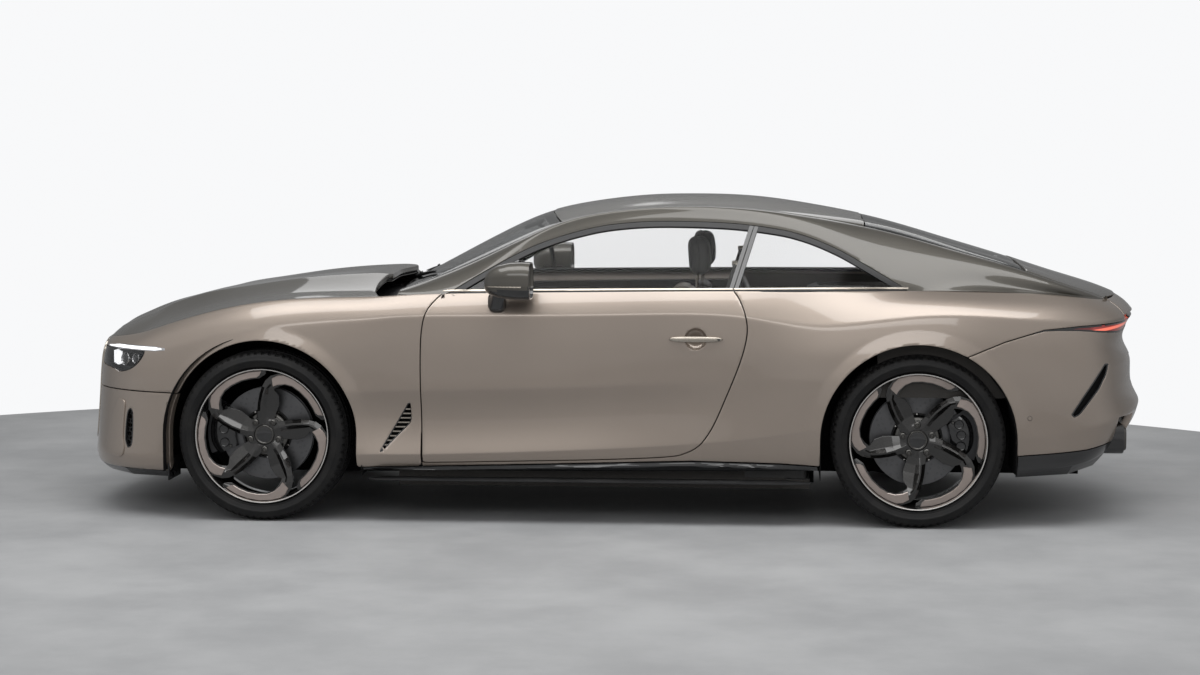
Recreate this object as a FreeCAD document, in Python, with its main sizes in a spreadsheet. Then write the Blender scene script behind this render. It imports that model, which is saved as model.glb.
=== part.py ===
"""Two-door grand touring coupe, built as separate pieces with real joints.

Millimetres and degrees. The car stands on z = 0 and faces -X; its left side is at -Y.
The origin is on the ground, at the middle of the overall length, on the centre line.
"""

import FreeCAD, Part
import math
import os
from FreeCAD import Matrix, Placement, Rotation, Vector

OUT = "parts"
UP = Vector(0, 0, 1)

# ---------------------------------------------------------------- driving dimensions
DIMENSIONS = [  # alias, value, what it is
    ("overall_length", 4830, "nose to tail"),
    ("front_overhang", 925, "nose to front axle"),
    ("wheelbase", 2851, "front axle to rear axle"),
    ("body_width", 1966, "across the rear haunches"),
    ("roof_height", 1412, "ground to roof"),
    ("belt_height", 1004, "ground to the door's top edge"),
    ("floor_bottom", 150, "ground to the floor pan"),
    ("floor_thickness", 40, "floor pan"),
    ("panel_thickness", 8, "outer skin panels"),
    ("rail_thickness", 34, "roof rails and windscreen pillars"),
    ("glass_thickness", 5, "all windows"),
    ("lid_thickness", 24, "bonnet and boot lid"),
    ("door_thickness", 96, "whole door"),
    ("shut_gap", 10, "between a moving panel and its neighbour"),
    ("seat_gap", 0.3, "between pieces that rest on each other"),
    ("door_front", 702, "front axle to the door's front edge"),
    ("door_rear", 800, "door's rear edge to the rear axle, at the belt"),
    ("door_bottom", 268, "ground to the door's lower edge"),
    ("hinge_setback", 100, "door edge to hinge axis"),
    ("hinge_inset", 70, "half width to door hinge axis"),
    ("hinge_pin_radius", 5, "hinge pins"),
    ("hinge_barrel_radius", 9, "hinge barrels"),
    ("pin_clearance", 0.05, "radial, pin to barrel"),
    ("post_inset", 164, "half width to the face of the door posts"),
    ("sill_inset", 163, "half width to the inner face of the side skirts"),
    ("cabin_front", 585, "front axle to the firewall"),
    ("cabin_rear", 461, "cabin's rear wall to the rear axle"),
    ("bumper_line", 565, "ground to the top of the front bumper"),
    ("tyre_diameter", 750, "all four tyres"),
    ("front_tyre_width", 275, "section width"),
    ("rear_tyre_width", 305, "section width"),
    ("rim_diameter", 594, "over the flanges"),
    ("rim_wall", 9, "barrel thickness"),
    ("wheel_inset", 22, "half width to the tyre's outer face"),
    ("arch_gap", 45, "tyre to arch, radially"),
    ("hub_radius", 85, "wheel centre"),
    ("hub_depth", 36, "wheel centre, along the axle"),
    ("hub_offset", 30, "tyre's middle plane to the mounting face"),
    ("spindle_radius", 32, "axle end that carries the wheel"),
    ("disc_radius", 205, "brake discs"),
    ("disc_thickness", 36, "brake discs"),
    ("caliper_clearance", 6, "caliper to disc"),
    ("kingpin_inset", 70, "tyre's middle plane to the steering axis"),
    ("grille_half_width", 500, "radiator opening"),
    ("grille_bottom", 300, "ground to the radiator opening"),
    ("seat_width", 520, "front seats"),
    ("seat_offset", 385, "centre line to a front seat's middle"),
    ("steering_wheel_diameter", 365, "over the rim"),
    ("steering_wheel_grip", 30, "thickness of the rim"),
]

doc = FreeCAD.newDocument("coupe")
sheet = doc.addObject("Spreadsheet::Sheet", "dimensions")
for row, (alias, value, note) in enumerate(DIMENSIONS, start=1):
    sheet.set(f"A{row}", note)
    sheet.set(f"B{row}", str(value))
    sheet.setAlias(f"B{row}", alias)
doc.recompute()


def size(alias):
    """A driving dimension's value."""
    return float(sheet.get(alias))


def ref(expression):
    """An expression with each driving dimension's alias written as a cell of the sheet."""
    words = sorted((alias for alias, _, _ in DIMENSIONS), key=len, reverse=True)
    for word in words:
        expression = expression.replace(word, f"<<{word}>>")
    return expression.replace("<<", "dimensions.").replace(">>", "")


NOSE = -size("overall_length") / 2
TAIL = size("overall_length") / 2
FRONT_AXLE = NOSE + size("front_overhang")
REAR_AXLE = FRONT_AXLE + size("wheelbase")
HALF = size("body_width") / 2
BELT = size("belt_height")
GAP = size("shut_gap")
SKIN = size("panel_thickness")
AXLE_Z = size("tyre_diameter") / 2
ARCH_R = AXLE_Z + size("arch_gap")
FRONT_WHEEL_Y = HALF - size("wheel_inset") - size("front_tyre_width") / 2
REAR_WHEEL_Y = HALF - size("wheel_inset") - size("rear_tyre_width") / 2

# ---------------------------------------------------------------- body surface tables
# Side stations, from the nose round the left side to the tail. "along" is 0 at the nose, 1 at the
# front axle, 2 at the rear axle and 3 at the tail; "out" is the share of the half width.
# Then nine levels, from the sill to the upper shut line, each (inset from the plan curve, height).
SIDE_STATIONS = [
    # along, out, under, sill, crease, hollow, waist, flank, shoulder, roll, edge
    (0.000, 0.000, (70, 165), (10, 200), (0, 255), (12, 380), (22, 520), (28, 620), (36, 690), (46, 735), (70, 768)),
    (0.024, 0.345, (70, 165), (10, 200), (0, 255), (12, 380), (22, 520), (28, 620), (36, 690), (46, 735), (70, 768)),
    (0.109, 0.620, (70, 166), (10, 202), (0, 257), (12, 380), (22, 520), (28, 620), (36, 692), (50, 742), (82, 780)),
    (0.276, 0.805, (70, 170), (12, 205), (0, 262), (10, 380), (18, 520), (24, 620), (36, 705), (60, 765), (112, 806)),
    (0.530, 0.920, (80, 175), (14, 215), (4, 270), (6, 380), (10, 520), (12, 650), (28, 752), (62, 822), (112, 866)),
    (1.000, 0.984, (80, 185), (15, 225), (4, 285), (2, 400), (2, 560), (4, 720), (20, 850), (50, 915), (98, 960)),
    (1.163, 0.980, (85, 200), (20, 245), (2, 300), (24, 478), (6, 600), (2, 765), (10, 892), (38, 948), (78, 984)),
    (1.255, 0.975, (85, 200), (26, 248), (4, 302), (26, 478), (4, 600), (2, 772), (8, 903), (34, 958), (66, 998)),
    (1.500, 0.970, (85, 200), (28, 250), (6, 320), (24, 480), (5, 602), (1, 778), (6, 911), (30, 966), (60, 1010)),
    (1.718, 0.970, (85, 205), (30, 255), (10, 348), (16, 500), (6, 620), (2, 780), (8, 908), (32, 968), (62, 1016)),
    (1.851, 0.985, (85, 205), (26, 262), (8, 385), (4, 500), (0, 620), (4, 752), (22, 862), (64, 944), (110, 1014)),
    (2.000, 1.000, (85, 205), (20, 262), (6, 400), (0, 520), (0, 650), (4, 800), (24, 914), (76, 975), (150, 1018)),
    (2.403, 0.967, (80, 215), (20, 262), (4, 400), (0, 540), (2, 680), (8, 810), (28, 908), (84, 966), (168, 1010)),
    (2.697, 0.866, (90, 225), (18, 290), (2, 430), (2, 560), (10, 700), (22, 808), (32, 888), (74, 942), (146, 990)),
    (2.877, 0.652, (140, 252), (26, 362), (0, 475), (26, 565), (32, 685), (66, 788), (30, 890), (62, 934), (120, 970)),
    (2.967, 0.338, (180, 262), (30, 388), (0, 490), (42, 570), (42, 690), (92, 786), (32, 894), (66, 938), (120, 970)),
    (3.000, 0.000, (180, 262), (30, 390), (0, 492), (42, 570), (42, 690), (92, 786), (32, 894), (66, 938), (120, 970)),
]

# Upper stations, from the windscreen's foot to the tail: "along" at the side and on the centre line,
# then the height of the centre line and (distance from the centre line, height) at four levels.
UPPER_STATIONS = [
    # side, centre, centre z, base, belt, window top, rail
    (1.207, 1.177, 1000, (905, 950), (892, 984), (868, 996), (800, 1012)),
    (1.303, 1.258, 1123, (912, 960), (893, 1001), (872, 1018), (735, 1112)),
    (1.395, 1.360, 1274, (912, 965), (894, 1005), (776, 1172), (703, 1236)),
    (1.472, 1.447, 1362, (912, 965), (894, 1007), (719, 1257), (667, 1322)),
    (1.553, 1.553, 1407, (912, 965), (893, 1009), (692, 1298), (640, 1358)),
    (1.640, 1.640, 1418, (912, 965), (892, 1011), (682, 1310), (623, 1373)),
    (1.745, 1.745, 1409, (910, 965), (889, 1015), (692, 1295), (620, 1364)),
    (1.851, 1.851, 1367, (890, 970), (860, 1018), (733, 1228), (625, 1325)),
    (1.956, 1.956, 1304, (870, 970), (838, 1018), (806, 1092), (638, 1266)),
    (2.165, 2.165, 1217, (850, 970), (820, 1017), (776, 1066), (662, 1184)),
    (2.402, 2.402, 1142, (815, 960), (784, 1008), (748, 1036), (682, 1112)),
    (2.592, 2.606, 1072, (762, 955), (738, 993), (722, 1003), (690, 1045)),
    (2.711, 2.787, 1014, (692, 945), (670, 978), (655, 984), (620, 1004)),
    (2.787, 2.887, 974, (590, 935), (566, 969), (556, 970), (540, 972)),
]
UPPER_COLUMNS = (0.62, 0.31)  # shares of the rail's distance, for the two columns inside it
BONNET_CENTRE = [  # along, height of the bonnet's centre line
    (0.062, 768), (0.120, 800), (0.200, 846), (0.379, 917), (0.562, 962), (0.771, 994),
    (0.980, 1020), (1.061, 1042), (1.128, 1060), (1.174, 1069),
]
NOMINAL_ROOF = 1412  # roof height for which the upper table is written


def along(place):
    """X of a place along the car: 0 nose, 1 front axle, 2 rear axle, 3 tail."""
    marks = (NOSE, FRONT_AXLE, REAR_AXLE, TAIL)
    start = min(int(place), 2)
    return marks[start] + (place - start) * (marks[start + 1] - marks[start])


def raised(z):
    """A height of the upper table, moved with the roof height above the belt."""
    share = max(0.0, (z - BELT) / (NOMINAL_ROOF - BELT))
    return z + share * (size("roof_height") - NOMINAL_ROOF)


def plan_normal(index):
    """Outward direction, in plan, of the side stations' curve at one station (on the left side)."""
    before = SIDE_STATIONS[max(index - 1, 0)]
    after = SIDE_STATIONS[min(index + 1, len(SIDE_STATIONS) - 1)]
    if index == 0:
        return Vector(-1, 0, 0)
    if index == len(SIDE_STATIONS) - 1:
        return Vector(1, 0, 0)
    run = Vector(along(after[0]) - along(before[0]), -HALF * (after[1] - before[1]), 0)
    return Vector(run.y, -run.x, 0).normalize()


def side_net():
    """Control points of the side surface, one row per station."""
    net = []
    for index, (place, out, *levels) in enumerate(SIDE_STATIONS):
        foot = Vector(along(place), -HALF * out, 0)
        inward = plan_normal(index) * -1
        net.append([foot + inward * inset + UP * z for inset, z in levels])
    return net


def upper_net():
    """Control points of the upper surface: left side up to the centre line, one row per station."""
    spread = HALF - 983  # the upper table is written for a body 1966 wide
    net = []
    for side, centre, top, *levels in UPPER_STATIONS:
        x_side, x_centre = along(side), along(centre)
        row = [Vector(x_side, -(y + spread), raised(z)) for y, z in levels]
        rail = row[-1]
        for share in UPPER_COLUMNS:
            bow = 1 - share ** 2
            row.append(Vector(
                x_side + (x_centre - x_side) * bow,
                rail.y * share,
                rail.z + (raised(top) - rail.z) * bow,
            ))
        row.append(Vector(x_centre, 0, raised(top)))
        net.append(row)
    return net


# ---------------------------------------------------------------- smooth surface through a net
def mirrored(point):
    return Vector(point.x, -point.y, point.z)


def weights(t):
    """Uniform cubic B-spline weights of four neighbouring control points."""
    return (
        (1 - t) ** 3 / 6,
        (3 * t ** 3 - 6 * t ** 2 + 4) / 6,
        (-3 * t ** 3 + 3 * t ** 2 + 3 * t + 1) / 6,
        t ** 3 / 6,
    )


def extended(row, mirror_first, mirror_last):
    """A row of control points with one more at each end: mirrored, or in line with the end."""
    first = mirrored(row[1]) if mirror_first else row[0] * 2 - row[1]
    last = mirrored(row[-2]) if mirror_last else row[-1] * 2 - row[-2]
    return [first] + row + [last]


def through(row, mirror_first, mirror_last):
    """Control points of the curve that passes through a row of points."""
    control = list(row)
    for _ in range(40):
        wide = extended(control, mirror_first, mirror_last)
        at = [(a + b * 4 + c) / 6 for a, b, c in zip(wide, wide[1:], wide[2:])]
        control = [p + (target - here) for p, target, here in zip(control, row, at)]
    return control


def turned(net):
    return [list(column) for column in zip(*net)]


class Surface:
    """Bicubic B-spline surface over a net of control points.

    "ends" and "top" say whether the net goes on as its mirror image there, past the centre line.
    """

    def __init__(self, net, ends, top):
        columns = [extended(column, ends, ends) for column in turned(net)]
        self.rows = [extended(row, False, top) for row in turned(columns)]
        self.u_max = len(net) - 1
        self.v_max = len(net[0]) - 1

    def at(self, u, v):
        """Point at station u and level v."""
        i = max(0, min(int(u), self.u_max - 1))
        j = max(0, min(int(v), self.v_max - 1))
        point = Vector()
        for a, wu in enumerate(weights(u - i)):
            for b, wv in enumerate(weights(v - j)):
                point += self.rows[i + a][j + b] * (wu * wv)
        return point

    def normal(self, u, v):
        """Outward unit normal on the left side."""
        step = 0.02
        du = self.at(u + step, v) - self.at(u - step, v)
        dv = self.at(u, v + step) - self.at(u, v - step)
        return du.cross(dv).normalize()

    def level(self, u, z):
        """Level v at which station u has height z."""
        low, high = 0.0, float(self.v_max)
        for _ in range(30):
            middle = (low + high) / 2
            if self.at(u, middle).z < z:
                low = middle
            else:
                high = middle
        return (low + high) / 2

    def station(self, x, v, low=0.0, high=None):
        """Station u at which level v has that x."""
        high = self.u_max if high is None else high
        for _ in range(30):
            middle = (low + high) / 2
            if self.at(middle, v).x < x:
                low = middle
            else:
                high = middle
        return (low + high) / 2

    def side_view(self, x, z):
        """(u, v) of the point that a side view shows at x, z."""
        u, v = self.station(x, self.v_max / 2), self.v_max / 2
        for _ in range(6):
            v = self.level(u, z)
            u = self.station(x, v)
        return u, v


side = Surface(turned([through(column, True, True) for column in turned(side_net())]), True, False)
upper_rows = [through(row, False, True) for row in upper_net()]
upper = Surface(turned([through(column, False, False) for column in turned(upper_rows)]), False, True)


# ---------------------------------------------------------------- solids from grids of points
def triangle(a, b, c):
    if (b - a).cross(c - a).Length < 1e-6:
        return []
    return [Part.Face(Part.makePolygon([a, b, c, a]))]


def slab(outer, inner):
    """Closed solid between two grids of points that have the same rows and columns."""
    rows, columns = len(outer), len(outer[0])
    faces = []

    def quad(a, b, c, d):
        faces.extend(triangle(a, b, c) + triangle(a, c, d))

    for i in range(rows - 1):
        for j in range(columns - 1):
            corners = [(i, j), (i + 1, j), (i + 1, j + 1), (i, j + 1)]
            quad(*[outer[a][b] for a, b in corners])
            quad(*[inner[a][b] for a, b in reversed(corners)])
    rim = [(i, 0) for i in range(rows)] + [(rows - 1, j) for j in range(1, columns)]
    rim += [(i, columns - 1) for i in range(rows - 2, -1, -1)] + [(0, j) for j in range(columns - 2, 0, -1)]
    for (a, b), (c, d) in zip(rim, rim[1:] + rim[:1]):
        quad(outer[c][d], outer[a][b], inner[a][b], inner[c][d])
    shell = Part.makeShell(faces)
    shell.sewShape()
    solid = Part.makeSolid(shell)
    if solid.Volume < 0:
        solid.reverse()
    return solid


def skin(surface, grid, thickness):
    """Slab under a surface, over a grid of (u, v); thickness goes inwards along the normal."""
    outer = [[surface.at(u, v) for u, v in line] for line in grid]
    inner = [[surface.at(u, v) - surface.normal(u, v) * thickness for u, v in line] for line in grid]
    return slab(outer, inner)


def skin_round(surface, grid, thickness):
    """Slab like skin, from the left side round the end of the car to the right side."""
    outer, inner = [], []
    for line in grid:
        points = [surface.at(u, v) for u, v in line]
        normals = [surface.normal(u, v) for u, v in line]
        if line[0][0] in (0, surface.u_max):
            normals = [Vector(n.x, 0, n.z).normalize() for n in normals]
            points = [Vector(p.x, 0, p.z) for p in points]
        outer.append(points)
        inner.append([p - n * thickness for p, n in zip(points, normals)])
    if grid[0][0][0] == 0:
        outer, inner = outer[::-1], inner[::-1]
    outer += [[mirrored(p) for p in line] for line in reversed(outer[:-1])]
    inner += [[mirrored(p) for p in line] for line in reversed(inner[:-1])]
    return slab(outer, inner)


def biggest(shape):
    return max(shape.Solids, key=lambda solid: solid.Volume)


def steps(start, stop, count):
    return [start + (stop - start) * i / count for i in range(count + 1)]


def mirror_y(shape):
    return shape.mirror(Vector(0, 0, 0), Vector(0, 1, 0))


def both_sides(left):
    return Part.makeCompound([left, mirror_y(left)])


def wheel_hole(axle_x, radius, inner_y):
    """Left wheel arch as a solid to cut, from the ground up, outwards from inner_y."""
    corners = [Vector(axle_x + sx * radius, -inner_y, z) for sx, z in ((1, AXLE_Z), (1, -50), (-1, -50), (-1, AXLE_Z))]
    top = Vector(axle_x, -inner_y, AXLE_Z + radius)
    lines = [Part.makeLine(p, q) for p, q in zip(corners, corners[1:])]
    outline = Part.Wire(lines + [Part.Arc(corners[-1], top, corners[0]).toShape()])
    return Part.Face(outline).extrude(Vector(0, inner_y - HALF - 200, 0))


def prism_y(outline, y_from, y_to):
    """Side-view outline of (x, z), pulled across the car from y_from to y_to."""
    points = [Vector(x, y_from, z) for x, z in outline]
    face = Part.Face(Part.makePolygon(points + points[:1]))
    return face.extrude(Vector(0, y_to - y_from, 0))


# ---------------------------------------------------------------- document objects
NODES = {}


def keep(node, obj):
    """Names an object as the node whose file it writes."""
    obj.Label = node
    NODES[node] = obj
    return obj


def feature(node, shape, place=None):
    """A free-form piece, whose shape is worked out above."""
    obj = doc.addObject("Part::Feature", node + "_shape")
    obj.Shape = shape
    if place:
        obj.Placement = place
    return keep(node, obj)


def bind(obj, **expressions):
    for name, expression in expressions.items():
        obj.setExpression(name.replace("__", "."), ref(expression))
    return obj


def solid_box(name, length, width, height, x, y, z):
    """Part::Box whose sizes and corner are expressions on the sheet."""
    obj = doc.addObject("Part::Box", name)
    return bind(
        obj, Length=length, Width=width, Height=height,
        Placement__Base__x=x, Placement__Base__y=y, Placement__Base__z=z,
    )


def fused(name, *pieces):
    obj = doc.addObject("Part::MultiFuse", name)
    obj.Shapes = list(pieces)
    return obj


def mirror_of(name, source):
    obj = doc.addObject("Part::Mirroring", name)
    obj.Source = source
    obj.Normal = Vector(0, 1, 0)
    return obj


def pair(node, left):
    """A node of two like pieces: the left one and its mirror image."""
    obj = doc.addObject("Part::Compound", node + "_pair")
    obj.Links = [left, mirror_of(node + "_right", left)]
    return keep(node, obj)


def plane_of(body, role):
    return next(f for f in body.Origin.OriginFeatures if f.Role == role)


def closed_sketch(body, role, points):
    """Sketch on one of the body's planes: straight lines through points given as expressions."""
    sketch = body.newObject("Sketcher::SketchObject", body.Name + "_profile")
    sketch.AttachmentSupport = [(plane_of(body, role), "")]
    sketch.MapMode = "FlatFace"
    values = [(evaluate(a), evaluate(b)) for a, b in points]
    count = len(points)
    for i in range(count):
        ends = [Vector(*values[i], 0), Vector(*values[(i + 1) % count], 0)]
        sketch.addGeometry(Part.LineSegment(*ends), False)
    import Sketcher
    for i in range(count):
        sketch.addConstraint(Sketcher.Constraint("Coincident", i, 2, (i + 1) % count, 1))
    for i, pair_of in enumerate(points):
        for kind, text, value in zip(("DistanceX", "DistanceY"), pair_of, values[i]):
            index = sketch.addConstraint(Sketcher.Constraint(kind, -1, 1, i, 1, value))
            sketch.setExpression(f"Constraints[{index}]", ref(text))
    return sketch


def evaluate(text):
    """Value of an expression on the driving dimensions."""
    words = {alias: size(alias) for alias, _, _ in DIMENSIONS}
    for word in sorted(words, key=len, reverse=True):
        text = text.replace(word, repr(words[word]))
    total = FreeCAD.Units.parseQuantity(text)
    return float(total.Value)


def revolved(name, points, x, y, z):
    """PartDesign body: a profile of (radius, along the axle) turned about the Y axis."""
    body = doc.addObject("PartDesign::Body", name)
    sketch = closed_sketch(body, "XY_Plane", points)
    turn = body.newObject("PartDesign::Revolution", name + "_turn")
    turn.Profile = sketch
    turn.ReferenceAxis = (sketch, ["V_Axis"])
    turn.Angle = 360
    sketch.Visibility = False
    return bind(body, Placement__Base__x=x, Placement__Base__y=y, Placement__Base__z=z)


def padded_profile(name, points, length, x, y, z):
    """PartDesign body: a side-view profile of (x, z) padded across the car, evenly about y."""
    body = doc.addObject("PartDesign::Body", name)
    sketch = closed_sketch(body, "XZ_Plane", points)
    pad = body.newObject("PartDesign::Pad", name + "_pad")
    pad.Profile = sketch
    pad.Midplane = True
    bind(pad, Length=length)
    sketch.Visibility = False
    return bind(body, Placement__Base__x=x, Placement__Base__y=y, Placement__Base__z=z)


# ---------------------------------------------------------------- outer panels on the side surface
U_FRONT_AXLE = 5.0
U_REAR_AXLE = 11.0
TAIL_U = side.u_max
SKIRT_TOP = size("door_bottom") - size("shut_gap")
DOOR_X = FRONT_AXLE + size("door_front")
DOOR_REAR_X = REAR_AXLE - size("door_rear")
DOOR_REAR_EDGE = [  # height, distance behind the door's rear edge at the belt
    (268, -345), (290, -265), (315, -193), (355, -134), (430, -84), (510, -28), (600, 10),
    (700, 36), (790, 54), (862, 64), (930, 50), (975, 28), (1004, 4),
]
LAMP_LINE = [(REAR_AXLE + 150, 735), (REAR_AXLE + 535, 858), (REAR_AXLE + 760, 868)]
LAMP_TOP = 900
LID_U = 14.15  # side station of the corner between boot lid and rear quarter


def between(table, key):
    """Linear interpolation in a table of (key, value), held at its ends."""
    if key <= table[0][0]:
        return table[0][1]
    for (k0, v0), (k1, v1) in zip(table, table[1:]):
        if key <= k1:
            return v0 + (v1 - v0) * (key - k0) / (k1 - k0)
    return table[-1][1]


def split_line(u):
    """Height of the joint between rear quarter and rear bumper at station u."""
    x = side.at(u, 5).x
    if x <= LAMP_LINE[1][0]:
        return between(LAMP_LINE, x)
    return between([(LAMP_LINE[1][0], LAMP_LINE[1][1]), (TAIL, LAMP_TOP)], x)


def band(stations, bottom, top, rows):
    """Grid over the side surface between two heights, each a function of the station."""
    grid = []
    for u in stations:
        low, high = side.level(u, bottom(u)), side.level(u, top(u))
        grid.append([(u, v) for v in steps(low, high, rows)])
    return grid


def two_bands(stations, bottom, middle, top, rows):
    """Grid like band, with a line of points kept at the middle height where that is above the bottom."""
    grid = []
    for u in stations:
        low, high = side.level(u, bottom(u)), side.level(u, top(u))
        break_at = side.level(u, max(middle, bottom(u) + 25))
        grid.append([(u, v) for v in steps(low, break_at, rows[0])[:-1] + steps(break_at, high, rows[1])])
    return grid


def edge_height(u):
    return side.at(u, side.v_max).z


def top_of_side(u):
    return edge_height(u) - 0.01


def front_bumper():
    """Bumper skin round the nose, open at the grille and at both wheels."""
    def low(_):
        return 205

    def high(_):
        return size("bumper_line") - size("seat_gap")

    half = band([0.0, 0.6, 1.2, 1.8, 2.4, 3.0, 3.6, 4.2, 4.6], low, high, 5)
    whole = skin_round(side, half, SKIN * 2)
    for hole in both_sides(wheel_hole(FRONT_AXLE, ARCH_R, HALF - 400)).Solids:
        whole = whole.cut(hole)
    wide, bottom = size("grille_half_width"), size("grille_bottom")
    hole = Part.makeBox(400, 2 * wide, 900 - bottom, Vector(NOSE - 50, -wide, bottom))
    return whole.cut(hole)


def front_fender():
    """Left front wing, from the grille to the door, with the lamp opening."""
    def low(u):
        return size("bumper_line") if u < U_FRONT_AXLE else SKIRT_TOP + size("seat_gap")

    end = side.station(DOOR_X, 5, 5, 9)
    stations = [1.55, 2.0, 2.4, 2.8, 3.3, 3.9, 4.5, 4.95, 5.1, 5.5, 5.9, 6.3, end - 0.3, end]
    grid = two_bands(stations, low, 800, top_of_side, (5, 4))
    last = []
    foot = SKIRT_TOP + size("seat_gap")
    for z in steps(foot, 800, 5)[:-1] + steps(800, 0.98 * edge_height(end), 4):
        last.append(side.side_view(DOOR_X, z))
    last[-1] = (side.station(DOOR_X, side.v_max - 0.01, 5, 9), side.v_max - 0.01)
    grid[-1] = last
    shape = skin(side, grid, SKIN).cut(wheel_hole(FRONT_AXLE, ARCH_R, HALF - 400))
    return shape.cut(lamp_block(HEADLAMP))


HEADLAMP = (2.05, 3.35, 640, 742)  # stations and heights of the front lamp
TAIL_LAMP = (12.35, 15.0)  # stations of the rear lamp


def lamp_block(lamp, grow=0.3, proud=20, depth=90):
    """Left front lamp's space in the skin, larger by grow on each side and standing proud of it."""
    first, last, low, high = lamp
    ease = grow / 300  # stations are about 300 mm apart here
    grid = []
    for u in steps(first - ease, last + ease, 4):
        levels = steps(side.level(u, low - grow), side.level(u, high + grow), 2)
        grid.append([(u, v) for v in levels])
    outer = [[side.at(u, v) + side.normal(u, v) * proud for u, v in line] for line in grid]
    inner = [[side.at(u, v) - side.normal(u, v) * depth for u, v in line] for line in grid]
    return slab(outer, inner)


def tail_lamp(grow=0.0, depth=50):
    """Left rear lamp between the rear quarter, the boot lid and the bumper."""
    first, last = TAIL_LAMP
    grid = []
    for u in steps(first, last, 8):
        top = min(split_line(u), LAMP_TOP)
        grid.append([(u, v) for v in steps(side.level(u, top - 44), side.level(u, top - 0.3), 2)])
    outer = [[side.at(u, v) + side.normal(u, v) * grow for u, v in line] for line in grid]
    inner = [[side.at(u, v) - side.normal(u, v) * depth for u, v in line] for line in grid]
    return slab(outer, inner)


def rear_quarter():
    """Left rear wing, from the door to the boot lid, above the bumper."""
    tail_u = LID_U
    start = side.station(DOOR_REAR_X + 80, 5, 8, 11)
    stations = steps(start, 10.7, 4) + [10.95, 11.1, 11.5, 12.0, 12.5, 13.0, 13.5, tail_u]

    def low(u):
        return split_line(u) if u > U_REAR_AXLE else SKIRT_TOP + size("seat_gap")

    grid = two_bands(stations, low, 800, top_of_side, (10, 5))
    first = []
    top = edge_height(start) - 0.01
    foot = SKIRT_TOP + size("seat_gap")
    for z in steps(foot, 800, 10)[:-1] + steps(800, top, 5):
        edge = DOOR_REAR_X + between(DOOR_REAR_EDGE, z)
        first.append(side.side_view(edge, z))
    for index in range(1, 5):
        share = index / 5
        blend = zip(first, grid[index])
        grid[index] = [(a[0] + (b[0] - a[0]) * share, a[1] + (b[1] - a[1]) * share) for a, b in blend]
    grid[0] = first
    shape = skin(side, grid, SKIN)
    return shape.cut(wheel_hole(REAR_AXLE, ARCH_R, HALF - 400))


def diffuser_top(u):
    """Height of the joint between rear bumper and diffuser at station u."""
    return between([(11.0, 262), (13.0, 285), (14.0, 360), (14.8, 405), (16.0, 420)], u)


def diffuser_foot(u):
    """Height of the diffuser's lower edge at station u."""
    return side.at(u, 0.05).z


def rear_bumper():
    """Bumper skin round the tail, below the lamps, open at both wheels."""
    def high(u):
        lamp = TAIL_LAMP[0] <= u <= TAIL_LAMP[1]
        drop = 44.3 if lamp else size("seat_gap")
        return min(split_line(u), LAMP_TOP) - drop

    stations = [11.4, 11.7, 12.0, 12.34, 12.36, 13.0, 13.6, 14.2, 14.7, 15.01, 15.5, 16.0]
    half = band(stations, lambda u: diffuser_top(u) + size("seat_gap"), high, 7)
    whole = skin_round(side, half, SKIN * 2)
    for hole in both_sides(wheel_hole(REAR_AXLE, ARCH_R, HALF - 400)).Solids:
        whole = whole.cut(hole)
    return whole


def lower_lip(stations, low, high, axle_x):
    """Dark strip under a bumper, from wheel arch to wheel arch round the end of the car."""
    whole = skin_round(side, band(stations, low, high, 3), SKIN * 3)
    for hole in both_sides(wheel_hole(axle_x, ARCH_R, HALF - 400)).Solids:
        whole = whole.cut(hole)
    return whole


def door_grid(inset_front, inset_rear, inset_bottom, depth):
    """Points of the door's outer or inner face, moved in from its outline and inwards by depth."""
    low, high = size("door_bottom") + inset_bottom, BELT
    grid = []
    heights = steps(low, high, 10)
    for share in steps(0, 1, 6):
        line = []
        for z in heights:
            front = DOOR_X + GAP + inset_front
            rear = DOOR_REAR_X + between(DOOR_REAR_EDGE, z) - GAP - inset_rear
            u, v = side.side_view(front + (rear - front) * share, z)
            point = side.at(u, v) - side.normal(u, v) * depth
            line.append(Vector(point.x, point.y, min(point.z, high) if z < high else high))
        grid.append(line)
    return grid


def door_panel():
    """Left door: thick, with tapered edges and a recess at the front for its hinges."""
    thick = size("door_thickness")
    body = slab(door_grid(0, 0, 0, 0), door_grid(40, 45, 30, thick))
    pocket_x = DOOR_X + GAP + size("hinge_setback") + 6
    pocket_low = size("door_bottom") + 60
    pocket = Part.makeBox(
        pocket_x - DOOR_X + 20, 140, BELT - 90 - pocket_low,
        Vector(DOOR_X - 20, -HINGE_Y - size("hinge_barrel_radius") - 3, pocket_low),
    )
    shape = biggest(body.cut(pocket).cut(pillar_room()))
    for z in HINGE_HEIGHTS:
        shape = shape.fuse(hinge_barrel(z, pocket_x))
    return shape


def pillar_room():
    """Space that the left windscreen pillar's foot needs in the door."""
    grid = [[(u, g) for g in steps(1.2, 3.2, 4)] for u in steps(0.0, 1.6, 6)]
    outer = [[upper.at(u, g) + upper.normal(u, g) * 2 * GAP for u, g in line] for line in grid]
    deep = size("rail_thickness") + 2 * GAP
    inner = [[upper.at(u, g) - upper.normal(u, g) * deep for u, g in line] for line in grid]
    return slab(outer, inner)


HINGE_Y = HALF - size("hinge_inset")
HINGE_X = DOOR_X + GAP + size("hinge_setback") - size("hinge_barrel_radius")
HINGE_HEIGHTS = (430, 800)
BARREL = 40


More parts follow.
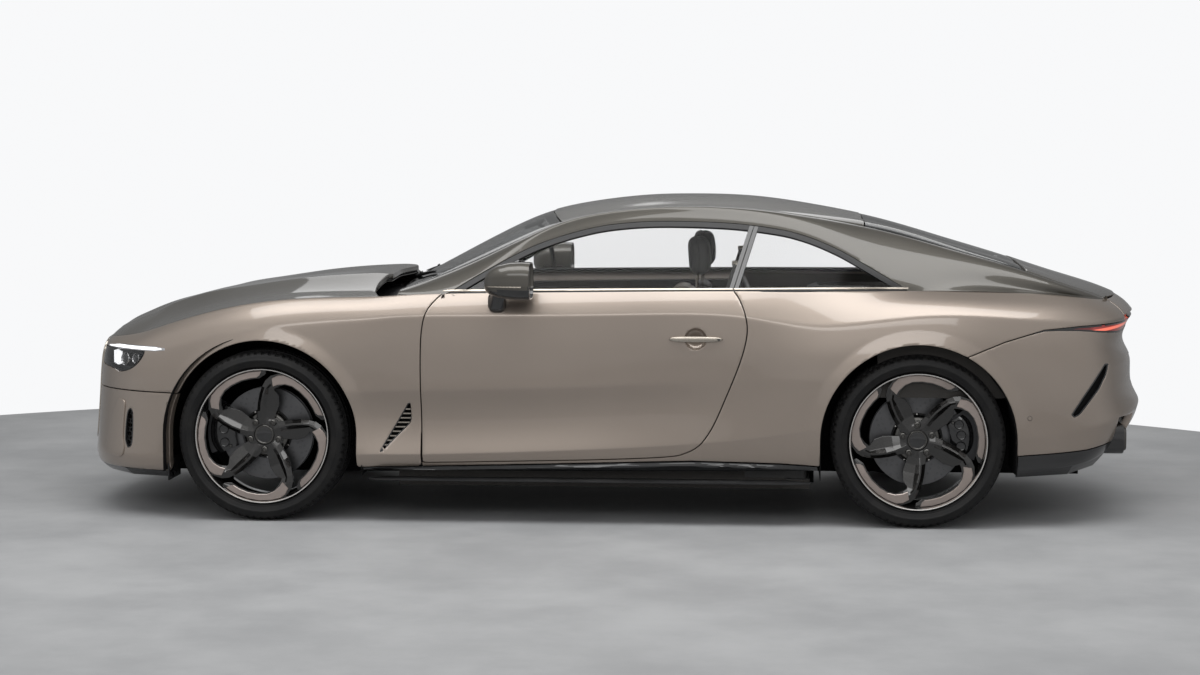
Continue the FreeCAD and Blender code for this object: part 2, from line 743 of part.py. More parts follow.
def hinge_barrel(z, back):
    """Left door's half of a hinge: a barrel on the pin and a lug to the door."""
    radius = size("hinge_barrel_radius")
    start = Vector(HINGE_X, -HINGE_Y, z)
    barrel = Part.makeCylinder(radius, BARREL, start, UP)
    lug = Part.makeBox(back - HINGE_X + 2, radius, BARREL, Vector(HINGE_X, -HINGE_Y, z))
    bore = Part.makeCylinder(size("hinge_pin_radius") + size("pin_clearance"), BARREL, start, UP)
    return barrel.fuse(lug).cut(bore)


def door_hinge_leaf(z):
    """Body's half of a left door hinge: the pin, and a leaf back to the door post."""
    radius = size("hinge_barrel_radius")
    play = size("seat_gap")
    pin = Part.makeCylinder(
        size("hinge_pin_radius"), BARREL + 2 * (play + 12), Vector(HINGE_X, -HINGE_Y, z - play - 12), UP
    )
    leaf = pin
    reach = HINGE_Y - (HALF - size("post_inset"))
    for low in (z - play - 12, z + BARREL + play):
        cheek = Part.makeCylinder(radius, 12, Vector(HINGE_X, -HINGE_Y, low), UP)
        arm = Part.makeBox(2 * radius, reach, 12, Vector(HINGE_X - radius, -HINGE_Y, low))
        leaf = leaf.fuse(cheek).fuse(arm)
    return leaf


# ---------------------------------------------------------------- panels on the upper surface
U_SCREEN_TOP = 2.75
U_ROOF_END = 7.67
U_BACKLIGHT_END = 10.15
U_LID_START = 10.2
G_BELT, G_WINDOW, G_RAIL, G_CENTRE = 1.0, 2.0, 3.0, 6.0


def across(u_from, u_to, rows, columns, thickness, lower=G_RAIL):
    """Slab over the upper surface from one rail to the other."""
    outer, inner = [], []
    for u in steps(u_from, u_to, rows):
        left = [(upper.at(u, g), upper.normal(u, g)) for g in steps(lower, G_CENTRE, columns)]
        left[-1] = (left[-1][0], Vector(left[-1][1].x, 0, left[-1][1].z).normalize())
        right = [(mirrored(p), mirrored(n)) for p, n in reversed(left[:-1])]
        outer.append([p for p, n in left + right])
        inner.append([p - n * thickness for p, n in left + right])
    return slab(outer, inner)


def roof_rail():
    """Left side frame above the belt: windscreen pillar, roof rail and rear pillar."""
    grid = []
    corner = [(0.0, 2.0), (7.0, 2.0), (8.25, 1.0), (12.0, 1.0)]
    for u in [0.0, 0.5, 1.0, 1.5, 2.15, 3.0, 4.0, 5.0, 6.0, 7.0, 7.6, 8.25, 9.0, 10.0, 11.0, 12.0]:
        low = between(corner, u)
        grid.append([(u, g) for g in steps(low, G_RAIL - 0.002, 3)])
    return skin(upper, grid, size("rail_thickness"))


def window_grid(u_from, u_to, foot_z):
    grid = []
    for share in steps(0, 1, 6):
        line = []
        for rise in steps(0, 1, 4):
            u = u_from(rise) + (u_to(rise) - u_from(rise)) * share
            foot = upper.level(u, foot_z)
            line.append((u, foot + (G_WINDOW - 0.004 - foot) * rise))
        grid.append(line)
    return grid


def b_line(rise):
    """Upper station of the line between door glass and rear side window."""
    return upper.station(DOOR_REAR_X, 1.2, 4, 7) + 0.34 * rise


def door_glass():
    """Left door glass, standing on the door's top edge."""
    foot = BELT + size("seat_gap")
    grid = window_grid(lambda r: 1.14 + 0.10 * r, lambda r: b_line(r) - 0.035, foot)
    outer, inner = [], []
    lift = size("shut_gap")
    for line in grid:
        points = [upper.at(u, v) for u, v in line]
        normals = [upper.normal(u, v) for u, v in line]
        top = points[-1]
        drop = lift / max(top.z - foot, lift)
        points = [p - (top - points[0]) * (drop * i / (len(points) - 1)) for i, p in enumerate(points)]
        inside = [p - n * size("glass_thickness") for p, n in zip(points, normals)]
        for face in (points, inside):
            for i, point in enumerate(face):
                point.z = max(point.z, foot + i) if i else foot
        outer.append(points)
        inner.append(inside)
    return slab(outer, inner)


def quarter_window():
    """Left rear side window, fixed in the side frame."""
    grid = window_grid(lambda r: b_line(r) + 0.02, lambda r: 8.2 - 0.85 * r, BELT + 16)
    return skin(upper, grid, size("glass_thickness"))


def bonnet_row(u, count):
    """Points from the bonnet's left edge at side station u to the centre line."""
    edge = side.at(u, side.v_max)
    inward = Vector(1, 0, 0) if u < 0.01 else side.normal(u, side.v_max - 1) * -1
    inward = Vector(inward.x, inward.y, 0).normalize()
    edge = edge + inward * GAP
    share = (u - BONNET_START) / (BONNET_END - BONNET_START)
    place = BONNET_CENTRE[0][0] + (BONNET_CENTRE[-1][0] - BONNET_CENTRE[0][0]) * share ** 1.35
    middle = Vector(along(place), 0, between(BONNET_CENTRE, place))
    row = []
    for t in steps(0, 1, count):
        bow = 1 - (1 - t) ** 2.2
        point = edge + (middle - edge) * t
        point.z = edge.z + (middle.z - edge.z) * bow
        row.append(point)
    return row


BONNET_START, BONNET_END = 0.25, 6.25


def lid(rows, thickness, taper):
    """Lid from half rows that end on the centre line; its edges slope inwards under the skin."""
    outer = [row + [mirrored(p) for p in reversed(row[:-1])] for row in rows]
    middle = Vector()
    for row in outer:
        for point in row:
            middle += point * (1.0 / (len(outer) * len(outer[0])))
    inner = []
    for row in outer:
        line = []
        for point in row:
            pull = Vector(middle.x - point.x, middle.y - point.y, 0)
            on_rim = row in (outer[0], outer[-1]) or point in (row[0], row[-1])
            shift = pull.normalize() * taper if on_rim and pull.Length > 1 else Vector()
            line.append(point + shift - UP * thickness)
        inner.append(line)
    return slab(outer, inner)


def bonnet_panel():
    rows = [bonnet_row(u, 4) for u in (0.25, 0.9, 1.5, 2.1, 2.8, 3.5, 4.3, 5.1, 5.8, 6.25)]
    shape = lid(rows, size("lid_thickness"), 14)
    for y in (-BONNET_ARM_Y, BONNET_ARM_Y - ARM_WIDTH):
        shape = shape.fuse(bonnet_arm(y))
    return shape


BONNET_AXIS = Vector(along(1.2055), 0, 930)
BONNET_ARM_Y = 735
ARM_WIDTH = 16


def bonnet_arm(y):
    """Bonnet's half of a hinge: barrel, and an arm up to the underside of the bonnet."""
    radius = size("hinge_barrel_radius")
    x, z = BONNET_AXIS.x, BONNET_AXIS.z
    start = Vector(x, y, z)
    across_car = Vector(0, 1, 0)
    barrel = Part.makeCylinder(radius, ARM_WIDTH, start, across_car)
    outline = [(x, z - radius), (x, z + radius), (x - 95, z + 64), (x - 180, z + 64), (x - 180, z + 44), (x - 95, z + 26)]
    arm = prism_y(outline, y, y + ARM_WIDTH)
    bore = Part.makeCylinder(size("hinge_pin_radius") + size("pin_clearance"), ARM_WIDTH, start, across_car)
    return barrel.fuse(arm).cut(bore)


def hinge_pin_block(x, y, z, width, drop, length):
    """Body's half of a lid hinge: a pin between two cheeks on a foot below them."""
    radius = size("hinge_barrel_radius")
    play = size("seat_gap")
    across_car = Vector(0, 1, 0)
    pin = Part.makeCylinder(
        size("hinge_pin_radius"), width + 2 * (play + 8), Vector(x, y - play - 8, z), across_car
    )
    block = pin
    for start in (y - play - 8, y + width + play):
        cheek = Part.makeBox(2 * radius, 8, drop + radius, Vector(x - radius, start, z - drop))
        block = block.fuse(cheek)
    foot = Part.makeBox(length, width + 2 * (play + 8), 10, Vector(x - radius, y - play - 8, z - drop - 10))
    return block.fuse(foot)


def boot_lid():
    """Boot lid: deck and the lip that turns down over the lamps, with its two swan-neck arms."""
    rows = []
    for u in steps(U_LID_START, 12.85, 5):
        rows.append([upper.at(u, g) for g in steps(G_RAIL + 0.09, G_CENTRE, 5)])
    for drop in (0.0, 0.5, 1.0):
        row = []
        for u in steps(LID_U + 0.1, TAIL_U, 5):
            height = edge_height(u) - 2 - drop * (edge_height(u) - 2 - LAMP_TOP - GAP)
            row.append(side.at(u, side.level(u, height)))
        rows.append(row)
    outer = [row + [mirrored(p) for p in reversed(row[:-1])] for row in rows]
    inner = []
    for index, row in enumerate(outer):
        line = []
        for point in row:
            forward = -16 if index >= 6 else (14 if index == 0 else 0)
            down = 20 if index < 6 else (14 if index == 6 else 0)
            line.append(point + Vector(forward, -point.y * 0.02, -down))
        inner.append(line)
    shape = slab(outer, inner)
    for y in (-BOOT_ARM_Y, BOOT_ARM_Y - ARM_WIDTH):
        shape = shape.fuse(swan_neck(y))
    return shape


BOOT_EDGE = upper.at(U_LID_START, 4.4)
BOOT_AXIS = Vector(BOOT_EDGE.x - 150, 0, BOOT_EDGE.z - 34)
BOOT_ARM_Y = 560
SWAN_RADIUS = 167
SHELF_Z = 945


def swan_neck(y):
    """Arm that carries the boot lid: down from its pin, then round the pin up to the lid."""
    across_car = Vector(0, 1, 0)
    x, z = BOOT_AXIS.x, BOOT_AXIS.z
    pin_start = Vector(x, y, z)
    ring = Part.makeCylinder(SWAN_RADIUS + 9, ARM_WIDTH, pin_start, across_car)
    ring = ring.cut(Part.makeCylinder(SWAN_RADIUS - 9, ARM_WIDTH, pin_start, across_car))
    quarter = Part.makeBox(SWAN_RADIUS + 20, ARM_WIDTH, SWAN_RADIUS + 26, Vector(x, y, z - SWAN_RADIUS - 20))
    leg = Part.makeBox(18, ARM_WIDTH, SWAN_RADIUS, Vector(x - 9, y, z - SWAN_RADIUS - 4))
    barrel = Part.makeCylinder(size("hinge_barrel_radius"), ARM_WIDTH, pin_start, across_car)
    bore = Part.makeCylinder(size("hinge_pin_radius") + size("pin_clearance"), ARM_WIDTH, pin_start, across_car)
    return ring.common(quarter).fuse(leg).fuse(barrel).cut(bore)


def boot_hinge_block(y):
    """Body's half of a boot hinge: a pin between two arms on a post that stands on the shelf."""
    radius = size("hinge_barrel_radius")
    play = size("seat_gap")
    x, z = BOOT_AXIS.x, BOOT_AXIS.z
    width = ARM_WIDTH + 2 * (play + 8)
    block = Part.makeCylinder(size("hinge_pin_radius"), width, Vector(x, y - play - 8, z), Vector(0, 1, 0))
    for start in (y - play - 8, y + ARM_WIDTH + play):
        block = block.fuse(Part.makeBox(100 + radius, 8, 2 * radius, Vector(x - 100, start, z - radius)))
    height = z + radius - SHELF_Z - play
    return block.fuse(Part.makeBox(30, width, height, Vector(x - 130, y - play - 8, SHELF_Z + play)))


def hinges():
    """Body's halves of the hinges of both doors, the bonnet and the boot lid."""
    pieces = []
    for z in HINGE_HEIGHTS:
        leaf = door_hinge_leaf(z)
        pieces += [leaf, mirror_y(leaf)]
    for start in (-BONNET_ARM_Y, BONNET_ARM_Y - ARM_WIDTH):
        pieces.append(hinge_pin_block(BONNET_AXIS.x, start, BONNET_AXIS.z, ARM_WIDTH, 30, 30))
    for start in (-BOOT_ARM_Y, BOOT_ARM_Y - ARM_WIDTH):
        pieces.append(boot_hinge_block(start))
    return Part.makeCompound(pieces)


feature("front_bumper", front_bumper())
feature("front_fenders", both_sides(front_fender()))
feature("rear_quarters", both_sides(rear_quarter()))
feature("rear_bumper", rear_bumper())
feature("front_splitter", lower_lip([0, 1, 2, 3, 4, 4.6], lambda u: 172, lambda u: 204.7, FRONT_AXLE))
feature("rear_diffuser", lower_lip([11.4, 12, 12.8, 13.6, 14.4, 15.2, 16], diffuser_foot, diffuser_top, REAR_AXLE))
feature("left_door", door_panel())
feature("right_door", mirror_y(NODES["left_door"].Shape))
feature("left_door_glass", door_glass())
feature("right_door_glass", mirror_y(NODES["left_door_glass"].Shape))
feature("roof_rails", both_sides(roof_rail().cut(rear_quarter()).cut(front_fender())))
feature("quarter_windows", both_sides(quarter_window()))
feature("windscreen", across(0.12, U_SCREEN_TOP, 6, 4, size("glass_thickness")))
feature("roof_panel", across(U_SCREEN_TOP, U_ROOF_END, 8, 4, SKIN))
feature("rear_window", across(U_ROOF_END, U_BACKLIGHT_END, 6, 4, size("glass_thickness")))
feature("bonnet", bonnet_panel())
feature("boot_lid", boot_lid())
feature("hinges", hinges())
feature("headlamps", both_sides(lamp_block(HEADLAMP, 0, 0, 70)))
feature("tail_lamps", both_sides(tail_lamp()))
doc.recompute()


# ---------------------------------------------------------------- wheels
def wheel_rim(name, width):
    """Rim about the Y axis, its outer face towards -Y, from the width over its flanges."""
    radius, wall = "rim_diameter / 2", "rim_wall"
    half = f"({width}) / 2"
    points = [
        (radius, f"-{half}"), (radius, f"-{half} + {wall}"),
        (f"{radius} - 13", f"-{half} + {wall}"), (f"{radius} - 13", f"{half} - {wall}"),
        (radius, f"{half} - {wall}"), (radius, half),
        (f"{radius} - 13 - {wall}", half), (f"{radius} - 13 - {wall}", f"-{half}"),
    ]
    barrel = revolved(name + "_barrel", points, "0", "0", "0")
    face = "-hub_offset - hub_depth"
    hub_points = [
        ("spindle_radius + pin_clearance", "-hub_offset"), ("hub_radius", "-hub_offset"),
        ("hub_radius", face), ("spindle_radius + pin_clearance", face),
    ]
    hub = revolved(name + "_hub", hub_points, "0", "0", "0")
    spokes = []
    for index in range(5):
        spoke = doc.addObject("Part::Wedge", f"{name}_spoke_{index}")
        start = size("hub_radius") - 12
        bind(
            spoke, Xmin="-27", Xmax="27", X2min="-46", X2max="46",
            Ymin="0", Ymax="rim_diameter / 2 - 21 - hub_radius + 12",
            Zmin="0", Zmax="hub_depth - 10", Z2min="hub_depth - 18 + 26", Z2max="hub_depth - 18 + 50",
        )
        turn = Rotation(Vector(0, 1, 0), 72 * index) * Rotation(Vector(1, 0, 0), 90)
        spoke.Placement = Placement(turn.multVec(Vector(0, start, size("hub_offset") + 4)), turn)
        spokes.append(spoke)
    return fused(name, barrel, hub, *spokes)


def tyre_body(name, width):
    """Tyre about the Y axis, seated between the rim's flanges."""
    seat = "rim_diameter / 2 - 13 + seat_gap"
    outer = "tyre_diameter / 2"
    bead = f"({width}) / 2 - 10 - rim_wall - seat_gap"
    wall = f"({width}) / 2"
    right = [
        (seat, bead), ("rim_diameter / 2 + 3", bead), ("rim_diameter / 2 + 20", f"{wall} - 2"),
        (f"{outer} - 36", wall), (f"{outer} - 15", f"{wall} - 7"), (f"{outer} - 4", f"{wall} - 22"),
        (outer, f"{wall} - 62"),
    ]
    inner = [
        (f"{outer} - 14", f"{wall} - 46"), (f"{outer} - 26", f"{wall} - 20"),
        ("rim_diameter / 2 + 16", f"{wall} - 18"), (seat, f"({bead}) - 22"),
    ]
    points = right + [(r, f"-({y})") for r, y in reversed(right)]
    points += [(r, f"-({y})") for r, y in reversed(inner)] + inner
    return revolved(name, points, "0", "0", "0")


def brake_disc_body(name):
    """Disc and its bell, against the rim's mounting face."""
    face = "-hub_offset + seat_gap"
    points = [
        ("spindle_radius + pin_clearance", face), ("hub_radius - 4", face),
        ("hub_radius - 4", f"{face} + 22"), ("disc_radius", f"{face} + 22"),
        ("disc_radius", f"{face} + 22 + disc_thickness"),
        ("spindle_radius + pin_clearance", f"{face} + 22 + disc_thickness"),
    ]
    return revolved(name, points, "0", "0", "0")


def placed(node, source, x, y, turn=0):
    """A node that is the source piece, moved to an axle and turned about the upright axis."""
    obj = doc.addObject("Part::Compound", node + "_placed")
    obj.Links = [source]
    obj.Placement = Placement(Vector(), Rotation(UP, turn))
    bind(obj, Placement__Base__x=x, Placement__Base__y=y, Placement__Base__z="tyre_diameter / 2")
    return keep(node, obj)


FRONT_X = "-overall_length / 2 + front_overhang"
REAR_X = "-overall_length / 2 + front_overhang + wheelbase"
CABIN_START = f"{FRONT_X} + cabin_front"
CABIN_END = f"{REAR_X} - cabin_rear"
AXLES = {
    "front": (FRONT_X, "body_width / 2 - wheel_inset - front_tyre_width / 2", "front_tyre_width"),
    "rear": (REAR_X, "body_width / 2 - wheel_inset - rear_tyre_width / 2", "rear_tyre_width"),
}
for axle, (axle_x, wheel_y, width) in AXLES.items():
    rim = wheel_rim(f"rim_{axle}", f"{width} - 20")
    tyre = tyre_body(f"tyre_{axle}", width)
    disc = brake_disc_body(f"disc_{axle}")
    for hand, sign, turn in (("left", "-", 0), ("right", "", 180)):
        for kind, source in (("rim", rim), ("tyre", tyre), ("brake_disc", disc)):
            placed(f"{axle}_{hand}_{kind}", source, axle_x, f"{sign}({wheel_y})", turn)


# ---------------------------------------------------------------- uprights, arms and brakes
KINGPIN_RADIUS = 12
KINGPIN_HALF = 70
KINGPIN_Y = FRONT_WHEEL_Y - size("kingpin_inset")
DISC_OUT = size("hub_offset") - size("seat_gap") - 22  # disc's outer face from the tyre's middle plane
SPINDLE_END = size("hub_offset") + size("hub_depth")


def caliper(wheel_y, axle_x, toward):
    """Left brake caliper astride the disc, behind (1) or ahead (-1) of the axle."""
    space = size("caliper_clearance")
    outer_y = -(wheel_y + DISC_OUT + space + 12)
    inner_y = -(wheel_y + DISC_OUT - size("disc_thickness") - space - 40)
    reach = size("rim_diameter") / 2 - 13 - size("rim_wall") - 13
    centre = Vector(axle_x, outer_y, AXLE_Z)
    ring = Part.makeCylinder(reach, inner_y - outer_y, centre, Vector(0, 1, 0))
    hollow = Part.makeCylinder(size("disc_radius") - 66, inner_y - outer_y, centre, Vector(0, 1, 0))
    wedge = prism_y(
        [(axle_x, AXLE_Z), (axle_x + toward * 300, AXLE_Z + 190), (axle_x + toward * 300, AXLE_Z - 110)],
        outer_y, inner_y,
    )
    slot = Part.makeCylinder(
        size("disc_radius") + space, size("disc_thickness") + 2 * space,
        Vector(axle_x, outer_y + 12, AXLE_Z), Vector(0, 1, 0),
    )
    return ring.cut(hollow).common(wedge).cut(slot)


def spindle(axle_x, from_y, wheel_y):
    length = wheel_y + SPINDLE_END - 4 - from_y
    start = Vector(axle_x, -from_y, AXLE_Z)
    return Part.makeCylinder(size("spindle_radius"), length, start, Vector(0, -1, 0))


def bracket(axle_x, middle_y, toward, reach_y):
    """Plate that carries the caliper on the inner side of the disc."""
    x_end = axle_x + toward * 165
    low = min(axle_x, x_end)
    return Part.makeBox(abs(x_end - axle_x), reach_y, 70, Vector(low, -middle_y - reach_y / 2, AXLE_Z - 25))


def front_knuckle():
    """Left front upright: turns on the kingpin, carries the spindle and the caliper."""
    start = Vector(FRONT_AXLE, -KINGPIN_Y, AXLE_Z - KINGPIN_HALF)
    barrel = Part.makeCylinder(36, 2 * KINGPIN_HALF, start, UP)
    bore = Part.makeCylinder(KINGPIN_RADIUS + size("pin_clearance"), 2 * KINGPIN_HALF, start, UP)
    arm = bracket(FRONT_AXLE, KINGPIN_Y - 2, -1, 26)
    body = barrel.fuse(spindle(FRONT_AXLE, KINGPIN_Y, FRONT_WHEEL_Y)).fuse(arm)
    body = body.fuse(caliper(FRONT_WHEEL_Y, FRONT_AXLE, -1))
    return body.cut(bore)


def front_arms():
    """Left front wishbones, with the kingpin between their ends."""
    play = size("seat_gap")
    low = AXLE_Z - KINGPIN_HALF - play - 26
    high = AXLE_Z + KINGPIN_HALF + play
    pin = Part.makeCylinder(KINGPIN_RADIUS, high + 26 - low, Vector(FRONT_AXLE, -KINGPIN_Y, low), UP)
    body = pin
    for z in (low, high):
        arm = Part.makeBox(64, KINGPIN_Y - 420 + 20, 26, Vector(FRONT_AXLE - 32, -KINGPIN_Y - 20, z))
        body = body.fuse(arm)
    return body


def rear_upright():
    """Left rear upright, fixed to the subframe by two arms."""
    inner = REAR_WHEEL_Y + DISC_OUT - size("disc_thickness") - 60
    hub = Part.makeBox(110, 40, 190, Vector(REAR_AXLE - 55, -inner, AXLE_Z - 95))
    body = hub.fuse(spindle(REAR_AXLE, inner - 20, REAR_WHEEL_Y))
    body = body.fuse(bracket(REAR_AXLE, inner + 6, 1, 60)).fuse(caliper(REAR_WHEEL_Y, REAR_AXLE, 1))
    for z in (AXLE_Z - 90, AXLE_Z + 62):
        body = body.fuse(Part.makeBox(60, inner - 40 - 420, 28, Vector(REAR_AXLE - 30, -(inner - 40), z)))
    return body


feature("front_left_knuckle", front_knuckle())
feature("front_right_knuckle", mirror_y(NODES["front_left_knuckle"].Shape))
feature("suspension_arms", Part.makeCompound(
    both_sides(front_arms()).Solids + both_sides(biggest(rear_upright())).Solids
))
keep("front_subframe", fused(
    "front_subframe_parts",
    solid_box("front_beam", "300", "840", "70", f"{FRONT_X} - 150", "-420", "floor_bottom + 10"),
    solid_box("front_tower_left", "160", "20", "330", f"{FRONT_X} - 80", "-420", "floor_bottom + 70"),
    solid_box("front_tower_right", "160", "20", "330", f"{FRONT_X} - 80", "400", "floor_bottom + 70"),
    solid_box("rail_left", "1275", "80", "70", f"{FRONT_X} - 690", "-402", "430"),
    solid_box("rail_right", "1275", "80", "70", f"{FRONT_X} - 690", "322", "430"),
    solid_box("bumper_beam", "60", "960", "90", f"{FRONT_X} - 750", "-480", "425"),
))
keep("rear_subframe", fused(
    "rear_subframe_parts",
    solid_box("rear_beam", "300", "840", "70", f"{REAR_X} - 150", "-420", "floor_bottom + 50"),
    solid_box("rear_tower_left", "160", "20", "270", f"{REAR_X} - 80", "-420", "floor_bottom + 110"),
    solid_box("rear_tower_right", "160", "20", "270", f"{REAR_X} - 80", "400", "floor_bottom + 110"),
    solid_box("rear_rail_left", "1270", "80", "60", f"{CABIN_END} + 20 + 2 * seat_gap", "-402", "480"),
    solid_box("rear_rail_right", "1270", "80", "60", f"{CABIN_END} + 20 + 2 * seat_gap", "322", "480"),
    solid_box("rear_beam_bar", "50", "960", "90", f"{CABIN_END} + 1290 + 2 * seat_gap", "-480", "450"),
))
keep("engine_block", solid_box(
    "engine", "660", "520", "520", f"{FRONT_X} - 230", "-260", "floor_bottom + 80 + seat_gap"
))


# ---------------------------------------------------------------- floor, walls and wheelhouses
def wheelhouse(axle_x, radius, inner_y, outer_y):
    """Left wheelhouse: a half tube over the wheel, closed on its inner side."""
    wall = 6
    across_car = Vector(0, -1, 0)
    depth = outer_y - inner_y
    shell = Part.makeCylinder(radius + wall, depth, Vector(axle_x, -inner_y, AXLE_Z), across_car)
    shell = shell.cut(Part.makeCylinder(radius, depth - wall, Vector(axle_x, -inner_y - wall, AXLE_Z), across_car))
    window = Part.makeBox(200, 40, 260, Vector(axle_x - 100, -inner_y - 20, AXLE_Z - 130))
    below = Part.makeBox(2 * radius + 100, depth + 20, AXLE_Z, Vector(axle_x - radius - 50, -outer_y - 10, -60))
    return shell.cut(window).cut(below)


def inside_of_skin(first, last, low, high, inner_y):
    """Left part of the car between the side surface and an upright plane at inner_y."""
    grid = band(steps(first, last, 10), lambda u: low, lambda u: min(high, edge_height(u) - 1), 6)
    outer = [[side.at(u, v) for u, v in line] for line in grid]
    inner = [[Vector(p.x, -inner_y, p.z) for p in line] for line in outer]
    return slab(outer, inner)


def wheelhouses():
    """All four wheelhouses, each trimmed to meet its wing from inside."""
    front = wheelhouse(FRONT_AXLE, 446, 466, HALF + 20)
    front = front.common(inside_of_skin(3.2, 7.5, 300, 985, 300)).cut(NODES["front_fenders"].Shape)
    rear = wheelhouse(REAR_AXLE, 424, 632, HALF + 20)
    rear = rear.common(inside_of_skin(8.6, 14.0, 300, 985, 300)).cut(NODES["rear_quarters"].Shape)
    front, rear = [biggest(piece.cut(NODES[end].Shape)) for piece, end in ((front, "front_bumper"), (rear, "rear_bumper"))]
    return Part.makeCompound([front, mirror_y(front), rear, mirror_y(rear)])


SILL_Y = HALF - size("sill_inset")


def side_skirt():
    """Left skirt under the door, between the wheel arches."""
    end = side.station(REAR_AXLE - ARCH_R + 30, 1, 8, 11)
    start = side.station(FRONT_AXLE + ARCH_R + 12, 1, 5, 8)
    grid = band(steps(start, end, 10), lambda u: side.at(u, 0.05).z, lambda u: SKIRT_TOP, 3)
    outer = [[side.at(u, v) for u, v in line] for line in grid]
    inner = [[Vector(p.x, -SILL_Y, p.z) for p in line] for line in outer]
    return slab(outer, inner)


def mirror_housing():
    """Left door mirror: an egg-shaped housing on a foot that stands on the door."""
    egg = Part.makeSphere(1)
    stretch = Matrix()
    stretch.scale(98, 102, 68)
    egg = egg.transformGeometry(stretch)
    egg.translate(Vector(DOOR_X + 395, -HALF - 34, BELT + 52))
    foot = prism_y(
        [(DOOR_X + 340, 905), (DOOR_X + 430, 905), (DOOR_X + 450, BELT + 30), (DOOR_X + 360, BELT + 30)],
        -HALF - 5, -HALF + 60,
    )
    return biggest(egg.fuse(foot).cut(NODES["left_door"].Shape).cut(NODES["left_door_glass"].Shape))


def door_handle():
    """Left door handle, standing on the door's skin."""
    x = DOOR_REAR_X - 155
    point = side.at(*side.side_view(x, 810))
    bar = Part.makeBox(240, 46, 26, Vector(x - 120, point.y - 20, 797))
    return biggest(bar.cut(NODES["left_door"].Shape))


def grille_insert():
    """Radiator grille between the two wings, above and behind the bumper's opening."""
    def low(_):
        return size("grille_bottom") - 20

    grid = band([0, 0.3, 0.6, 0.9, 1.2, 1.5, 1.8], low, lambda u: 738, 5)
    block = skin_round(side, grid, 42)
    wide = size("grille_half_width") - size("seat_gap")
    frame = Part.makeBox(300, 2 * wide, 500, Vector(NOSE - 20, -wide, size("grille_bottom") + size("seat_gap")))
    front = Matrix()
    front.move(Vector(8, 0, 0))
    return block.transformGeometry(front).common(frame)


def exhaust_tips():
    """Two tail pipes through the diffuser."""
    outline = [(-62, 0), (62, 0), (74, 100), (-74, 100)]
    x = TAIL - 355
    outer = Part.Face(Part.makePolygon([Vector(x, y, 312 + z) for y, z in outline + outline[:1]]))
    inner = Part.Face(Part.makePolygon([Vector(x, y * 0.9, 318 + z * 0.88) for y, z in outline + outline[:1]]))
    pipe = outer.extrude(Vector(200, 0, 0)).cut(inner.extrude(Vector(300, 0, 0)))
    pipe.translate(Vector(0, -620, 0))
    return pipe


def trim(node, *others):
    """Cuts other nodes' solids out of a node, so that they meet face to face; keeps the main solids."""
    shape = NODES[node].Shape
    count = len(shape.Solids)
    for other in others:
        shape = shape.cut(NODES[other].Shape)
    main = sorted(shape.Solids, key=lambda solid: -solid.Volume)[:count]
    NODES[node].Shape = main[0] if count == 1 else Part.makeCompound(main)


PIPE = exhaust_tips()
NODES["rear_diffuser"].Shape = NODES["rear_diffuser"].Shape.cut(both_sides(PIPE))
for node in ("rear_diffuser", "rear_bumper"):
    hull = Part.makeBox(300, 148.6, 100.6, Vector(TAIL - 356, -694.3, 311.7))
    body = NODES[node].Shape.cut(hull).cut(mirror_y(hull))
    NODES[node].Shape = biggest(body)
feature("exhaust_tips", both_sides(PIPE))
trim("rear_quarters", "tail_lamps")
trim("rear_bumper", "tail_lamps", "rear_quarters")
trim("rear_diffuser", "rear_bumper")
trim("front_splitter", "front_bumper")
trim("roof_rails", "roof_panel", "quarter_windows", "rear_quarters")
trim("windscreen", "roof_panel", "roof_rails")
trim("rear_window", "roof_panel", "roof_rails")
trim("quarter_windows", "rear_quarters")
for hand in ("left", "right"):
    trim(f"{hand}_door_glass", f"{hand}_door")
feature("wheelhouses", wheelhouses())
trim("front_bumper", "wheelhouses")
trim("rear_bumper", "wheelhouses")
feature("side_skirts", both_sides(side_skirt()))
feature("left_mirror", mirror_housing())
feature("right_mirror", mirror_y(NODES["left_mirror"].Shape))
feature("left_door_handle", door_handle())
feature("right_door_handle", mirror_y(NODES["left_door_handle"].Shape))
feature("grille", grille_insert())
trim("grille", "front_bumper", "front_fenders")

CABIN_LENGTH = "wheelbase - cabin_rear - cabin_front"
SILL = "-body_width / 2 + sill_inset + seat_gap"
keep("floor_pan", fused(
    "floor_parts",
    solid_box("floor", CABIN_LENGTH, "body_width - 2 * sill_inset - 2 * seat_gap", "floor_thickness",
              CABIN_START, SILL, "floor_bottom"),
    solid_box("sill_left", f"{CABIN_LENGTH} - 105", "100", "60", CABIN_START, SILL,
              "floor_bottom + floor_thickness"),
    solid_box("sill_right", f"{CABIN_LENGTH} - 105", "100", "60", CABIN_START, f"-({SILL}) - 100",
              "floor_bottom + floor_thickness"),
))
keep("firewall", fused(
    "firewall_parts",
    solid_box("firewall_plate", "20", "1400", "668", CABIN_START, "-700", "floor_bottom + floor_thickness"),
    solid_box("cowl_beam", "80", "1560", "32", f"{CABIN_START} - 20", "-780", "858"),
))
post = solid_box(
    "hinge_post", "240", "100", "600", f"{CABIN_START} + 21", "-body_width / 2 + post_inset",
    "floor_bottom + floor_thickness + 60",
)
latch = solid_box(
    "latch_post", "110", "100", "680", f"{REAR_X} - door_rear + 60", "-body_width / 2 + post_inset",
    "floor_bottom + floor_thickness + 60",
)
posts = doc.addObject("Part::Compound", "left_posts")
posts.Links = [post, latch]
pair("door_posts", posts)
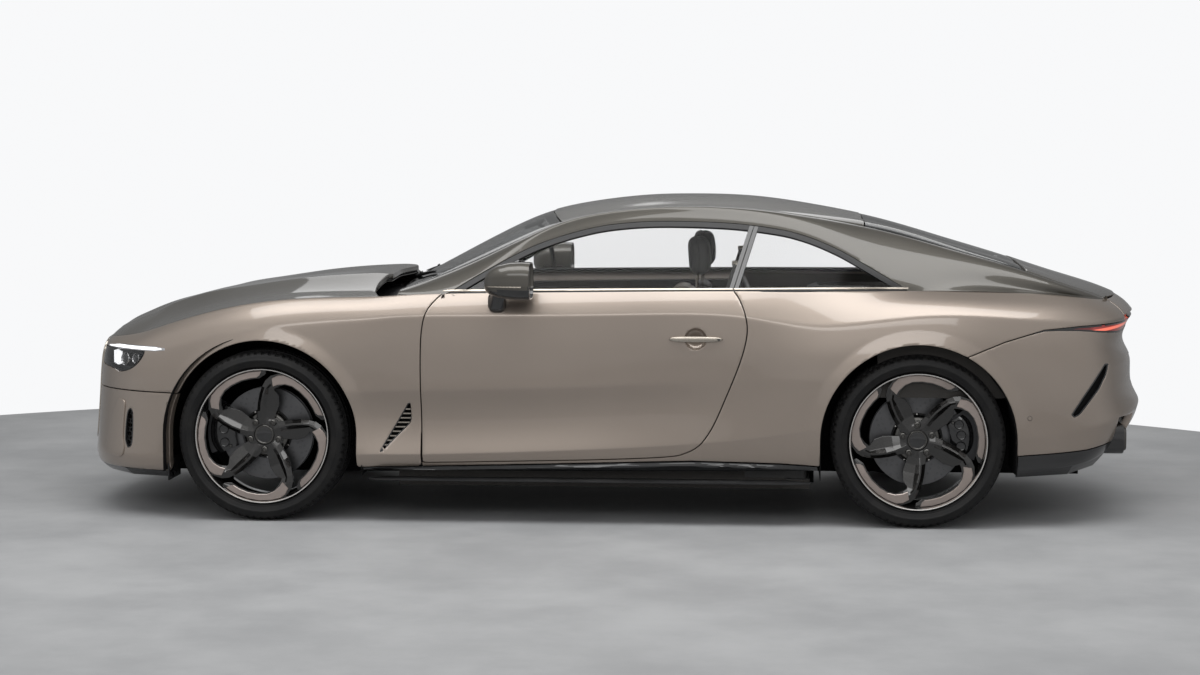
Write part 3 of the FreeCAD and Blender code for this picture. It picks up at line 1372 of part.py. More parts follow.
keep("rear_bulkhead", fused(
    "rear_bulkhead_parts",
    solid_box("rear_wall", "20", "1250", f"{SHELF_Z} - 10 - floor_bottom", f"{CABIN_END} + seat_gap", "-625", "floor_bottom"),
    solid_box("parcel_shelf", "700", "1240", "15", f"{CABIN_END} + seat_gap", "-620", f"{SHELF_Z} - 15"),
))
keep("boot_floor", solid_box(
    "boot_plate", "1290", "1263.4", "20", f"{CABIN_END} + 20 + 2 * seat_gap", "-631.7", "540.3"
))
DASH = [
    ("20 + seat_gap", "620"), ("20 + seat_gap", "858 - seat_gap"), ("60 + seat_gap", "858 - seat_gap"),
    ("60 + seat_gap", "940"), ("265", "985"), ("425", "955"), ("465", "870"), ("415", "720"), ("315", "620"),
]
keep("dashboard", padded_profile(
    "dash", [(f"{CABIN_START} + {x}", z) for x, z in DASH], "1400", "0", "0", "0"
))
keep("centre_console", solid_box("console", "1000", "220", "330", f"{FRONT_X} + 860", "-110", "floor_bottom + floor_thickness"))
SEAT = [  # distance behind the front axle, height
    (1140, 190), (1140, 440), (1240, 475), (1550, 440), (1610, 470), (1790, 1010), (1820, 1060),
    (1835, 1235), (1915, 1245), (1955, 1060), (1930, 1000), (1780, 400), (1720, 190),
]
seat = padded_profile(
    "seat", [(f"{FRONT_X} + {x}", str(z)) for x, z in SEAT], "seat_width", "0", "-seat_offset", "0"
)
pair("front_seats", seat)
BENCH = [  # distance ahead of the cabin's rear wall, height
    (380, 190), (380, 400), (340, 430), (120, 400), (30, 900), (0, 900), (0, 190),
]
keep("rear_seats", padded_profile(
    "bench", [(f"{CABIN_END} - {x}", str(z)) for x, z in BENCH], "1180", "0", "0", "0"
))

# ---------------------------------------------------------------- steering wheel and column
TILT = 25
WHEEL_CENTRE = Vector(FRONT_AXLE + 1150, -size("seat_offset"), 795)
COLUMN = Vector(math.cos(math.radians(TILT)), 0, math.sin(math.radians(TILT)))


def steering_column():
    start = WHEEL_CENTRE - COLUMN * 260
    tube = Part.makeCylinder(30, 220, start, COLUMN)
    pin = Part.makeCylinder(12, 265, start, COLUMN)
    return biggest(tube.fuse(pin).cut(NODES["dashboard"].Shape))


def steering_wheel():
    """Rim, three spokes and a hub that turns on the column's pin."""
    radius = (size("steering_wheel_diameter") - size("steering_wheel_grip")) / 2
    rim = Part.makeTorus(radius, size("steering_wheel_grip") / 2)
    hub = Part.makeCylinder(62, 44, Vector(0, 0, -39))
    body = rim.fuse(hub)
    for angle in (0, 180, 270):
        spoke = Part.makeBox(radius, 44, 12, Vector(0, -22, -14))
        spoke.rotate(Vector(), UP, angle)
        body = body.fuse(spoke)
    body = body.cut(Part.makeCylinder(12 + size("pin_clearance"), 46, Vector(0, 0, -40)))
    body.Placement = Placement(WHEEL_CENTRE, Rotation(UP, COLUMN))
    return body


doc.recompute()
feature("steering_column", steering_column())
feature("steering_wheel", steering_wheel())
doc.recompute()


# ---------------------------------------------------------------- write the files
def failed(obj):
    return {"Invalid", "Error"} & set(obj.State)


doc.recompute()
broken = [obj.Label for obj in doc.Objects if failed(obj)]
for node, obj in NODES.items():
    if obj.Shape.isNull() or not obj.Shape.isValid():
        broken.append(node)
if broken:
    raise RuntimeError(f"pieces that did not build: {sorted(set(broken))}")
os.makedirs(OUT, exist_ok=True)
for node, obj in NODES.items():
    obj.Shape.exportStep(os.path.join(OUT, node + ".step"))
    print(node, len(obj.Shape.Solids), [round(v) for v in (obj.Shape.BoundBox.XMin, obj.Shape.BoundBox.XMax,
          obj.Shape.BoundBox.YMin, obj.Shape.BoundBox.YMax, obj.Shape.BoundBox.ZMin, obj.Shape.BoundBox.ZMax)])
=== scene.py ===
"""Looks of the two-door coupe: panels, glass, lamps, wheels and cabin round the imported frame.

Metres. The car faces -X, its left side is at -Y and it stands on z = 0.
"""
import math

import bmesh
import bpy
import numpy as np
from mathutils import Matrix, Vector


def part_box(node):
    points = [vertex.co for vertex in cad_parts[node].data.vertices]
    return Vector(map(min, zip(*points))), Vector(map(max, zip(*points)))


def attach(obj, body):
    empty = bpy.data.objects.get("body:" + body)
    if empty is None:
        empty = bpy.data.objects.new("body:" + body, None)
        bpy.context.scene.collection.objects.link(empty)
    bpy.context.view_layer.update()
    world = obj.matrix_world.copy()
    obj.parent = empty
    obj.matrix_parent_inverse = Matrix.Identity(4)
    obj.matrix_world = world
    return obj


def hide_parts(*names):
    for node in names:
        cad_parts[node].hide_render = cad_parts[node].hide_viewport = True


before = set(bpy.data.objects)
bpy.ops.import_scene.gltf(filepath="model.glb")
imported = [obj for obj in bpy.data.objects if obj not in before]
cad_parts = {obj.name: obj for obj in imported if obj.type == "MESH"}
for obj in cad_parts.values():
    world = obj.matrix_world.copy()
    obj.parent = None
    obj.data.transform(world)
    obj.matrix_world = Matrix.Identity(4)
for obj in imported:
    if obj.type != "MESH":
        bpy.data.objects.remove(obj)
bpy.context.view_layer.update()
bpy.ops.object.select_all(action="DESELECT")


def middle(node):
    low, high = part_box(node)
    return (low + high) / 2


# ---------------------------------------------------------------- sizes shared by many pieces
HALF_LENGTH = 2.415
HALF = 0.983
FRONT_AXLE = middle("front_left_rim").x
REAR_AXLE = middle("rear_left_rim").x
AXLE_Z = middle("front_left_rim").z
ARCH_R = 0.420
LIP_WIDTH = 0.056
NODE_GAP = 0.0045


# ---------------------------------------------------------------- finishes
class Wire:
    """One output of a shader node; arithmetic on it adds Math nodes."""

    def __init__(self, finish, socket):
        self.finish = finish
        self.socket = socket

    def maths(self, operation, *values):
        return self.finish.node("ShaderNodeMath", {"operation": operation}, *values)

    def __add__(self, other):
        return self.maths("ADD", self, other)

    def __sub__(self, other):
        return self.maths("SUBTRACT", self, other)

    def __mul__(self, other):
        return self.maths("MULTIPLY", self, other)

    def __truediv__(self, other):
        return self.maths("DIVIDE", self, other)

    def __pow__(self, other):
        return self.maths("POWER", self, other)

    def __rsub__(self, other):
        return self.maths("SUBTRACT", other, self)

    def __gt__(self, other):
        return self.maths("GREATER_THAN", self, other)

    def __lt__(self, other):
        return self.maths("LESS_THAN", self, other)

    __radd__ = __add__
    __rmul__ = __mul__

    def within(self, low, high):
        """0 below low, 1 above high, smooth between."""
        kind = {"interpolation_type": "SMOOTHSTEP"}
        return self.finish.node("ShaderNodeMapRange", kind, self, low, high, 0.0, 1.0)

    def part(self, index):
        split = self.finish.node("ShaderNodeSeparateXYZ", {}, self)
        return Wire(self.finish, split.socket.node.outputs[index])


class Finish:
    """A material with one Principled shader, built node by node."""

    def __init__(self, name, color, rough, metal=0.0, **constants):
        self.material = bpy.data.materials.new(name)
        self.material.use_nodes = True
        self.tree = self.material.node_tree
        self.shader = self.tree.nodes["Principled BSDF"]
        self.set(Base_Color=color, Roughness=rough, Metallic=metal, **constants)
        self.material.diffuse_color = (*color[:3], 1)

    def set(self, **values):
        for name, value in values.items():
            socket = self.shader.inputs[name.replace("_", " ")]
            if isinstance(value, Wire):
                self.tree.links.new(value.socket, socket)
            elif isinstance(value, tuple) and len(value) == 3 and socket.type == "RGBA":
                socket.default_value = (*value, 1)
            else:
                socket.default_value = value
        return self

    def node(self, kind, settings, *values, out=0, **named):
        """Adds a node: its settings first, then the values or links of its sockets."""
        made = self.tree.nodes.new(kind)
        for key, value in settings.items():
            if key == "stops":
                self.fill(made.color_ramp, value)
            else:
                setattr(made, key, value)
        pairs = list(zip(made.inputs, values))
        pairs += [(made.inputs[name.replace("_", " ")], value) for name, value in named.items()]
        for socket, value in pairs:
            if isinstance(value, Wire):
                self.tree.links.new(value.socket, socket)
            elif value is not None:
                if isinstance(value, tuple) and socket.type == "RGBA" and len(value) == 3:
                    value = (*value, 1)
                socket.default_value = value
        return Wire(self, made.outputs[out])

    def fill(self, ramp, stops):
        while len(ramp.elements) < len(stops):
            ramp.elements.new(1.0)
        for element, (place, color) in zip(ramp.elements, stops):
            element.position = place
            element.color = (*color, 1) if len(color) == 3 else color

    def place(self):
        """Position on the piece, in metres."""
        return self.node("ShaderNodeTexCoord", {}, out=3)

    def stretched(self, scale):
        return self.node("ShaderNodeMapping", {}, self.place(), Scale=scale)

    def noise(self, scale, detail=3.0, rough=0.5, vector=None):
        vector = vector or self.place()
        return self.node(
            "ShaderNodeTexNoise", {}, Vector=vector, Scale=scale, Detail=detail, Roughness=rough,
        )

    def cells(self, scale, out=0, **settings):
        return self.node("ShaderNodeTexVoronoi", settings, Vector=self.place(), Scale=scale, out=out)

    def mix(self, share, first, second):
        """Mix of two colours."""
        made = self.tree.nodes.new("ShaderNodeMix")
        made.data_type = "RGBA"
        for index, value in ((0, share), (6, first), (7, second)):
            if isinstance(value, Wire):
                self.tree.links.new(value.socket, made.inputs[index])
            elif index:
                made.inputs[index].default_value = (*value[:3], 1)
            else:
                made.inputs[index].default_value = value
        return Wire(self, made.outputs[2])

    def bump(self, height, depth, strength=1.0):
        return self.node("ShaderNodeBump", {}, Strength=strength, Distance=depth, Height=height)


def metallic_paint(name, color, edge, rough=0.34, metal=0.72):
    """Fine metallic paint under clear lacquer."""
    finish = Finish(name, color, rough, metal, Coat_Weight=1.0, Coat_Roughness=0.05, Coat_IOR=1.5)
    flakes = finish.cells(2600.0, out=1)
    sparkle = flakes.part(0)
    drift = finish.noise(1.6, 2.0)
    base = finish.mix(drift.within(0.3, 0.7), color, edge)
    finish.set(
        Base_Color=finish.mix(sparkle * 0.16, base, tuple(min(1.0, c * 1.9) for c in color)),
        Roughness=sparkle * 0.12 + (rough - 0.05) + finish.noise(9.0) * 0.02,
        Normal=finish.bump(finish.noise(420.0, 1.0), 0.00002, 0.25),
    )
    return finish


def gloss_plastic(name, color):
    rough = 0.08
    finish = Finish(name, color, rough, Coat_Weight=0.6, Coat_Roughness=0.04)
    smudge = finish.noise(5.0, 4.0)
    return finish.set(
        Roughness=smudge * 0.08 + rough,
        Base_Color=finish.mix(finish.noise(30.0), color, tuple(c * 1.35 + 0.002 for c in color)),
        Normal=finish.bump(finish.noise(260.0, 1.0), 0.00004, 0.3),
    )


def grained_plastic(name, color, rough=0.55, scale=900.0, depth=0.00025, shine=0.4):
    finish = Finish(name, color, rough, Specular_IOR_Level=shine)
    grain = finish.cells(scale)
    cloud = finish.noise(7.0, 4.0)
    return finish.set(
        Base_Color=finish.mix(cloud.within(0.35, 0.75), color, tuple(c * 1.4 + 0.003 for c in color)),
        Roughness=cloud * 0.16 + (rough - 0.08),
        Normal=finish.bump(grain + finish.noise(scale / 4) * 0.6, depth, 0.6),
    )


def brushed_metal(name, color, rough=0.28, metal=1.0):
    finish = Finish(name, color, rough, metal)
    lines = finish.noise(1.0, 4.0, 0.6, finish.stretched((40.0, 1200.0, 1200.0)))
    cloud = finish.noise(14.0, 3.0)
    return finish.set(
        Base_Color=finish.mix(cloud, tuple(c * 0.86 for c in color), tuple(min(1, c * 1.1) for c in color)),
        Roughness=lines * 0.16 + cloud * 0.05 + (rough - 0.09),
        Normal=finish.bump(lines, 0.00003, 0.4),
    )


def window_glass(name, tint, clear):
    """Glass that shows the cabin: tint and how much passes straight through."""
    finish = Finish(name, tint, 0.02, Specular_IOR_Level=0.9, Coat_Weight=0.5, Coat_Roughness=0.01)
    facing = finish.node("ShaderNodeLayerWeight", {}, Blend=0.28, out=1)
    haze = finish.noise(2.2, 3.0)
    finish.set(
        Alpha=facing.within(0.0, 1.0) * clear + (1 - clear),
        Roughness=haze * 0.012 + 0.004,
        Base_Color=finish.mix(haze.within(0.3, 0.8), tint, tuple(c * 1.3 for c in tint)),
    )
    return finish


def leather(name, color, scale=520.0):
    finish = Finish(name, color, 0.5, Sheen_Weight=0.15)
    grain = finish.cells(scale, feature="DISTANCE_TO_EDGE")
    pores = finish.noise(scale * 1.8, 2.0)
    cloud = finish.noise(11.0, 4.0)
    return finish.set(
        Base_Color=finish.mix(cloud.within(0.3, 0.8), tuple(c * 0.84 for c in color), color),
        Roughness=cloud * 0.18 + pores * 0.08 + 0.36,
        Normal=finish.bump(grain.within(0.0, 0.16) + pores * 0.2, 0.0003, 0.55),
    )


def woven(name, color, scale=900.0):
    finish = Finish(name, color, 0.92, Sheen_Weight=0.3)
    pile = finish.noise(scale, 4.0, 0.7)
    cloud = finish.noise(14.0, 3.0)
    return finish.set(
        Base_Color=finish.mix(
            pile * 0.7 + cloud * 0.3, tuple(c * 0.55 for c in color), tuple(c * 1.35 for c in color),
        ),
        Roughness=pile * 0.1 + 0.85,
        Normal=finish.bump(pile, 0.0015, 0.8),
    )


def tyre_rubber(name, color):
    finish = Finish(name, color, 0.72, Specular_IOR_Level=0.25)
    cloud = finish.noise(16.0, 4.0)
    fine = finish.noise(700.0, 2.0)
    return finish.set(
        Base_Color=finish.mix(cloud.within(0.35, 0.75), color, (0.012, 0.0115, 0.011)),
        Roughness=cloud * 0.2 + fine * 0.08 + 0.46,
        Normal=finish.bump(fine, 0.0002, 0.5),
    )


def glowing(name, color, strength):
    finish = Finish(name, color, 0.25, Emission_Strength=strength, Coat_Weight=0.6)
    lines = finish.noise(60.0, 2.0)
    return finish.set(
        Emission_Color=finish.mix(lines, color, tuple(min(1.0, c * 1.15) for c in color)),
        Base_Color=finish.mix(lines, color, tuple(c * 0.8 for c in color)),
        Roughness=lines * 0.1 + 0.2,
    )


BODY_PAINT = metallic_paint("champagne_metallic", (0.285, 0.238, 0.200), (0.262, 0.218, 0.183))
DARK_PAINT = metallic_paint("dark_bronze_gloss", (0.060, 0.054, 0.043), (0.050, 0.045, 0.036), 0.42, 0.5)
GLOSS_BLACK = gloss_plastic("gloss_black", (0.0055, 0.0055, 0.006))
SATIN_BLACK = grained_plastic("satin_black", (0.012, 0.012, 0.0125), 0.42, 1500.0, 0.0001)
LINER = grained_plastic("liner_black", (0.0035, 0.0035, 0.0036), 0.85, 500.0, 0.0006, 0.15)
TRIM_METAL = brushed_metal("satin_trim_metal", (0.42, 0.38, 0.33), 0.24)
DARK_METAL = brushed_metal("dark_trim_metal", (0.10, 0.097, 0.092), 0.22)
WINDOW = window_glass("tinted_glass", (0.010, 0.011, 0.010), 0.93)
SCREEN = window_glass("screen_glass", (0.014, 0.016, 0.015), 0.88)
STEEL = brushed_metal("underbody_steel", (0.055, 0.055, 0.058), 0.5, metal=0.4)
IRON = brushed_metal("brake_iron", (0.115, 0.115, 0.118), 0.36)
RUBBER = tyre_rubber("tyre_rubber", (0.0055, 0.0055, 0.0058))
SEAL = grained_plastic("seal_rubber", (0.006, 0.006, 0.0062), 0.6, 900.0)
CREAM = leather("cream_leather", (0.60, 0.52, 0.41))
BLACK_LEATHER = leather("black_leather", (0.018, 0.017, 0.0165))
CARPET = woven("dark_carpet", (0.030, 0.027, 0.024))
RIM_PAINT = metallic_paint("rim_gunmetal", (0.024, 0.023, 0.022), (0.019, 0.018, 0.017), 0.22, 0.8)
PAD_PAINT = metallic_paint("rim_pad_satin", (0.30, 0.25, 0.225), (0.27, 0.225, 0.20), 0.33, 0.75)
BRIGHT_EDGE = brushed_metal("machined_edge", (0.62, 0.60, 0.58), 0.16)


# ---------------------------------------------------------------- body surfaces
# Side stations, from the nose round the left side to the tail. "along" is 0 at the nose, 1 at the
# front axle, 2 at the rear axle and 3 at the tail; "out" is the share of the half width.
# Then nine levels, each (inset from the plan curve, height), in millimetres.
SIDE_STATIONS = [
    # along, out, under, sill, crease, hollow, waist, flank, shoulder, roll, edge
    (
        0.000, 0.000, (70, 165), (10, 200), (0, 255), (12, 380), (22, 520), (28, 620), (36, 690), (46, 735),
        (70, 768),
    ),
    (
        0.024, 0.345, (70, 165), (10, 200), (0, 255), (12, 380), (22, 520), (28, 620), (36, 690), (46, 735),
        (70, 768),
    ),
    (
        0.109, 0.620, (70, 166), (10, 202), (0, 257), (12, 380), (22, 520), (28, 620), (36, 692), (50, 742),
        (82, 780),
    ),
    (
        0.276, 0.805, (70, 170), (12, 205), (0, 262), (10, 380), (18, 520), (24, 620), (36, 705), (60, 765),
        (112, 806),
    ),
    (
        0.530, 0.920, (80, 175), (14, 215), (4, 270), (6, 380), (10, 520), (12, 650), (28, 752), (62, 822),
        (112, 866),
    ),
    (
        1.000, 0.984, (80, 185), (15, 225), (4, 285), (2, 400), (2, 560), (4, 720), (20, 850), (50, 915),
        (98, 960),
    ),
    (
        1.163, 0.980, (85, 200), (20, 245), (2, 300), (30, 460), (5, 574), (2, 765), (10, 892), (38, 948),
        (78, 984),
    ),
    (
        1.255, 0.975, (85, 200), (26, 248), (4, 302), (35, 462), (3, 582), (2, 772), (8, 908), (34, 958),
        (66, 998),
    ),
    (
        1.500, 0.970, (85, 200), (28, 250), (6, 328), (31, 485), (4, 602), (1, 778), (6, 914), (30, 966),
        (60, 1010),
    ),
    (
        1.718, 0.970, (85, 205), (30, 255), (10, 372), (14, 520), (6, 634), (2, 780), (8, 914), (32, 968),
        (62, 1016),
    ),
    (
        1.851, 0.985, (85, 205), (26, 262), (8, 425), (4, 520), (0, 640), (4, 752), (22, 868), (64, 944),
        (110, 1014),
    ),
    (
        2.000, 1.000, (85, 205), (20, 262), (6, 440), (0, 540), (0, 650), (4, 800), (24, 914), (76, 975),
        (150, 1018),
    ),
    (
        2.403, 0.967, (80, 215), (20, 262), (4, 400), (0, 540), (2, 680), (8, 810), (28, 908), (84, 966),
        (168, 1010),
    ),
    (
        2.697, 0.866, (90, 225), (18, 290), (2, 430), (2, 560), (10, 700), (22, 808), (32, 888), (74, 942),
        (146, 990),
    ),
    (
        2.877, 0.652, (140, 252), (26, 362), (0, 475), (26, 565), (32, 685), (66, 788), (30, 890),
        (62, 934), (120, 970),
    ),
    (
        2.967, 0.338, (180, 262), (30, 388), (0, 490), (42, 570), (42, 690), (92, 786), (32, 894),
        (66, 938), (120, 970),
    ),
    (
        3.000, 0.000, (180, 262), (30, 390), (0, 492), (42, 570), (42, 690), (92, 786), (32, 894),
        (66, 938), (120, 970),
    ),
]
# How soft the sharpened levels are at each station: 0 is a knife edge, 0.33 is smooth.
SOFTNESS = {
    2: (0.33, 0.33, 0.33, 0.3, 0.2, 0.08, 0.05, 0.05, 0.05, 0.05, 0.05, 0.08, 0.2, 0.2, 0.2, 0.2, 0.2),
    4: (
        0.33, 0.33, 0.33, 0.33, 0.33, 0.33, 0.16, 0.12, 0.12, 0.2, 0.33, 0.33, 0.33, 0.33, 0.33, 0.33, 0.33,
    ),
    6: (0.3, 0.3, 0.3, 0.3, 0.3, 0.26, 0.2, 0.16, 0.15, 0.15, 0.2, 0.24, 0.26, 0.2, 0.12, 0.1, 0.1),
}
# Upper stations, from the windscreen's foot to the tail: "along" at the side and on the centre line,
# then the height of the centre line and (distance from the centre line, height) at four levels.
UPPER_STATIONS = [
    # side, centre, centre z, base, belt, window top, rail
    (1.207, 1.177, 1000, (905, 950), (892, 984), (868, 996), (800, 1012)),
    (1.303, 1.258, 1123, (912, 960), (893, 1001), (872, 1018), (735, 1112)),
    (1.395, 1.360, 1274, (912, 965), (894, 1005), (776, 1172), (703, 1236)),
    (1.472, 1.447, 1362, (912, 965), (894, 1007), (719, 1257), (667, 1322)),
    (1.553, 1.553, 1407, (912, 965), (893, 1009), (692, 1298), (640, 1358)),
    (1.640, 1.640, 1418, (912, 965), (892, 1011), (682, 1310), (623, 1373)),
    (1.745, 1.745, 1409, (910, 965), (889, 1015), (692, 1295), (620, 1364)),
    (1.851, 1.851, 1367, (890, 970), (860, 1018), (733, 1228), (625, 1325)),
    (1.956, 1.956, 1304, (870, 970), (838, 1018), (806, 1092), (638, 1266)),
    (2.165, 2.165, 1217, (850, 970), (820, 1017), (776, 1066), (662, 1184)),
    (2.402, 2.402, 1142, (815, 960), (784, 1008), (748, 1036), (682, 1112)),
    (2.592, 2.606, 1072, (762, 955), (738, 993), (722, 1003), (690, 1045)),
    (2.711, 2.787, 1014, (692, 945), (670, 978), (655, 984), (620, 1004)),
    (2.787, 2.887, 974, (590, 935), (566, 969), (556, 970), (540, 972)),
]
UPPER_COLUMNS = (0.62, 0.31)
BONNET_CENTRE = [  # along, height of the bonnet's centre line in millimetres
    (0.062, 768), (0.120, 800), (0.200, 846), (0.379, 917), (0.562, 962), (0.771, 994),
    (0.980, 1020), (1.061, 1042), (1.128, 1060), (1.174, 1069),
]


def along(place):
    """X of a place along the car: 0 nose, 1 front axle, 2 rear axle, 3 tail."""
    return float(np.interp(place, (0, 1, 2, 3), (-HALF_LENGTH, FRONT_AXLE, REAR_AXLE, HALF_LENGTH)))


def mirrored(points):
    return points * np.array((1, -1, 1))


def extended(row, mirror_first, mirror_last):
    first = mirrored(row[1]) if mirror_first else row[0] * 2 - row[1]
    last = mirrored(row[-2]) if mirror_last else row[-1] * 2 - row[-2]
    return np.concatenate(([first], row, [last]))


def through(row, mirror_first, mirror_last):
    """Control points of the curve that passes through a row of points."""
    control = row.copy()
    for _ in range(40):
        wide = extended(control, mirror_first, mirror_last)
        control = control + row - (wide[:-2] + wide[1:-1] * 4 + wide[2:]) / 6
    return control


def weights(t):
    return np.stack(
        ((1 - t) ** 3, 3 * t ** 3 - 6 * t ** 2 + 4, -3 * t ** 3 + 3 * t ** 2 + 3 * t + 1, t ** 3)
    ) / 6


class Surface:
    """Smooth surface over a net of control points: u goes along the rows, v across them."""

    def __init__(self, net, mirror_ends=False, mirror_top=False):
        wide = np.stack([extended(net[:, j], mirror_ends, mirror_ends) for j in range(net.shape[1])], 1)
        self.rows = np.stack([extended(row, False, mirror_top) for row in wide])
        self.u_max, self.v_max = net.shape[0] - 1, net.shape[1] - 1

    def at(self, u, v):
        u, v = np.broadcast_arrays(np.asarray(u, float), np.asarray(v, float))
        i = np.clip(u.astype(int), 0, self.u_max - 1)
        j = np.clip(v.astype(int), 0, self.v_max - 1)
        wu, wv = weights(u - i), weights(v - j)
        point = np.zeros(u.shape + (3,))
        for a in range(4):
            for b in range(4):
                point += self.rows[i + a, j + b] * (wu[a] * wv[b])[..., None]
        return point

    def normal(self, u, v, step=0.02):
        du = self.at(u + step, v) - self.at(u - step, v)
        dv = self.at(u, v + step) - self.at(u, v - step)
        n = np.cross(du, dv)
        return n / np.maximum(np.linalg.norm(n, axis=-1, keepdims=True), 1e-12)

    def lines(self, axis, low, high, cell, across):
        """Parameter values between low and high, about a cell apart, whole numbers among them."""
        marks = sorted({low, high, *[k for k in range(math.ceil(low), int(high) + 1)]})
        values = []
        for start, end in zip(marks, marks[1:]):
            t = np.linspace(start, end, 9)
            run = 0.0
            for other in across:
                p = self.at(t, other) if axis == 0 else self.at(other, t)
                run = max(run, float(np.linalg.norm(np.diff(p, axis=0), axis=1).sum()))
            values += list(np.linspace(start, end, max(1, math.ceil(run / cell)) + 1)[:-1])
        return np.array(values + [high])


def side_net():
    net = []
    for index, (place, out, *levels) in enumerate(SIDE_STATIONS):
        before, after = SIDE_STATIONS[max(index - 1, 0)], SIDE_STATIONS[min(index + 1, 16)]
        run = np.array((along(after[0]) - along(before[0]), HALF * (before[1] - after[1])))
        outward = np.array((run[1], -run[0])) / np.linalg.norm(run)
        if index in (0, 16):
            outward = np.array((-1.0 if index == 0 else 1.0, 0.0))
        foot = np.array((along(place), -HALF * out))
        row = [np.array((*(foot - outward * inset / 1000), z / 1000)) for inset, z in levels]
        full = []
        for level, point in enumerate(row):
            if level in SOFTNESS:
                soft = SOFTNESS[level][index]
                full.append(point + (row[level - 1] - point) * soft)
                full.append(point)
                full.append(point + (row[level + 1] - point) * soft)
            else:
                full.append(point)
        net.append(full)
    net = np.array(net)
    return np.stack([through(net[:, j], True, True) for j in range(net.shape[1])], 1)


def upper_net():
    net = []
    for place, centre, top, *levels in UPPER_STATIONS:
        row = [np.array((along(place), -y / 1000, z / 1000)) for y, z in levels]
        rail = row[-1]
        for share in UPPER_COLUMNS:
            bow = 1 - share ** 2
            row.append(np.array((
                along(place) + (along(centre) - along(place)) * bow, rail[1] * share,
                rail[2] + (top / 1000 - rail[2]) * bow,
            )))
        row.append(np.array((along(centre), 0, top / 1000)))
        net.append(through(np.array(row), False, True))
    net = np.array(net)
    return np.stack([through(net[:, j], False, False) for j in range(net.shape[1])], 1)


side = Surface(side_net(), mirror_ends=True)
upper = Surface(upper_net(), mirror_top=True)
SIDE_TOP = side.v_max


# ---------------------------------------------------------------- outlines seen from the side
def distance_to(outline):
    """Signed distance from a closed outline, positive inside it."""
    a = np.array(outline)
    b = np.roll(a, -1, axis=0)

    def measure(x, z):
        p = np.stack((x, z), -1)[..., None, :]
        edge = b - a
        t = np.clip(((p - a) * edge).sum(-1) / np.maximum((edge ** 2).sum(-1), 1e-12), 0, 1)
        gap = np.linalg.norm(p - a - edge * t[..., None], axis=-1).min(-1)
        crosses = ((a[:, 1] > p[..., 1]) != (b[:, 1] > p[..., 1]))
        slope = np.where(edge[:, 1] == 0, 1e-12, edge[:, 1])
        left = p[..., 0] < a[:, 0] + edge[:, 0] * (p[..., 1] - a[:, 1]) / slope
        inside = (crosses & left).sum(-1) % 2 == 1
        return np.where(inside, gap, -gap)

    return measure


def smooth_line(points, steps=6):
    """Open line of points, rounded by a cubic through them."""
    p = np.array(points, float)
    wide = np.concatenate(([p[0] * 2 - p[1]], p, [p[-1] * 2 - p[-2]]))
    made = []
    for i in range(len(p) - 1):
        a, b, c, d = wide[i:i + 4]
        for t in np.arange(steps) / steps:
            made.append(
                0.5 * (
                    2 * b + (c - a) * t + (
                        2 * a - 5 * b + 4 * c - d
                    ) * t * t + (3 * b - a - 3 * c + d) * t ** 3
                )
            )
    made.append(p[-1])
    return [tuple(q) for q in made]


def arch(x, z, axle_x):
    """Distance outside a wheel arch."""
    round_part = np.hypot(x - axle_x, z - AXLE_Z)
    return np.where(z > AXLE_Z, round_part, np.abs(x - axle_x)) - ARCH_R


DOOR_EDGE = smooth_line([
    (-0.600, 1.060), (-0.681, 1.012), (-0.731, 0.968), (-0.766, 0.915), (-0.783, 0.835), (-0.788, 0.713),
    (-0.787, 0.522), (-0.785, 0.385), (-0.783, 0.268),
]) + smooth_line([
    (-0.779, 0.263), (-0.424, 0.272), (-0.016, 0.283), (0.280, 0.298), (0.363, 0.316), (0.416, 0.345),
    (0.452, 0.386), (0.490, 0.451),
    (0.537, 0.560), (0.582, 0.671), (0.613, 0.765), (0.627, 0.846), (0.619, 0.913), (0.594, 0.978),
    (0.566, 1.020), (0.540, 1.070),
])
in_door = distance_to(DOOR_EDGE)


def skirt_line(x):
    """Height of the body colour's lower edge between the wheels."""
    return np.interp(x, (-1.05, -0.78, -0.22, 0.39, 0.77, 0.95), (0.240, 0.246, 0.262, 0.280, 0.272, 0.262))


def bumper_split(x):
    """Height of the joint between rear wing and rear bumper."""
    return np.interp(
        x, (1.50, 1.566, 1.725, 1.891, 2.05, 2.20, 2.30), (0.715, 0.744, 0.808, 0.856, 0.868, 0.872, 0.876),
    )


def side_detail(points, normals):
    """Raised bands round the wheel arches."""
    x, z = points[..., 0], points[..., 2]
    rise = np.zeros(x.shape)
    for axle_x in (FRONT_AXLE, REAR_AXLE):
        reach = arch(x, z, axle_x)
        rise += 0.0075 * np.clip(
            1 - np.clip(reach, 0, None) / LIP_WIDTH, 0, 1,
        ) * np.clip((z - 0.20) / 0.12, 0, 1)
    return points + normals * rise[..., None]


def on_side(u, v):
    points = side.at(u, v)
    return side_detail(points, side.normal(u, v))


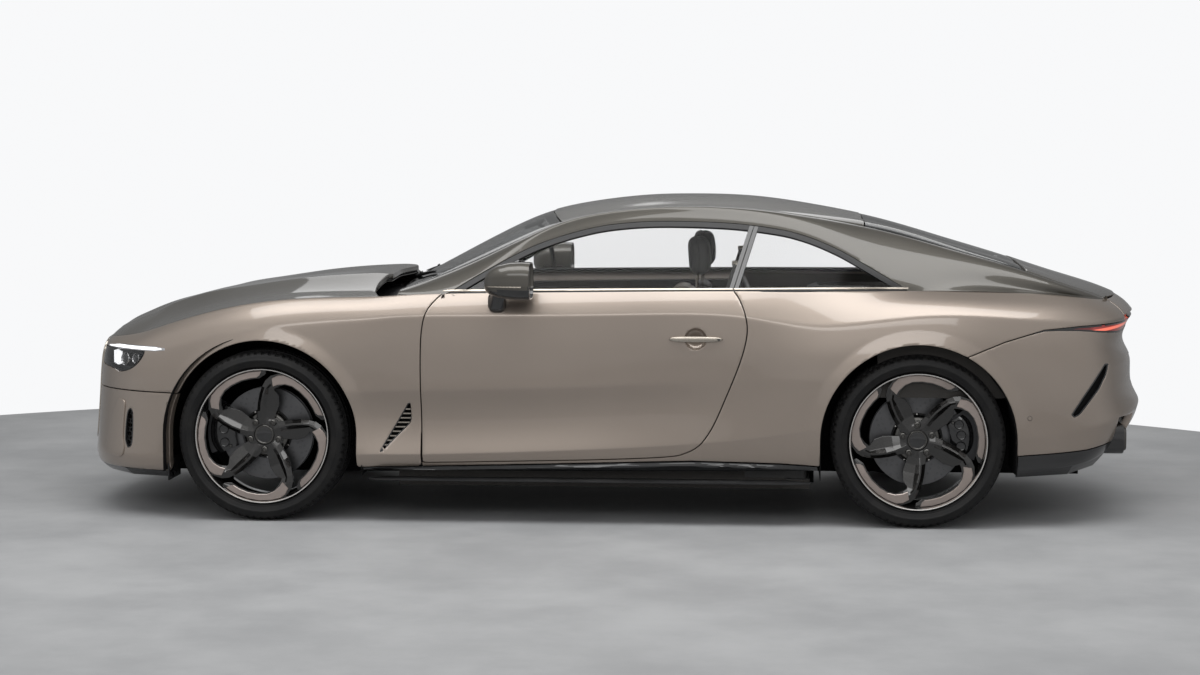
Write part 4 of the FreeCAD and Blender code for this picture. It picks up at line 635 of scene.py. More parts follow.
# ---------------------------------------------------------------- panels cut from a surface
def cut_lattice(place, us, vs, keep):
    """Faces over the lattice us x vs where keep() > 0, their edges on its zero line."""
    steps_u, steps_v = np.arange(len(us), dtype=float), np.arange(len(vs), dtype=float)
    index_u, index_v = np.meshgrid(steps_u, steps_v, indexing="ij")

    def value(iu, iv):
        uu, vv = np.interp(iu, steps_u, us), np.interp(iv, steps_v, vs)
        return keep(place(uu, vv), uu, vv)

    f = value(index_u, index_v)
    for _ in range(2):
        gu, gv = np.gradient(f)
        slope = np.maximum(gu ** 2 + gv ** 2, 1e-12)
        du, dv = -f * gu / slope, -f * gv / slope
        inner_u = (index_u > 0) & (index_u < len(us) - 1)
        inner_v = (index_v > 0) & (index_v < len(vs) - 1)
        du, dv = np.where(inner_u, du, 0), np.where(inner_v, dv, 0)
        near = (np.hypot(du, dv) < 0.3) & (np.abs(f) > 1e-7)
        moved_u = np.where(near, np.clip(index_u + du, 0, len(us) - 1), index_u)
        moved_v = np.where(near, np.clip(index_v + dv, 0, len(vs) - 1), index_v)
        again = value(moved_u, moved_v)
        better = near & (np.abs(again) < np.abs(f))
        index_u, index_v = np.where(better, moved_u, index_u), np.where(better, moved_v, index_v)
        f = np.where(better, again, f)
    state = np.where(np.abs(f) < 2e-4, 0, np.sign(f)).astype(int)
    keys, places, faces = {}, [], []

    def corner(i, j):
        key = (i, j)
        if key not in keys:
            keys[key] = len(places)
            places.append((index_u[i, j], index_v[i, j]))
        return keys[key]

    def crossing(p, q):
        key = (min(p, q), max(p, q))
        if key not in keys:
            a, b = key
            t0, t1, f0, f1 = 0.0, 1.0, f[a], f[b]
            ua, va, ub, vb = index_u[a], index_v[a], index_u[b], index_v[b]
            for _ in range(4):
                t = t0 + (t1 - t0) * f0 / (f0 - f1)
                ft = float(value(np.array([ua + (ub - ua) * t]), np.array([va + (vb - va) * t]))[0])
                if ft * f0 > 0:
                    t0, f0 = t, ft
                else:
                    t1, f1 = t, ft
                if abs(ft) < 1e-5 or f0 == f1:
                    break
            keys[key] = len(places)
            places.append((ua + (ub - ua) * t, va + (vb - va) * t))
        return keys[key]

    for i in range(len(us) - 1):
        for j in range(len(vs) - 1):
            ring = ((i, j), (i + 1, j), (i + 1, j + 1), (i, j + 1))
            states = [state[p] for p in ring]
            if max(states) < 1:
                continue
            if min(states) >= 0:
                faces.append([corner(*p) for p in ring])
                continue
            face = []
            for k, p in enumerate(ring):
                q = ring[(k + 1) % 4]
                if state[p] >= 0:
                    face.append(corner(*p))
                if state[p] * state[q] < 0:
                    face.append(crossing(p, q))
            if len(face) > 2:
                faces.append(face)
    iu, iv = np.array(places).T
    return np.interp(iu, steps_u, us), np.interp(iv, steps_v, vs), faces


def object_mode():
    if bpy.context.mode != "OBJECT":
        bpy.ops.object.mode_set(mode="OBJECT")


def linked(name, points, faces, finish):
    """New object from points and faces, in the scene."""
    object_mode()
    mesh = bpy.data.meshes.new(name)
    mesh.from_pydata([tuple(p) for p in points], [], faces)
    mesh.update()
    obj = bpy.data.objects.new(name, mesh)
    bpy.context.scene.collection.objects.link(obj)
    if finish:
        mesh.materials.append(finish.material)
    return obj


def shade(obj, angle=38):
    for polygon in obj.data.polygons:
        polygon.use_smooth = True
    bpy.ops.object.select_all(action="DESELECT")
    bpy.context.view_layer.objects.active = obj
    obj.select_set(True)
    bpy.ops.object.shade_smooth_by_angle(angle=math.radians(angle))
    obj.select_set(False)
    return obj


def panel(name, surface, u_span, v_span, keep, finish, cell=0.013, roll=0.0016, depth=0.016,
          sink=0.0, detail=None, both=False):
    """Thin panel over part of a surface: rolled edge, then a flange turned inwards by depth.

    keep is above 0 where the panel is, cell is about its faces' size, sink lowers it under the surface,
    detail gives finer places than the surface does, and both adds the right half.
    """
    place = detail or surface.at
    us = surface.lines(0, *u_span, cell, (v_span[0], (v_span[0] + v_span[1]) / 2, v_span[1]))
    vs = surface.lines(1, *v_span, cell, (u_span[0], (u_span[0] + u_span[1]) / 2, u_span[1]))
    u, v, faces = cut_lattice(place, us, vs, keep)
    points, normals = place(u, v), surface.normal(u, v)
    on_centre = np.abs(points[:, 1]) < 1e-5
    normals[on_centre, 1] = 0
    points = points - normals * sink
    edges = {}
    for face in faces:
        for a, b in zip(face, face[1:] + face[:1]):
            edges[(a, b)] = True
    rim = [(a, b) for a, b in edges if (b, a) not in edges and not (on_centre[a] and on_centre[b])]
    inward = np.zeros(points.shape)
    for a, b in rim:
        side_way = np.cross(normals[a], points[b] - points[a])
        inward[a] += side_way
        inward[b] += side_way
    length = np.maximum(np.linalg.norm(inward, axis=1, keepdims=True), 1e-9)
    inward = inward / length
    inward[on_centre, 1] = 0
    edge_points = sorted({p for pair in rim for p in pair})
    rows = {p: k for k, p in enumerate(edge_points)}
    base = points[edge_points]
    into, down = inward[edge_points], normals[edge_points]
    outer = points.copy()
    outer[edge_points] = base + into * roll
    rings = [
        base + into * roll * 0.3 - down * roll * 0.3,
        base - down * roll,
        base - down * depth,
    ]
    everything = [outer] + rings
    count = len(points)
    wide = len(edge_points)
    all_faces = [list(face) for face in faces]
    for a, b in rim:
        ids_a = [a] + [count + k * wide + rows[a] for k in range(3)]
        ids_b = [b] + [count + k * wide + rows[b] for k in range(3)]
        for k in range(3):
            all_faces.append([ids_b[k], ids_a[k], ids_a[k + 1], ids_b[k + 1]])
    full = np.concatenate(everything)
    if both:
        total = len(full)
        full = np.concatenate((full, mirrored(full)))
        all_faces += [[total + p for p in reversed(face)] for face in all_faces]
    obj = linked(name, full, all_faces, finish)
    if both:
        bm = bmesh.new()
        bm.from_mesh(obj.data)
        bmesh.ops.remove_doubles(bm, verts=[w for w in bm.verts if abs(w.co.y) < 1e-4], dist=5e-5)
        bm.to_mesh(obj.data)
        bm.free()
    return shade(obj)


def joined(name, *pieces):
    """Pieces as one object."""
    object_mode()
    bpy.ops.object.select_all(action="DESELECT")
    for piece in pieces:
        piece.select_set(True)
    bpy.context.view_layer.objects.active = pieces[0]
    if len(pieces) > 1:
        bpy.ops.object.join()
    pieces[0].name = pieces[0].data.name = name
    pieces[0].select_set(False)
    return pieces[0]


# ---------------------------------------------------------------- modelling by hand
MERGE = 0.00002


class Piece:
    """A mesh under way: a primitive at its size and place, then operators on the picked parts."""

    def __init__(self, name, finish, kind, place=(0, 0, 0), stretch=(1, 1, 1), turn=(0, 0, 0), **settings):
        object_mode()
        bpy.ops.object.select_all(action="DESELECT")
        getattr(bpy.ops.mesh, f"primitive_{kind}_add")(location=place, rotation=turn, **settings)
        self.obj = bpy.context.object
        self.obj.scale = stretch
        bpy.ops.object.transform_apply(location=True, rotation=True, scale=True)
        self.obj.name = self.obj.data.name = name
        self.obj.data.materials.append(finish.material)

    def pick(self, test=None, kind="FACE"):
        """Enters edit mode with the faces, edges or points for which test(place, direction) holds."""
        object_mode()
        mesh = self.obj.data
        bpy.context.tool_settings.mesh_select_mode = (kind == "VERT", kind == "EDGE", kind == "FACE")
        for group in (mesh.vertices, mesh.edges, mesh.polygons):
            group.foreach_set("select", [False] * len(group))
        if kind == "FACE":
            for face in mesh.polygons:
                face.select = test is None or bool(test(face.center, face.normal))
        elif kind == "EDGE":
            for edge in mesh.edges:
                a, b = (mesh.vertices[i].co for i in edge.vertices)
                edge.select = test is None or bool(test((a + b) / 2, b - a))
        else:
            for vertex in mesh.vertices:
                vertex.select = test is None or bool(test(vertex.co, vertex.normal))
        bpy.ops.object.mode_set(mode="EDIT")
        return self

    def extrude(self, move=(0, 0, 0)):
        bpy.ops.mesh.extrude_region_move(TRANSFORM_OT_translate={"value": move})
        return self

    def move(self, by):
        bpy.ops.transform.translate(value=by)
        return self

    def resize(self, by, about=None):
        settings = {"center_override": about} if about is not None else {}
        bpy.ops.transform.resize(value=by, **settings)
        return self

    def inset(self, thickness, depth=0.0, each=False):
        bpy.ops.mesh.inset(thickness=thickness, depth=depth, use_individual=each)
        return self

    def bevel(self, width, segments=2, profile=0.5):
        bpy.ops.mesh.bevel(
            offset=width, segments=segments, profile=profile, affect="EDGES", offset_type="OFFSET",
        )
        return self

    def paint(self, finish):
        """Gives the picked faces a finish of their own."""
        mesh = self.obj.data
        if finish.material.name not in mesh.materials:
            mesh.materials.append(finish.material)
        self.obj.active_material_index = list(mesh.materials.keys()).index(finish.material.name)
        bpy.ops.object.material_slot_assign()
        return self

    def modify(self, kind, **settings):
        """Adds a modifier and applies it."""
        object_mode()
        bpy.context.view_layer.objects.active = self.obj
        modifier = self.obj.modifiers.new(kind.lower(), kind)
        for key, value in settings.items():
            setattr(modifier, key, value)
        bpy.ops.object.modifier_apply(modifier=modifier.name)
        return self

    def warp(self, rule):
        """Moves every point by a rule."""
        object_mode()
        for vertex in self.obj.data.vertices:
            vertex.co = rule(vertex.co)
        return self

    def done(self, angle=38):
        """Merges doubles, turns faces outwards, smooths, and gives the object."""
        self.pick(kind="VERT")
        bpy.ops.mesh.remove_doubles(threshold=MERGE)
        bpy.ops.mesh.normals_make_consistent(inside=False)
        bpy.ops.object.mode_set(mode="OBJECT")
        return shade(self.obj, angle)


def facing_up(place, way):
    return way.z > 0.9


def facing_down(place, way):
    return way.z < -0.9


def facing_left(place, way):
    return way.y < -0.9


def rounded_block(name, finish, low, high, radius=0.006, segments=3):
    """Block between two corners with rounded edges, ready to shape further."""
    low, high = Vector(low), Vector(high)
    made = Piece(name, finish, "cube", (low + high) / 2, high - low, size=1)
    return made.modify("BEVEL", width=radius, segments=segments, limit_method="NONE")


def turned(name, finish, profile, centre, steps=72, closed=False):
    """Ring extruded through (radius, distance outboard) pairs round a left wheel's axle."""
    (radius, out), *rest = profile
    radius = max(radius, 1e-5)
    start = (centre[0], centre[1] - out, centre[2])
    made = Piece(name, finish, "circle", start, turn=(math.pi / 2, 0, 0), vertices=steps, radius=radius)
    made.pick(kind="EDGE")
    for next_radius, next_out in rest:
        next_radius = max(next_radius, 1e-5)
        bpy.ops.mesh.extrude_edges_move(TRANSFORM_OT_translate={"value": (0, out - next_out, 0)})
        share = next_radius / radius
        made.resize((share, 1, share), (centre[0], centre[1] - next_out, centre[2]))
        radius, out = next_radius, next_out
    if closed:
        made.pick(kind="VERT")
        bpy.ops.mesh.remove_doubles(threshold=MERGE)
    return made


def copied(obj, name, matrix=None):
    """Copy with its own mesh, moved, turned or mirrored."""
    copy = obj.copy()
    copy.data = obj.data.copy()
    copy.name = copy.data.name = name
    bpy.context.scene.collection.objects.link(copy)
    if matrix is not None:
        copy.data.transform(matrix)
        if matrix.determinant() < 0:
            copy.data.flip_normals()
    return copy


def about(point, angle, axis):
    """Turn about an axis through a point."""
    place = Matrix.Translation(Vector(point))
    return place @ Matrix.Rotation(angle, 4, axis) @ place.inverted()


def stood(obj, place):
    """Stands a turned piece on end at a place, its outer face up."""
    obj.data.transform(Matrix.Translation(place) @ Matrix.Rotation(math.radians(-90), 4, "X"))
    return obj


def faced(obj, point, way):
    """Turns a left-side piece about a point until it faces a direction."""
    swing = Vector((0, -1, 0)).rotation_difference(way).to_matrix().to_4x4()
    obj.data.transform(Matrix.Translation(point) @ swing @ Matrix.Translation(-point))
    return obj


MIRROR = Matrix.Diagonal((1, -1, 1, 1))


def both_sides(name, obj):
    """Joins a left piece with its mirror image."""
    return joined(name, obj, copied(obj, name + "_right", MIRROR))


def fixed(obj, body="body", *nodes):
    """Lets a finished piece ride on a body, in place of CAD nodes."""
    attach(obj, body)
    if nodes:
        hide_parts(*nodes)
    return obj


# ---------------------------------------------------------------- side panels
HALF_GAP = NODE_GAP / 2
LAMP_MOUTH = smooth_line([
    (-2.330, 0.735), (-2.215, 0.738), (-2.080, 0.744), (-2.040, 0.732), (-2.062, 0.690), (-2.110, 0.652),
    (-2.176, 0.634), (-2.225, 0.645), (-2.330, 0.660),
])
in_lamp_mouth = distance_to(LAMP_MOUTH)
FRONT_SPLIT = 0.556
SILL_FRONT, SILL_REAR = -0.787, 0.43


def xz(points):
    return points[..., 0], points[..., 2]


def grown(measure, grow):
    """Keeps what an outline seen from the side holds, grown by a distance."""
    return lambda p, u, v: measure(*xz(p)) + grow


def band(measure, outside, inside):
    """Keeps a band along such an outline, from outside it to inside it."""
    return lambda p, u, v: np.minimum(measure(*xz(p)) + outside, inside - measure(*xz(p)))


def keep_front_wing(p, u, v):
    x, z = xz(p)
    ahead = np.where(x < FRONT_AXLE, z - FRONT_SPLIT, z - skirt_line(x)) - HALF_GAP
    clear = np.minimum(-in_door(x, z) - HALF_GAP, arch(x, z, FRONT_AXLE))
    vent = -in_vent(x, z)
    lamp = np.where(x < -1.9, -in_lamp_mouth(x, z), 1)
    back = np.where(z < 0.40, SILL_FRONT - HALF_GAP - x, -0.1 - x)
    return np.minimum.reduce([ahead, clear, back, vent, lamp, -in_grille(p)])


def in_grille(p):
    """Distance inside the radiator opening, a rounded rectangle across the nose."""
    y, z = np.abs(p[..., 1]), p[..., 2]
    half = 0.500 - 0.010 * np.clip((0.52 - z) / 0.22, 0, 1)
    a, b = y - (half - 0.055), np.abs(z - 0.531) - (0.228 - 0.055)
    outside = np.hypot(np.maximum(a, 0), np.maximum(b, 0)) + np.minimum(np.maximum(a, b), 0) - 0.055
    return np.where(p[..., 0] < -2.0, -outside, -1)


VENT = [
    (-0.842, 0.530), (-0.833, 0.523), (-0.830, 0.447), (-0.838, 0.434), (-0.890, 0.383), (-0.962, 0.308),
    (-0.969, 0.313), (-0.955, 0.338),
]
in_vent = distance_to(VENT)


def keep_door(p, u, v):
    x, z = xz(p)
    return np.minimum(in_door(x, z) - HALF_GAP, handle_pocket(x, z))


def handle_pocket(x, z):
    return np.hypot(x - 0.406, z - 0.812) - 0.047


def keep_rear_wing(p, u, v):
    x, z = xz(p)
    low = np.where(x > 1.45, z - bumper_split(x), z - skirt_line(x)) - HALF_GAP
    front = np.where(z < 0.36, x - SILL_REAR, x + 0.1)
    return np.minimum.reduce([low, -in_door(x, z) - HALF_GAP, arch(x, z, REAR_AXLE), front])


def keep_sill(p, u, v):
    """Narrow strip of the rear wing under the door."""
    x, z = xz(p)
    return np.minimum.reduce([
        z - skirt_line(x) - HALF_GAP, -in_door(x, z) - HALF_GAP, x - SILL_FRONT - HALF_GAP,
        SILL_REAR + 0.012 - x, 0.37 - z,
    ])


def diffuser_top(u):
    """Height of the joint between rear bumper and diffuser at station u."""
    return np.interp(u, (11.0, 13.0, 14.0, 14.8, 16.0), (0.300, 0.335, 0.372, 0.395, 0.400))


def lamp_depth(u):
    """Height of the rear lamp below the bumper's joint at station u."""
    return np.interp(
        u, (12.1, 12.5, 13.3, 14.0, 14.8, 15.1, 15.3), (0.0, 0.006, 0.030, 0.046, 0.050, 0.030, 0.0),
    )


def keep_rear_bumper(p, u, v):
    x, z = xz(p)
    top = np.where(u < 14.75, bumper_split(x) - lamp_depth(u), 0.836) - HALF_GAP
    gill = -in_gill(x, z)
    plate = np.maximum(np.abs(p[..., 1]) - 0.265, np.abs(z - 0.640) - 0.066)
    return np.minimum.reduce(
        [top - z, z - diffuser_top(u) - HALF_GAP, arch(x, z, REAR_AXLE), gill, plate, exhaust_clear(p)]
    )


GILL = [
    (2.188, 0.702), (2.166, 0.702), (2.118, 0.638), (2.066, 0.570), (2.012, 0.492), (2.026, 0.478),
    (2.052, 0.490), (2.094, 0.540), (2.140, 0.594), (2.176, 0.654),
]
in_gill = distance_to(GILL)


def exhaust_clear(p):
    return np.maximum(np.abs(np.abs(p[..., 1]) - 0.620) - 0.095, np.abs(p[..., 2] - 0.384) - 0.080)


def keep_front_bumper(p, u, v):
    x, y, z = p[..., 0], p[..., 1], p[..., 2]
    side_mouth = np.where(np.abs(y) > 0.52, -in_intake(x, z), 1)
    return np.minimum.reduce(
        [FRONT_SPLIT - HALF_GAP - z, z - 0.208, arch(x, z, FRONT_AXLE), -in_grille(p), side_mouth]
    )


INTAKE = smooth_line([
    (-2.128, 0.298), (-2.142, 0.335), (-2.140, 0.400), (-2.131, 0.455), (-2.118, 0.476), (-2.102, 0.470),
    (-2.097, 0.430), (-2.099, 0.360),
    (-2.106, 0.312), (-2.128, 0.298),
])[:-1]
in_intake = distance_to(INTAKE)

front_wing = panel(
    "front_wing_left", side, (0.0, 8.4), (0.8, SIDE_TOP), keep_front_wing, BODY_PAINT, depth=0.011,
    detail=on_side,
)
door_skin = panel(
    "door_skin_left", side, (6.1, 9.7), (0.8, SIDE_TOP), keep_door, BODY_PAINT, depth=0.078, detail=on_side,
)
rear_wing = panel(
    "rear_wing_left", side, (8.3, 14.15), (0.8, SIDE_TOP), keep_rear_wing, BODY_PAINT, depth=0.024,
    detail=on_side,
)
front_bumper = panel(
    "front_bumper_skin", side, (0.0, 4.75), (0.8, 9.0), keep_front_bumper, BODY_PAINT, depth=0.030,
    detail=on_side, both=True,
)
rear_bumper = panel(
    "rear_bumper_skin", side, (11.2, 16.0), (0.8, 13.0), keep_rear_bumper, BODY_PAINT, depth=0.030,
    detail=on_side, both=True,
)
front_wings = joined("front_wings", front_wing, copied(front_wing, "front_wing_right", MIRROR))
sill_strip = panel(
    "sill_strip", side, (6.1, 9.7), (0.8, 6.0), keep_sill, BODY_PAINT, 0.006, depth=0.011, sink=0.0004,
    detail=on_side,
)
rear_wing = joined("rear_wing_left", rear_wing, sill_strip)
rear_wings = joined("rear_wings", rear_wing, copied(rear_wing, "rear_wing_right", MIRROR))
door_skin_right = copied(door_skin, "door_skin_right", MIRROR)
fixed(door_skin, "left_door")
fixed(door_skin_right, "right_door")
fixed(front_wings, "body", "front_fenders")
fixed(rear_wings, "body", "rear_quarters")
fixed(front_bumper, "body", "front_bumper")
fixed(rear_bumper, "body", "rear_bumper")

# ---------------------------------------------------------------- rails, roof and glass
WINDOW_ARC = smooth_line([
    (-0.668, 1.006), (-0.560, 1.072), (-0.457, 1.130), (-0.370, 1.176), (-0.286, 1.214), (-0.160, 1.256),
    (-0.026, 1.288), (0.100, 1.304), (0.237, 1.311), (0.420, 1.309), (0.589, 1.300), (0.764, 1.277),
    (0.860, 1.254), (0.938, 1.227), (1.030, 1.186), (1.110, 1.142), (1.210, 1.084), (1.305, 1.028),
])
in_window = distance_to(WINDOW_ARC + [(1.330, 0.985), (-0.720, 0.985)])
ROOF_FRONT, ROOF_REAR, SCREEN_END = 2.75, 7.67, 10.15


def belt(x):
    """Height of the window's lower edge."""
    return np.interp(x, (-0.70, 0.0, 0.60, 1.32), (1.008, 1.016, 1.021, 1.025))


def keep_rail(p, u, v):
    x, z = xz(p)
    foot = np.where(v < 1.0, np.minimum(x + 0.83, -0.60 - x), 1)
    return np.minimum.reduce(
        [-in_window(x, z), np.where(x < -0.6, 0.01, np.where(x > 1.2, 0.01, z - 1.03)), foot]
    )


rail = panel("side_frame_left", upper, (0.0, 12.9), (0.15, 2.985), keep_rail, DARK_PAINT, depth=0.020)
side_frames = joined("side_frames", rail, copied(rail, "side_frame_right", MIRROR))
fixed(side_frames, "body", "roof_rails")
roof = panel(
    "roof_skin", upper, (ROOF_FRONT, ROOF_REAR), (3.012, 6.0),
    lambda p, u, v: np.minimum(u - ROOF_FRONT - 0.01, ROOF_REAR - 0.01 - u) * 0.25,
    DARK_PAINT, depth=0.018, both=True,
)
fixed(roof, "body", "roof_panel")


def glass_keep(u_low, u_high):
    return lambda p, u, v: np.minimum(u - u_low, u_high - u) * 0.25


screen = panel(
    "screen_glass_front", upper, (0.10, ROOF_FRONT), (3.03, 6.0), glass_keep(0.1, ROOF_FRONT - 0.01),
    SCREEN, 0.03, 0.001, 0.005, 0.003, both=True,
)
fixed(screen, "body", "windscreen")
back_glass = panel(
    "screen_glass_rear", upper, (ROOF_REAR, SCREEN_END), (3.03, 6.0),
    glass_keep(ROOF_REAR + 0.01, SCREEN_END - 0.01), SCREEN, 0.03, 0.001, 0.005, 0.003, both=True,
)
fixed(back_glass, "body", "rear_window")


# ---------------------------------------------------------------- bonnet
BONNET_START, BONNET_END = 0.25, 6.25
BULGE_HALF = 0.42
BULGE = [  # x and height of the raised centre's edge
    (-2.30, 0.795), (-2.16, 0.835), (-2.094, 0.872), (-2.05, 0.902), (-1.99, 0.929), (-1.852, 0.971),
    (-1.633, 1.006), (-1.442, 1.034),
    (-1.278, 1.052), (-1.10, 1.062), (-0.95, 1.066),
]


def bonnet_row(u):
    edge = side.at(u, SIDE_TOP)
    inward = np.array((1.0, 0, 0)) if u < 0.01 else -side.normal(u, SIDE_TOP - 1.0)
    inward[2] = 0
    edge = edge + inward / np.linalg.norm(inward) * 0.0040
    share = (u - BONNET_START) / (BONNET_END - BONNET_START)
    place = BONNET_CENTRE[0][0] + (BONNET_CENTRE[-1][0] - BONNET_CENTRE[0][0]) * share ** 1.35
    height = np.interp(place, [p for p, _ in BONNET_CENTRE], [z for _, z in BONNET_CENTRE]) / 1000
    middle = np.array((along(place), 0, height))

    def bowed(t):
        point = edge + (middle - edge) * t
        point[2] = edge[2] + (middle[2] - edge[2]) * (1 - (1 - t) ** 2.2)
        return point

    width = -edge[1]
    t = np.clip(1 - BULGE_HALF / max(width, 0.01), 0.30, 0.9)
    crease = bowed(t)
    strength = np.clip((crease[0] + 2.13) / 0.10, 0, 1) * np.clip((width - 0.50) / 0.12, 0, 1)
    raised = np.interp(crease[0], [x for x, _ in BULGE], [z for _, z in BULGE])
    crease[2] += (max(raised, crease[2]) - crease[2]) * strength
    low, high = bowed(t * 0.5), bowed(t + (1 - t) * 0.5)
    low[2] -= 0.006 * strength
    high[2] = max(high[2], crease[2] * 0.5 + middle[2] * 0.5)
    soft = 0.33 - 0.16 * strength
    return np.array(
        [edge, low, crease + (low - crease) * soft, crease, crease + (high - crease) * soft, high, middle]
    )


bonnet_us = (0.25, 0.9, 1.5, 2.0, 2.4, 2.8, 3.2, 3.6, 4.1, 4.7, 5.3, 5.8, 6.25)
rows = np.array([bonnet_row(u) for u in bonnet_us])
rows = np.stack([through(row, False, True) for row in rows])
rows = np.stack([through(rows[:, j], False, False) for j in range(rows.shape[1])], 1)
bonnet_surface = Surface(rows, mirror_top=True)


def bonnet_detail(u, v):
    """The bonnet's rear edge curls down at the wiper bays."""
    points = bonnet_surface.at(u, v)
    back = np.clip((u - 11.55) / 0.45, 0, 1)
    points[..., 2] -= 0.012 * back ** 2
    return points


def keep_bonnet(p, u, v):
    x, y = p[..., 0], np.abs(p[..., 1])
    bay = np.hypot((y - 0.60) / 0.33, (x + 0.905) / 0.125) - 1
    return bay * 0.10


bonnet_skin = panel(
    "bonnet_skin", bonnet_surface, (0, 11.93), (0, 6), keep_bonnet, DARK_PAINT, depth=0.020,
    detail=bonnet_detail, both=True,
)
fixed(bonnet_skin, "bonnet", "bonnet")

# ---------------------------------------------------------------- boot lid
deck = panel(
    "boot_deck", upper, (SCREEN_END + 0.06, 13.0), (3.015, 6.0),
    lambda p, u, v: np.minimum(u - SCREEN_END - 0.07, 12.97 - u) * 0.25,
    DARK_PAINT, depth=0.016, both=True,
)
tail_lip = panel(
    "tail_lip", side, (14.20, 16.0), (9.0, SIDE_TOP), lambda p, u, v: np.minimum(p[..., 2] - 0.903, 1),
    BODY_PAINT, depth=0.020, detail=on_side, both=True,
)
corner = panel(
    "lid_corner", upper, (12.85, 13.0), (1.02, 2.985), lambda p, u, v: p[..., 2] - 0.5, BODY_PAINT,
    depth=0.010, both=True,
)
lid_skin = joined("boot_lid_skin", deck, tail_lip)
fixed(lid_skin, "boot_lid", "boot_lid")
fixed(corner, "body")


# ---------------------------------------------------------------- cowl tray and wipers
def cowl_place(p):
    return Vector((p.x - 0.985 + 0.10 * (p.y / 0.9) ** 2, p.y, p.z + 0.962 - 0.040 * (p.y / 0.8) ** 2))


tray = rounded_block("cowl_tray", SATIN_BLACK, (-0.130, -0.82, -0.014), (0.035, 0.82, 0.0), 0.004, 2)
tray.pick()
bpy.ops.mesh.subdivide(number_cuts=9)
tray.warp(cowl_place)
cowl_parts = [tray.done(40)]
for k in range(37):
    bar = rounded_block(
        "cowl_bar", SATIN_BLACK, (-0.105, -0.722 + 0.04 * k - 0.004, -0.001),
        (0.010, -0.722 + 0.04 * k + 0.004, 0.0055), 0.0018, 1,
    )
    bar.warp(cowl_place)
    cowl_parts.append(bar.done(40))
fixed(joined("cowl_tray", *cowl_parts))


def on_screen(u, v, hand, lift):
    """Place above the windscreen: hand is -1 on the left side, 1 on the right."""
    point = upper.at(u, v) + upper.normal(u, v) * lift
    return Vector((point[0], point[1] * -hand, point[2]))


def swept(name, finish, points, half_width, half_height):
    """Bar of a flat section through points, narrower towards its ends."""
    made = Piece(name, finish, "cube", (0, 0, 0), stretch=(1, half_width * 2, half_height * 2), size=1)
    made.pick(lambda c, n: abs(n.x) < 0.5)
    bpy.ops.mesh.subdivide(number_cuts=15)
    line = np.array([tuple(p) for p in points])
    spots = np.linspace(0, 1, len(points))

    def spot(t):
        return Vector([float(np.interp(t, spots, line[:, k])) for k in range(3)])

    def lay(p):
        t = min(max(p.x + 0.5, 0), 1)
        here, way = spot(t), (spot(min(t + 0.03, 1)) - spot(max(t - 0.03, 0))).normalized()
        up = Vector((-0.45, 0, 0.89))
        across = way.cross(up).normalized()
        slim = 1 - 0.45 * abs(2 * t - 1) ** 3
        return here + across * p.y * slim + across.cross(way) * p.z * slim

    return made.warp(lay)


wiper_parts = []
for hand, blade_ends, pivot in (
    (-1, ((0.60, 3.32), (0.34, 4.9)), (-0.955, -0.02, 0.968)),
    (1, ((0.34, 5.55), (0.52, 3.85)), (-0.935, 0.42, 0.958)),
):
    (u0, v0), (u1, v1) = blade_ends
    run = [(u0 + (u1 - u0) * t, v0 + (v1 - v0) * t) for t in np.linspace(0, 1, 9)]
    wiper_parts.append(
        swept(
            "wiper_blade", SATIN_BLACK, [on_screen(u, v, hand, 0.0105) for u, v in run], 0.0075, 0.0035,
        ).done(40)
    )
    wiper_parts.append(
        swept(
            "wiper_rubber", SEAL, [on_screen(u, v, hand, 0.0045) for u, v in run], 0.0025, 0.0035,
        ).done(40)
    )
    grip = on_screen(*run[4], hand, 0.020)
    knuckle = Vector(pivot)
    wiper_parts.append(swept("wiper_arm", GLOSS_BLACK, [
        knuckle + Vector((0, 0, 0.014)), knuckle.lerp(grip, 0.3) + Vector((0, 0, 0.018)),
        knuckle.lerp(grip, 0.7) + Vector((0, 0, 0.006)), grip,
    ], 0.009, 0.004).done(40))
    cap = turned(
        "wiper_cap", SATIN_BLACK, [(0.017, -0.02), (0.017, 0.006), (0.013, 0.011), (0.0, 0.012)], (0, 0, 0),
        24,
    )
    wiper_parts.append(stood(cap.done(40), knuckle + Vector((0, 0, 0.008))))
fixed(joined("wipers", *wiper_parts))


# ---------------------------------------------------------------- side windows
def b_line(z):
    """X of the strip between door glass and quarter window at a height."""
    return 0.565 + (z - 1.02) / (1.302 - 1.02) * 0.090


def inside_ring(x, z, margin):
    return np.minimum(in_window(x, z) - margin, z - belt(x) - margin * 0.4)


def keep_glass(front):
    def keep(p, u, v):
        x, z = xz(p)
        cut = (b_line(z) - 0.012 - x) if front else (x - b_line(z) - 0.012)
        return np.minimum(np.minimum(in_window(x, z) - 0.012, cut), z - 0.985)
    return keep


door_glass = panel(
    "door_glass_left", upper, (0.9, 6.6), (0.6, 2.9), keep_glass(True), WINDOW, 0.02, 0.001, 0.0045, 0.008,
)
quarter_glass = panel(
    "quarter_glass_left", upper, (5.6, 9.3), (0.6, 2.9), keep_glass(False), WINDOW, 0.02, 0.001, 0.0045,
    0.008,
)


def keep_ring(p, u, v):
    """Black frame round both side windows."""
    x, z = xz(p)
    outer = np.minimum(in_window(x, z) - 0.001, z - belt(x) + 0.008)
    inner = inside_ring(x, z, 0.024)
    return np.minimum(outer, -inner)


def keep_door_ring(p, u, v):
    x, z = xz(p)
    return np.minimum(keep_ring(p, u, v), b_line(z) + 0.001 - x)


def keep_quarter_ring(p, u, v):
    x, z = xz(p)
    return np.minimum(keep_ring(p, u, v), x - b_line(z) - 0.001)


def keep_bar(p, u, v):
    x, z = xz(p)
    post = 0.011 - np.abs(x + 0.372 + (z - 1.0) * 0.10)
    return np.minimum.reduce([post, in_window(x, z) - 0.010, z - belt(x)])


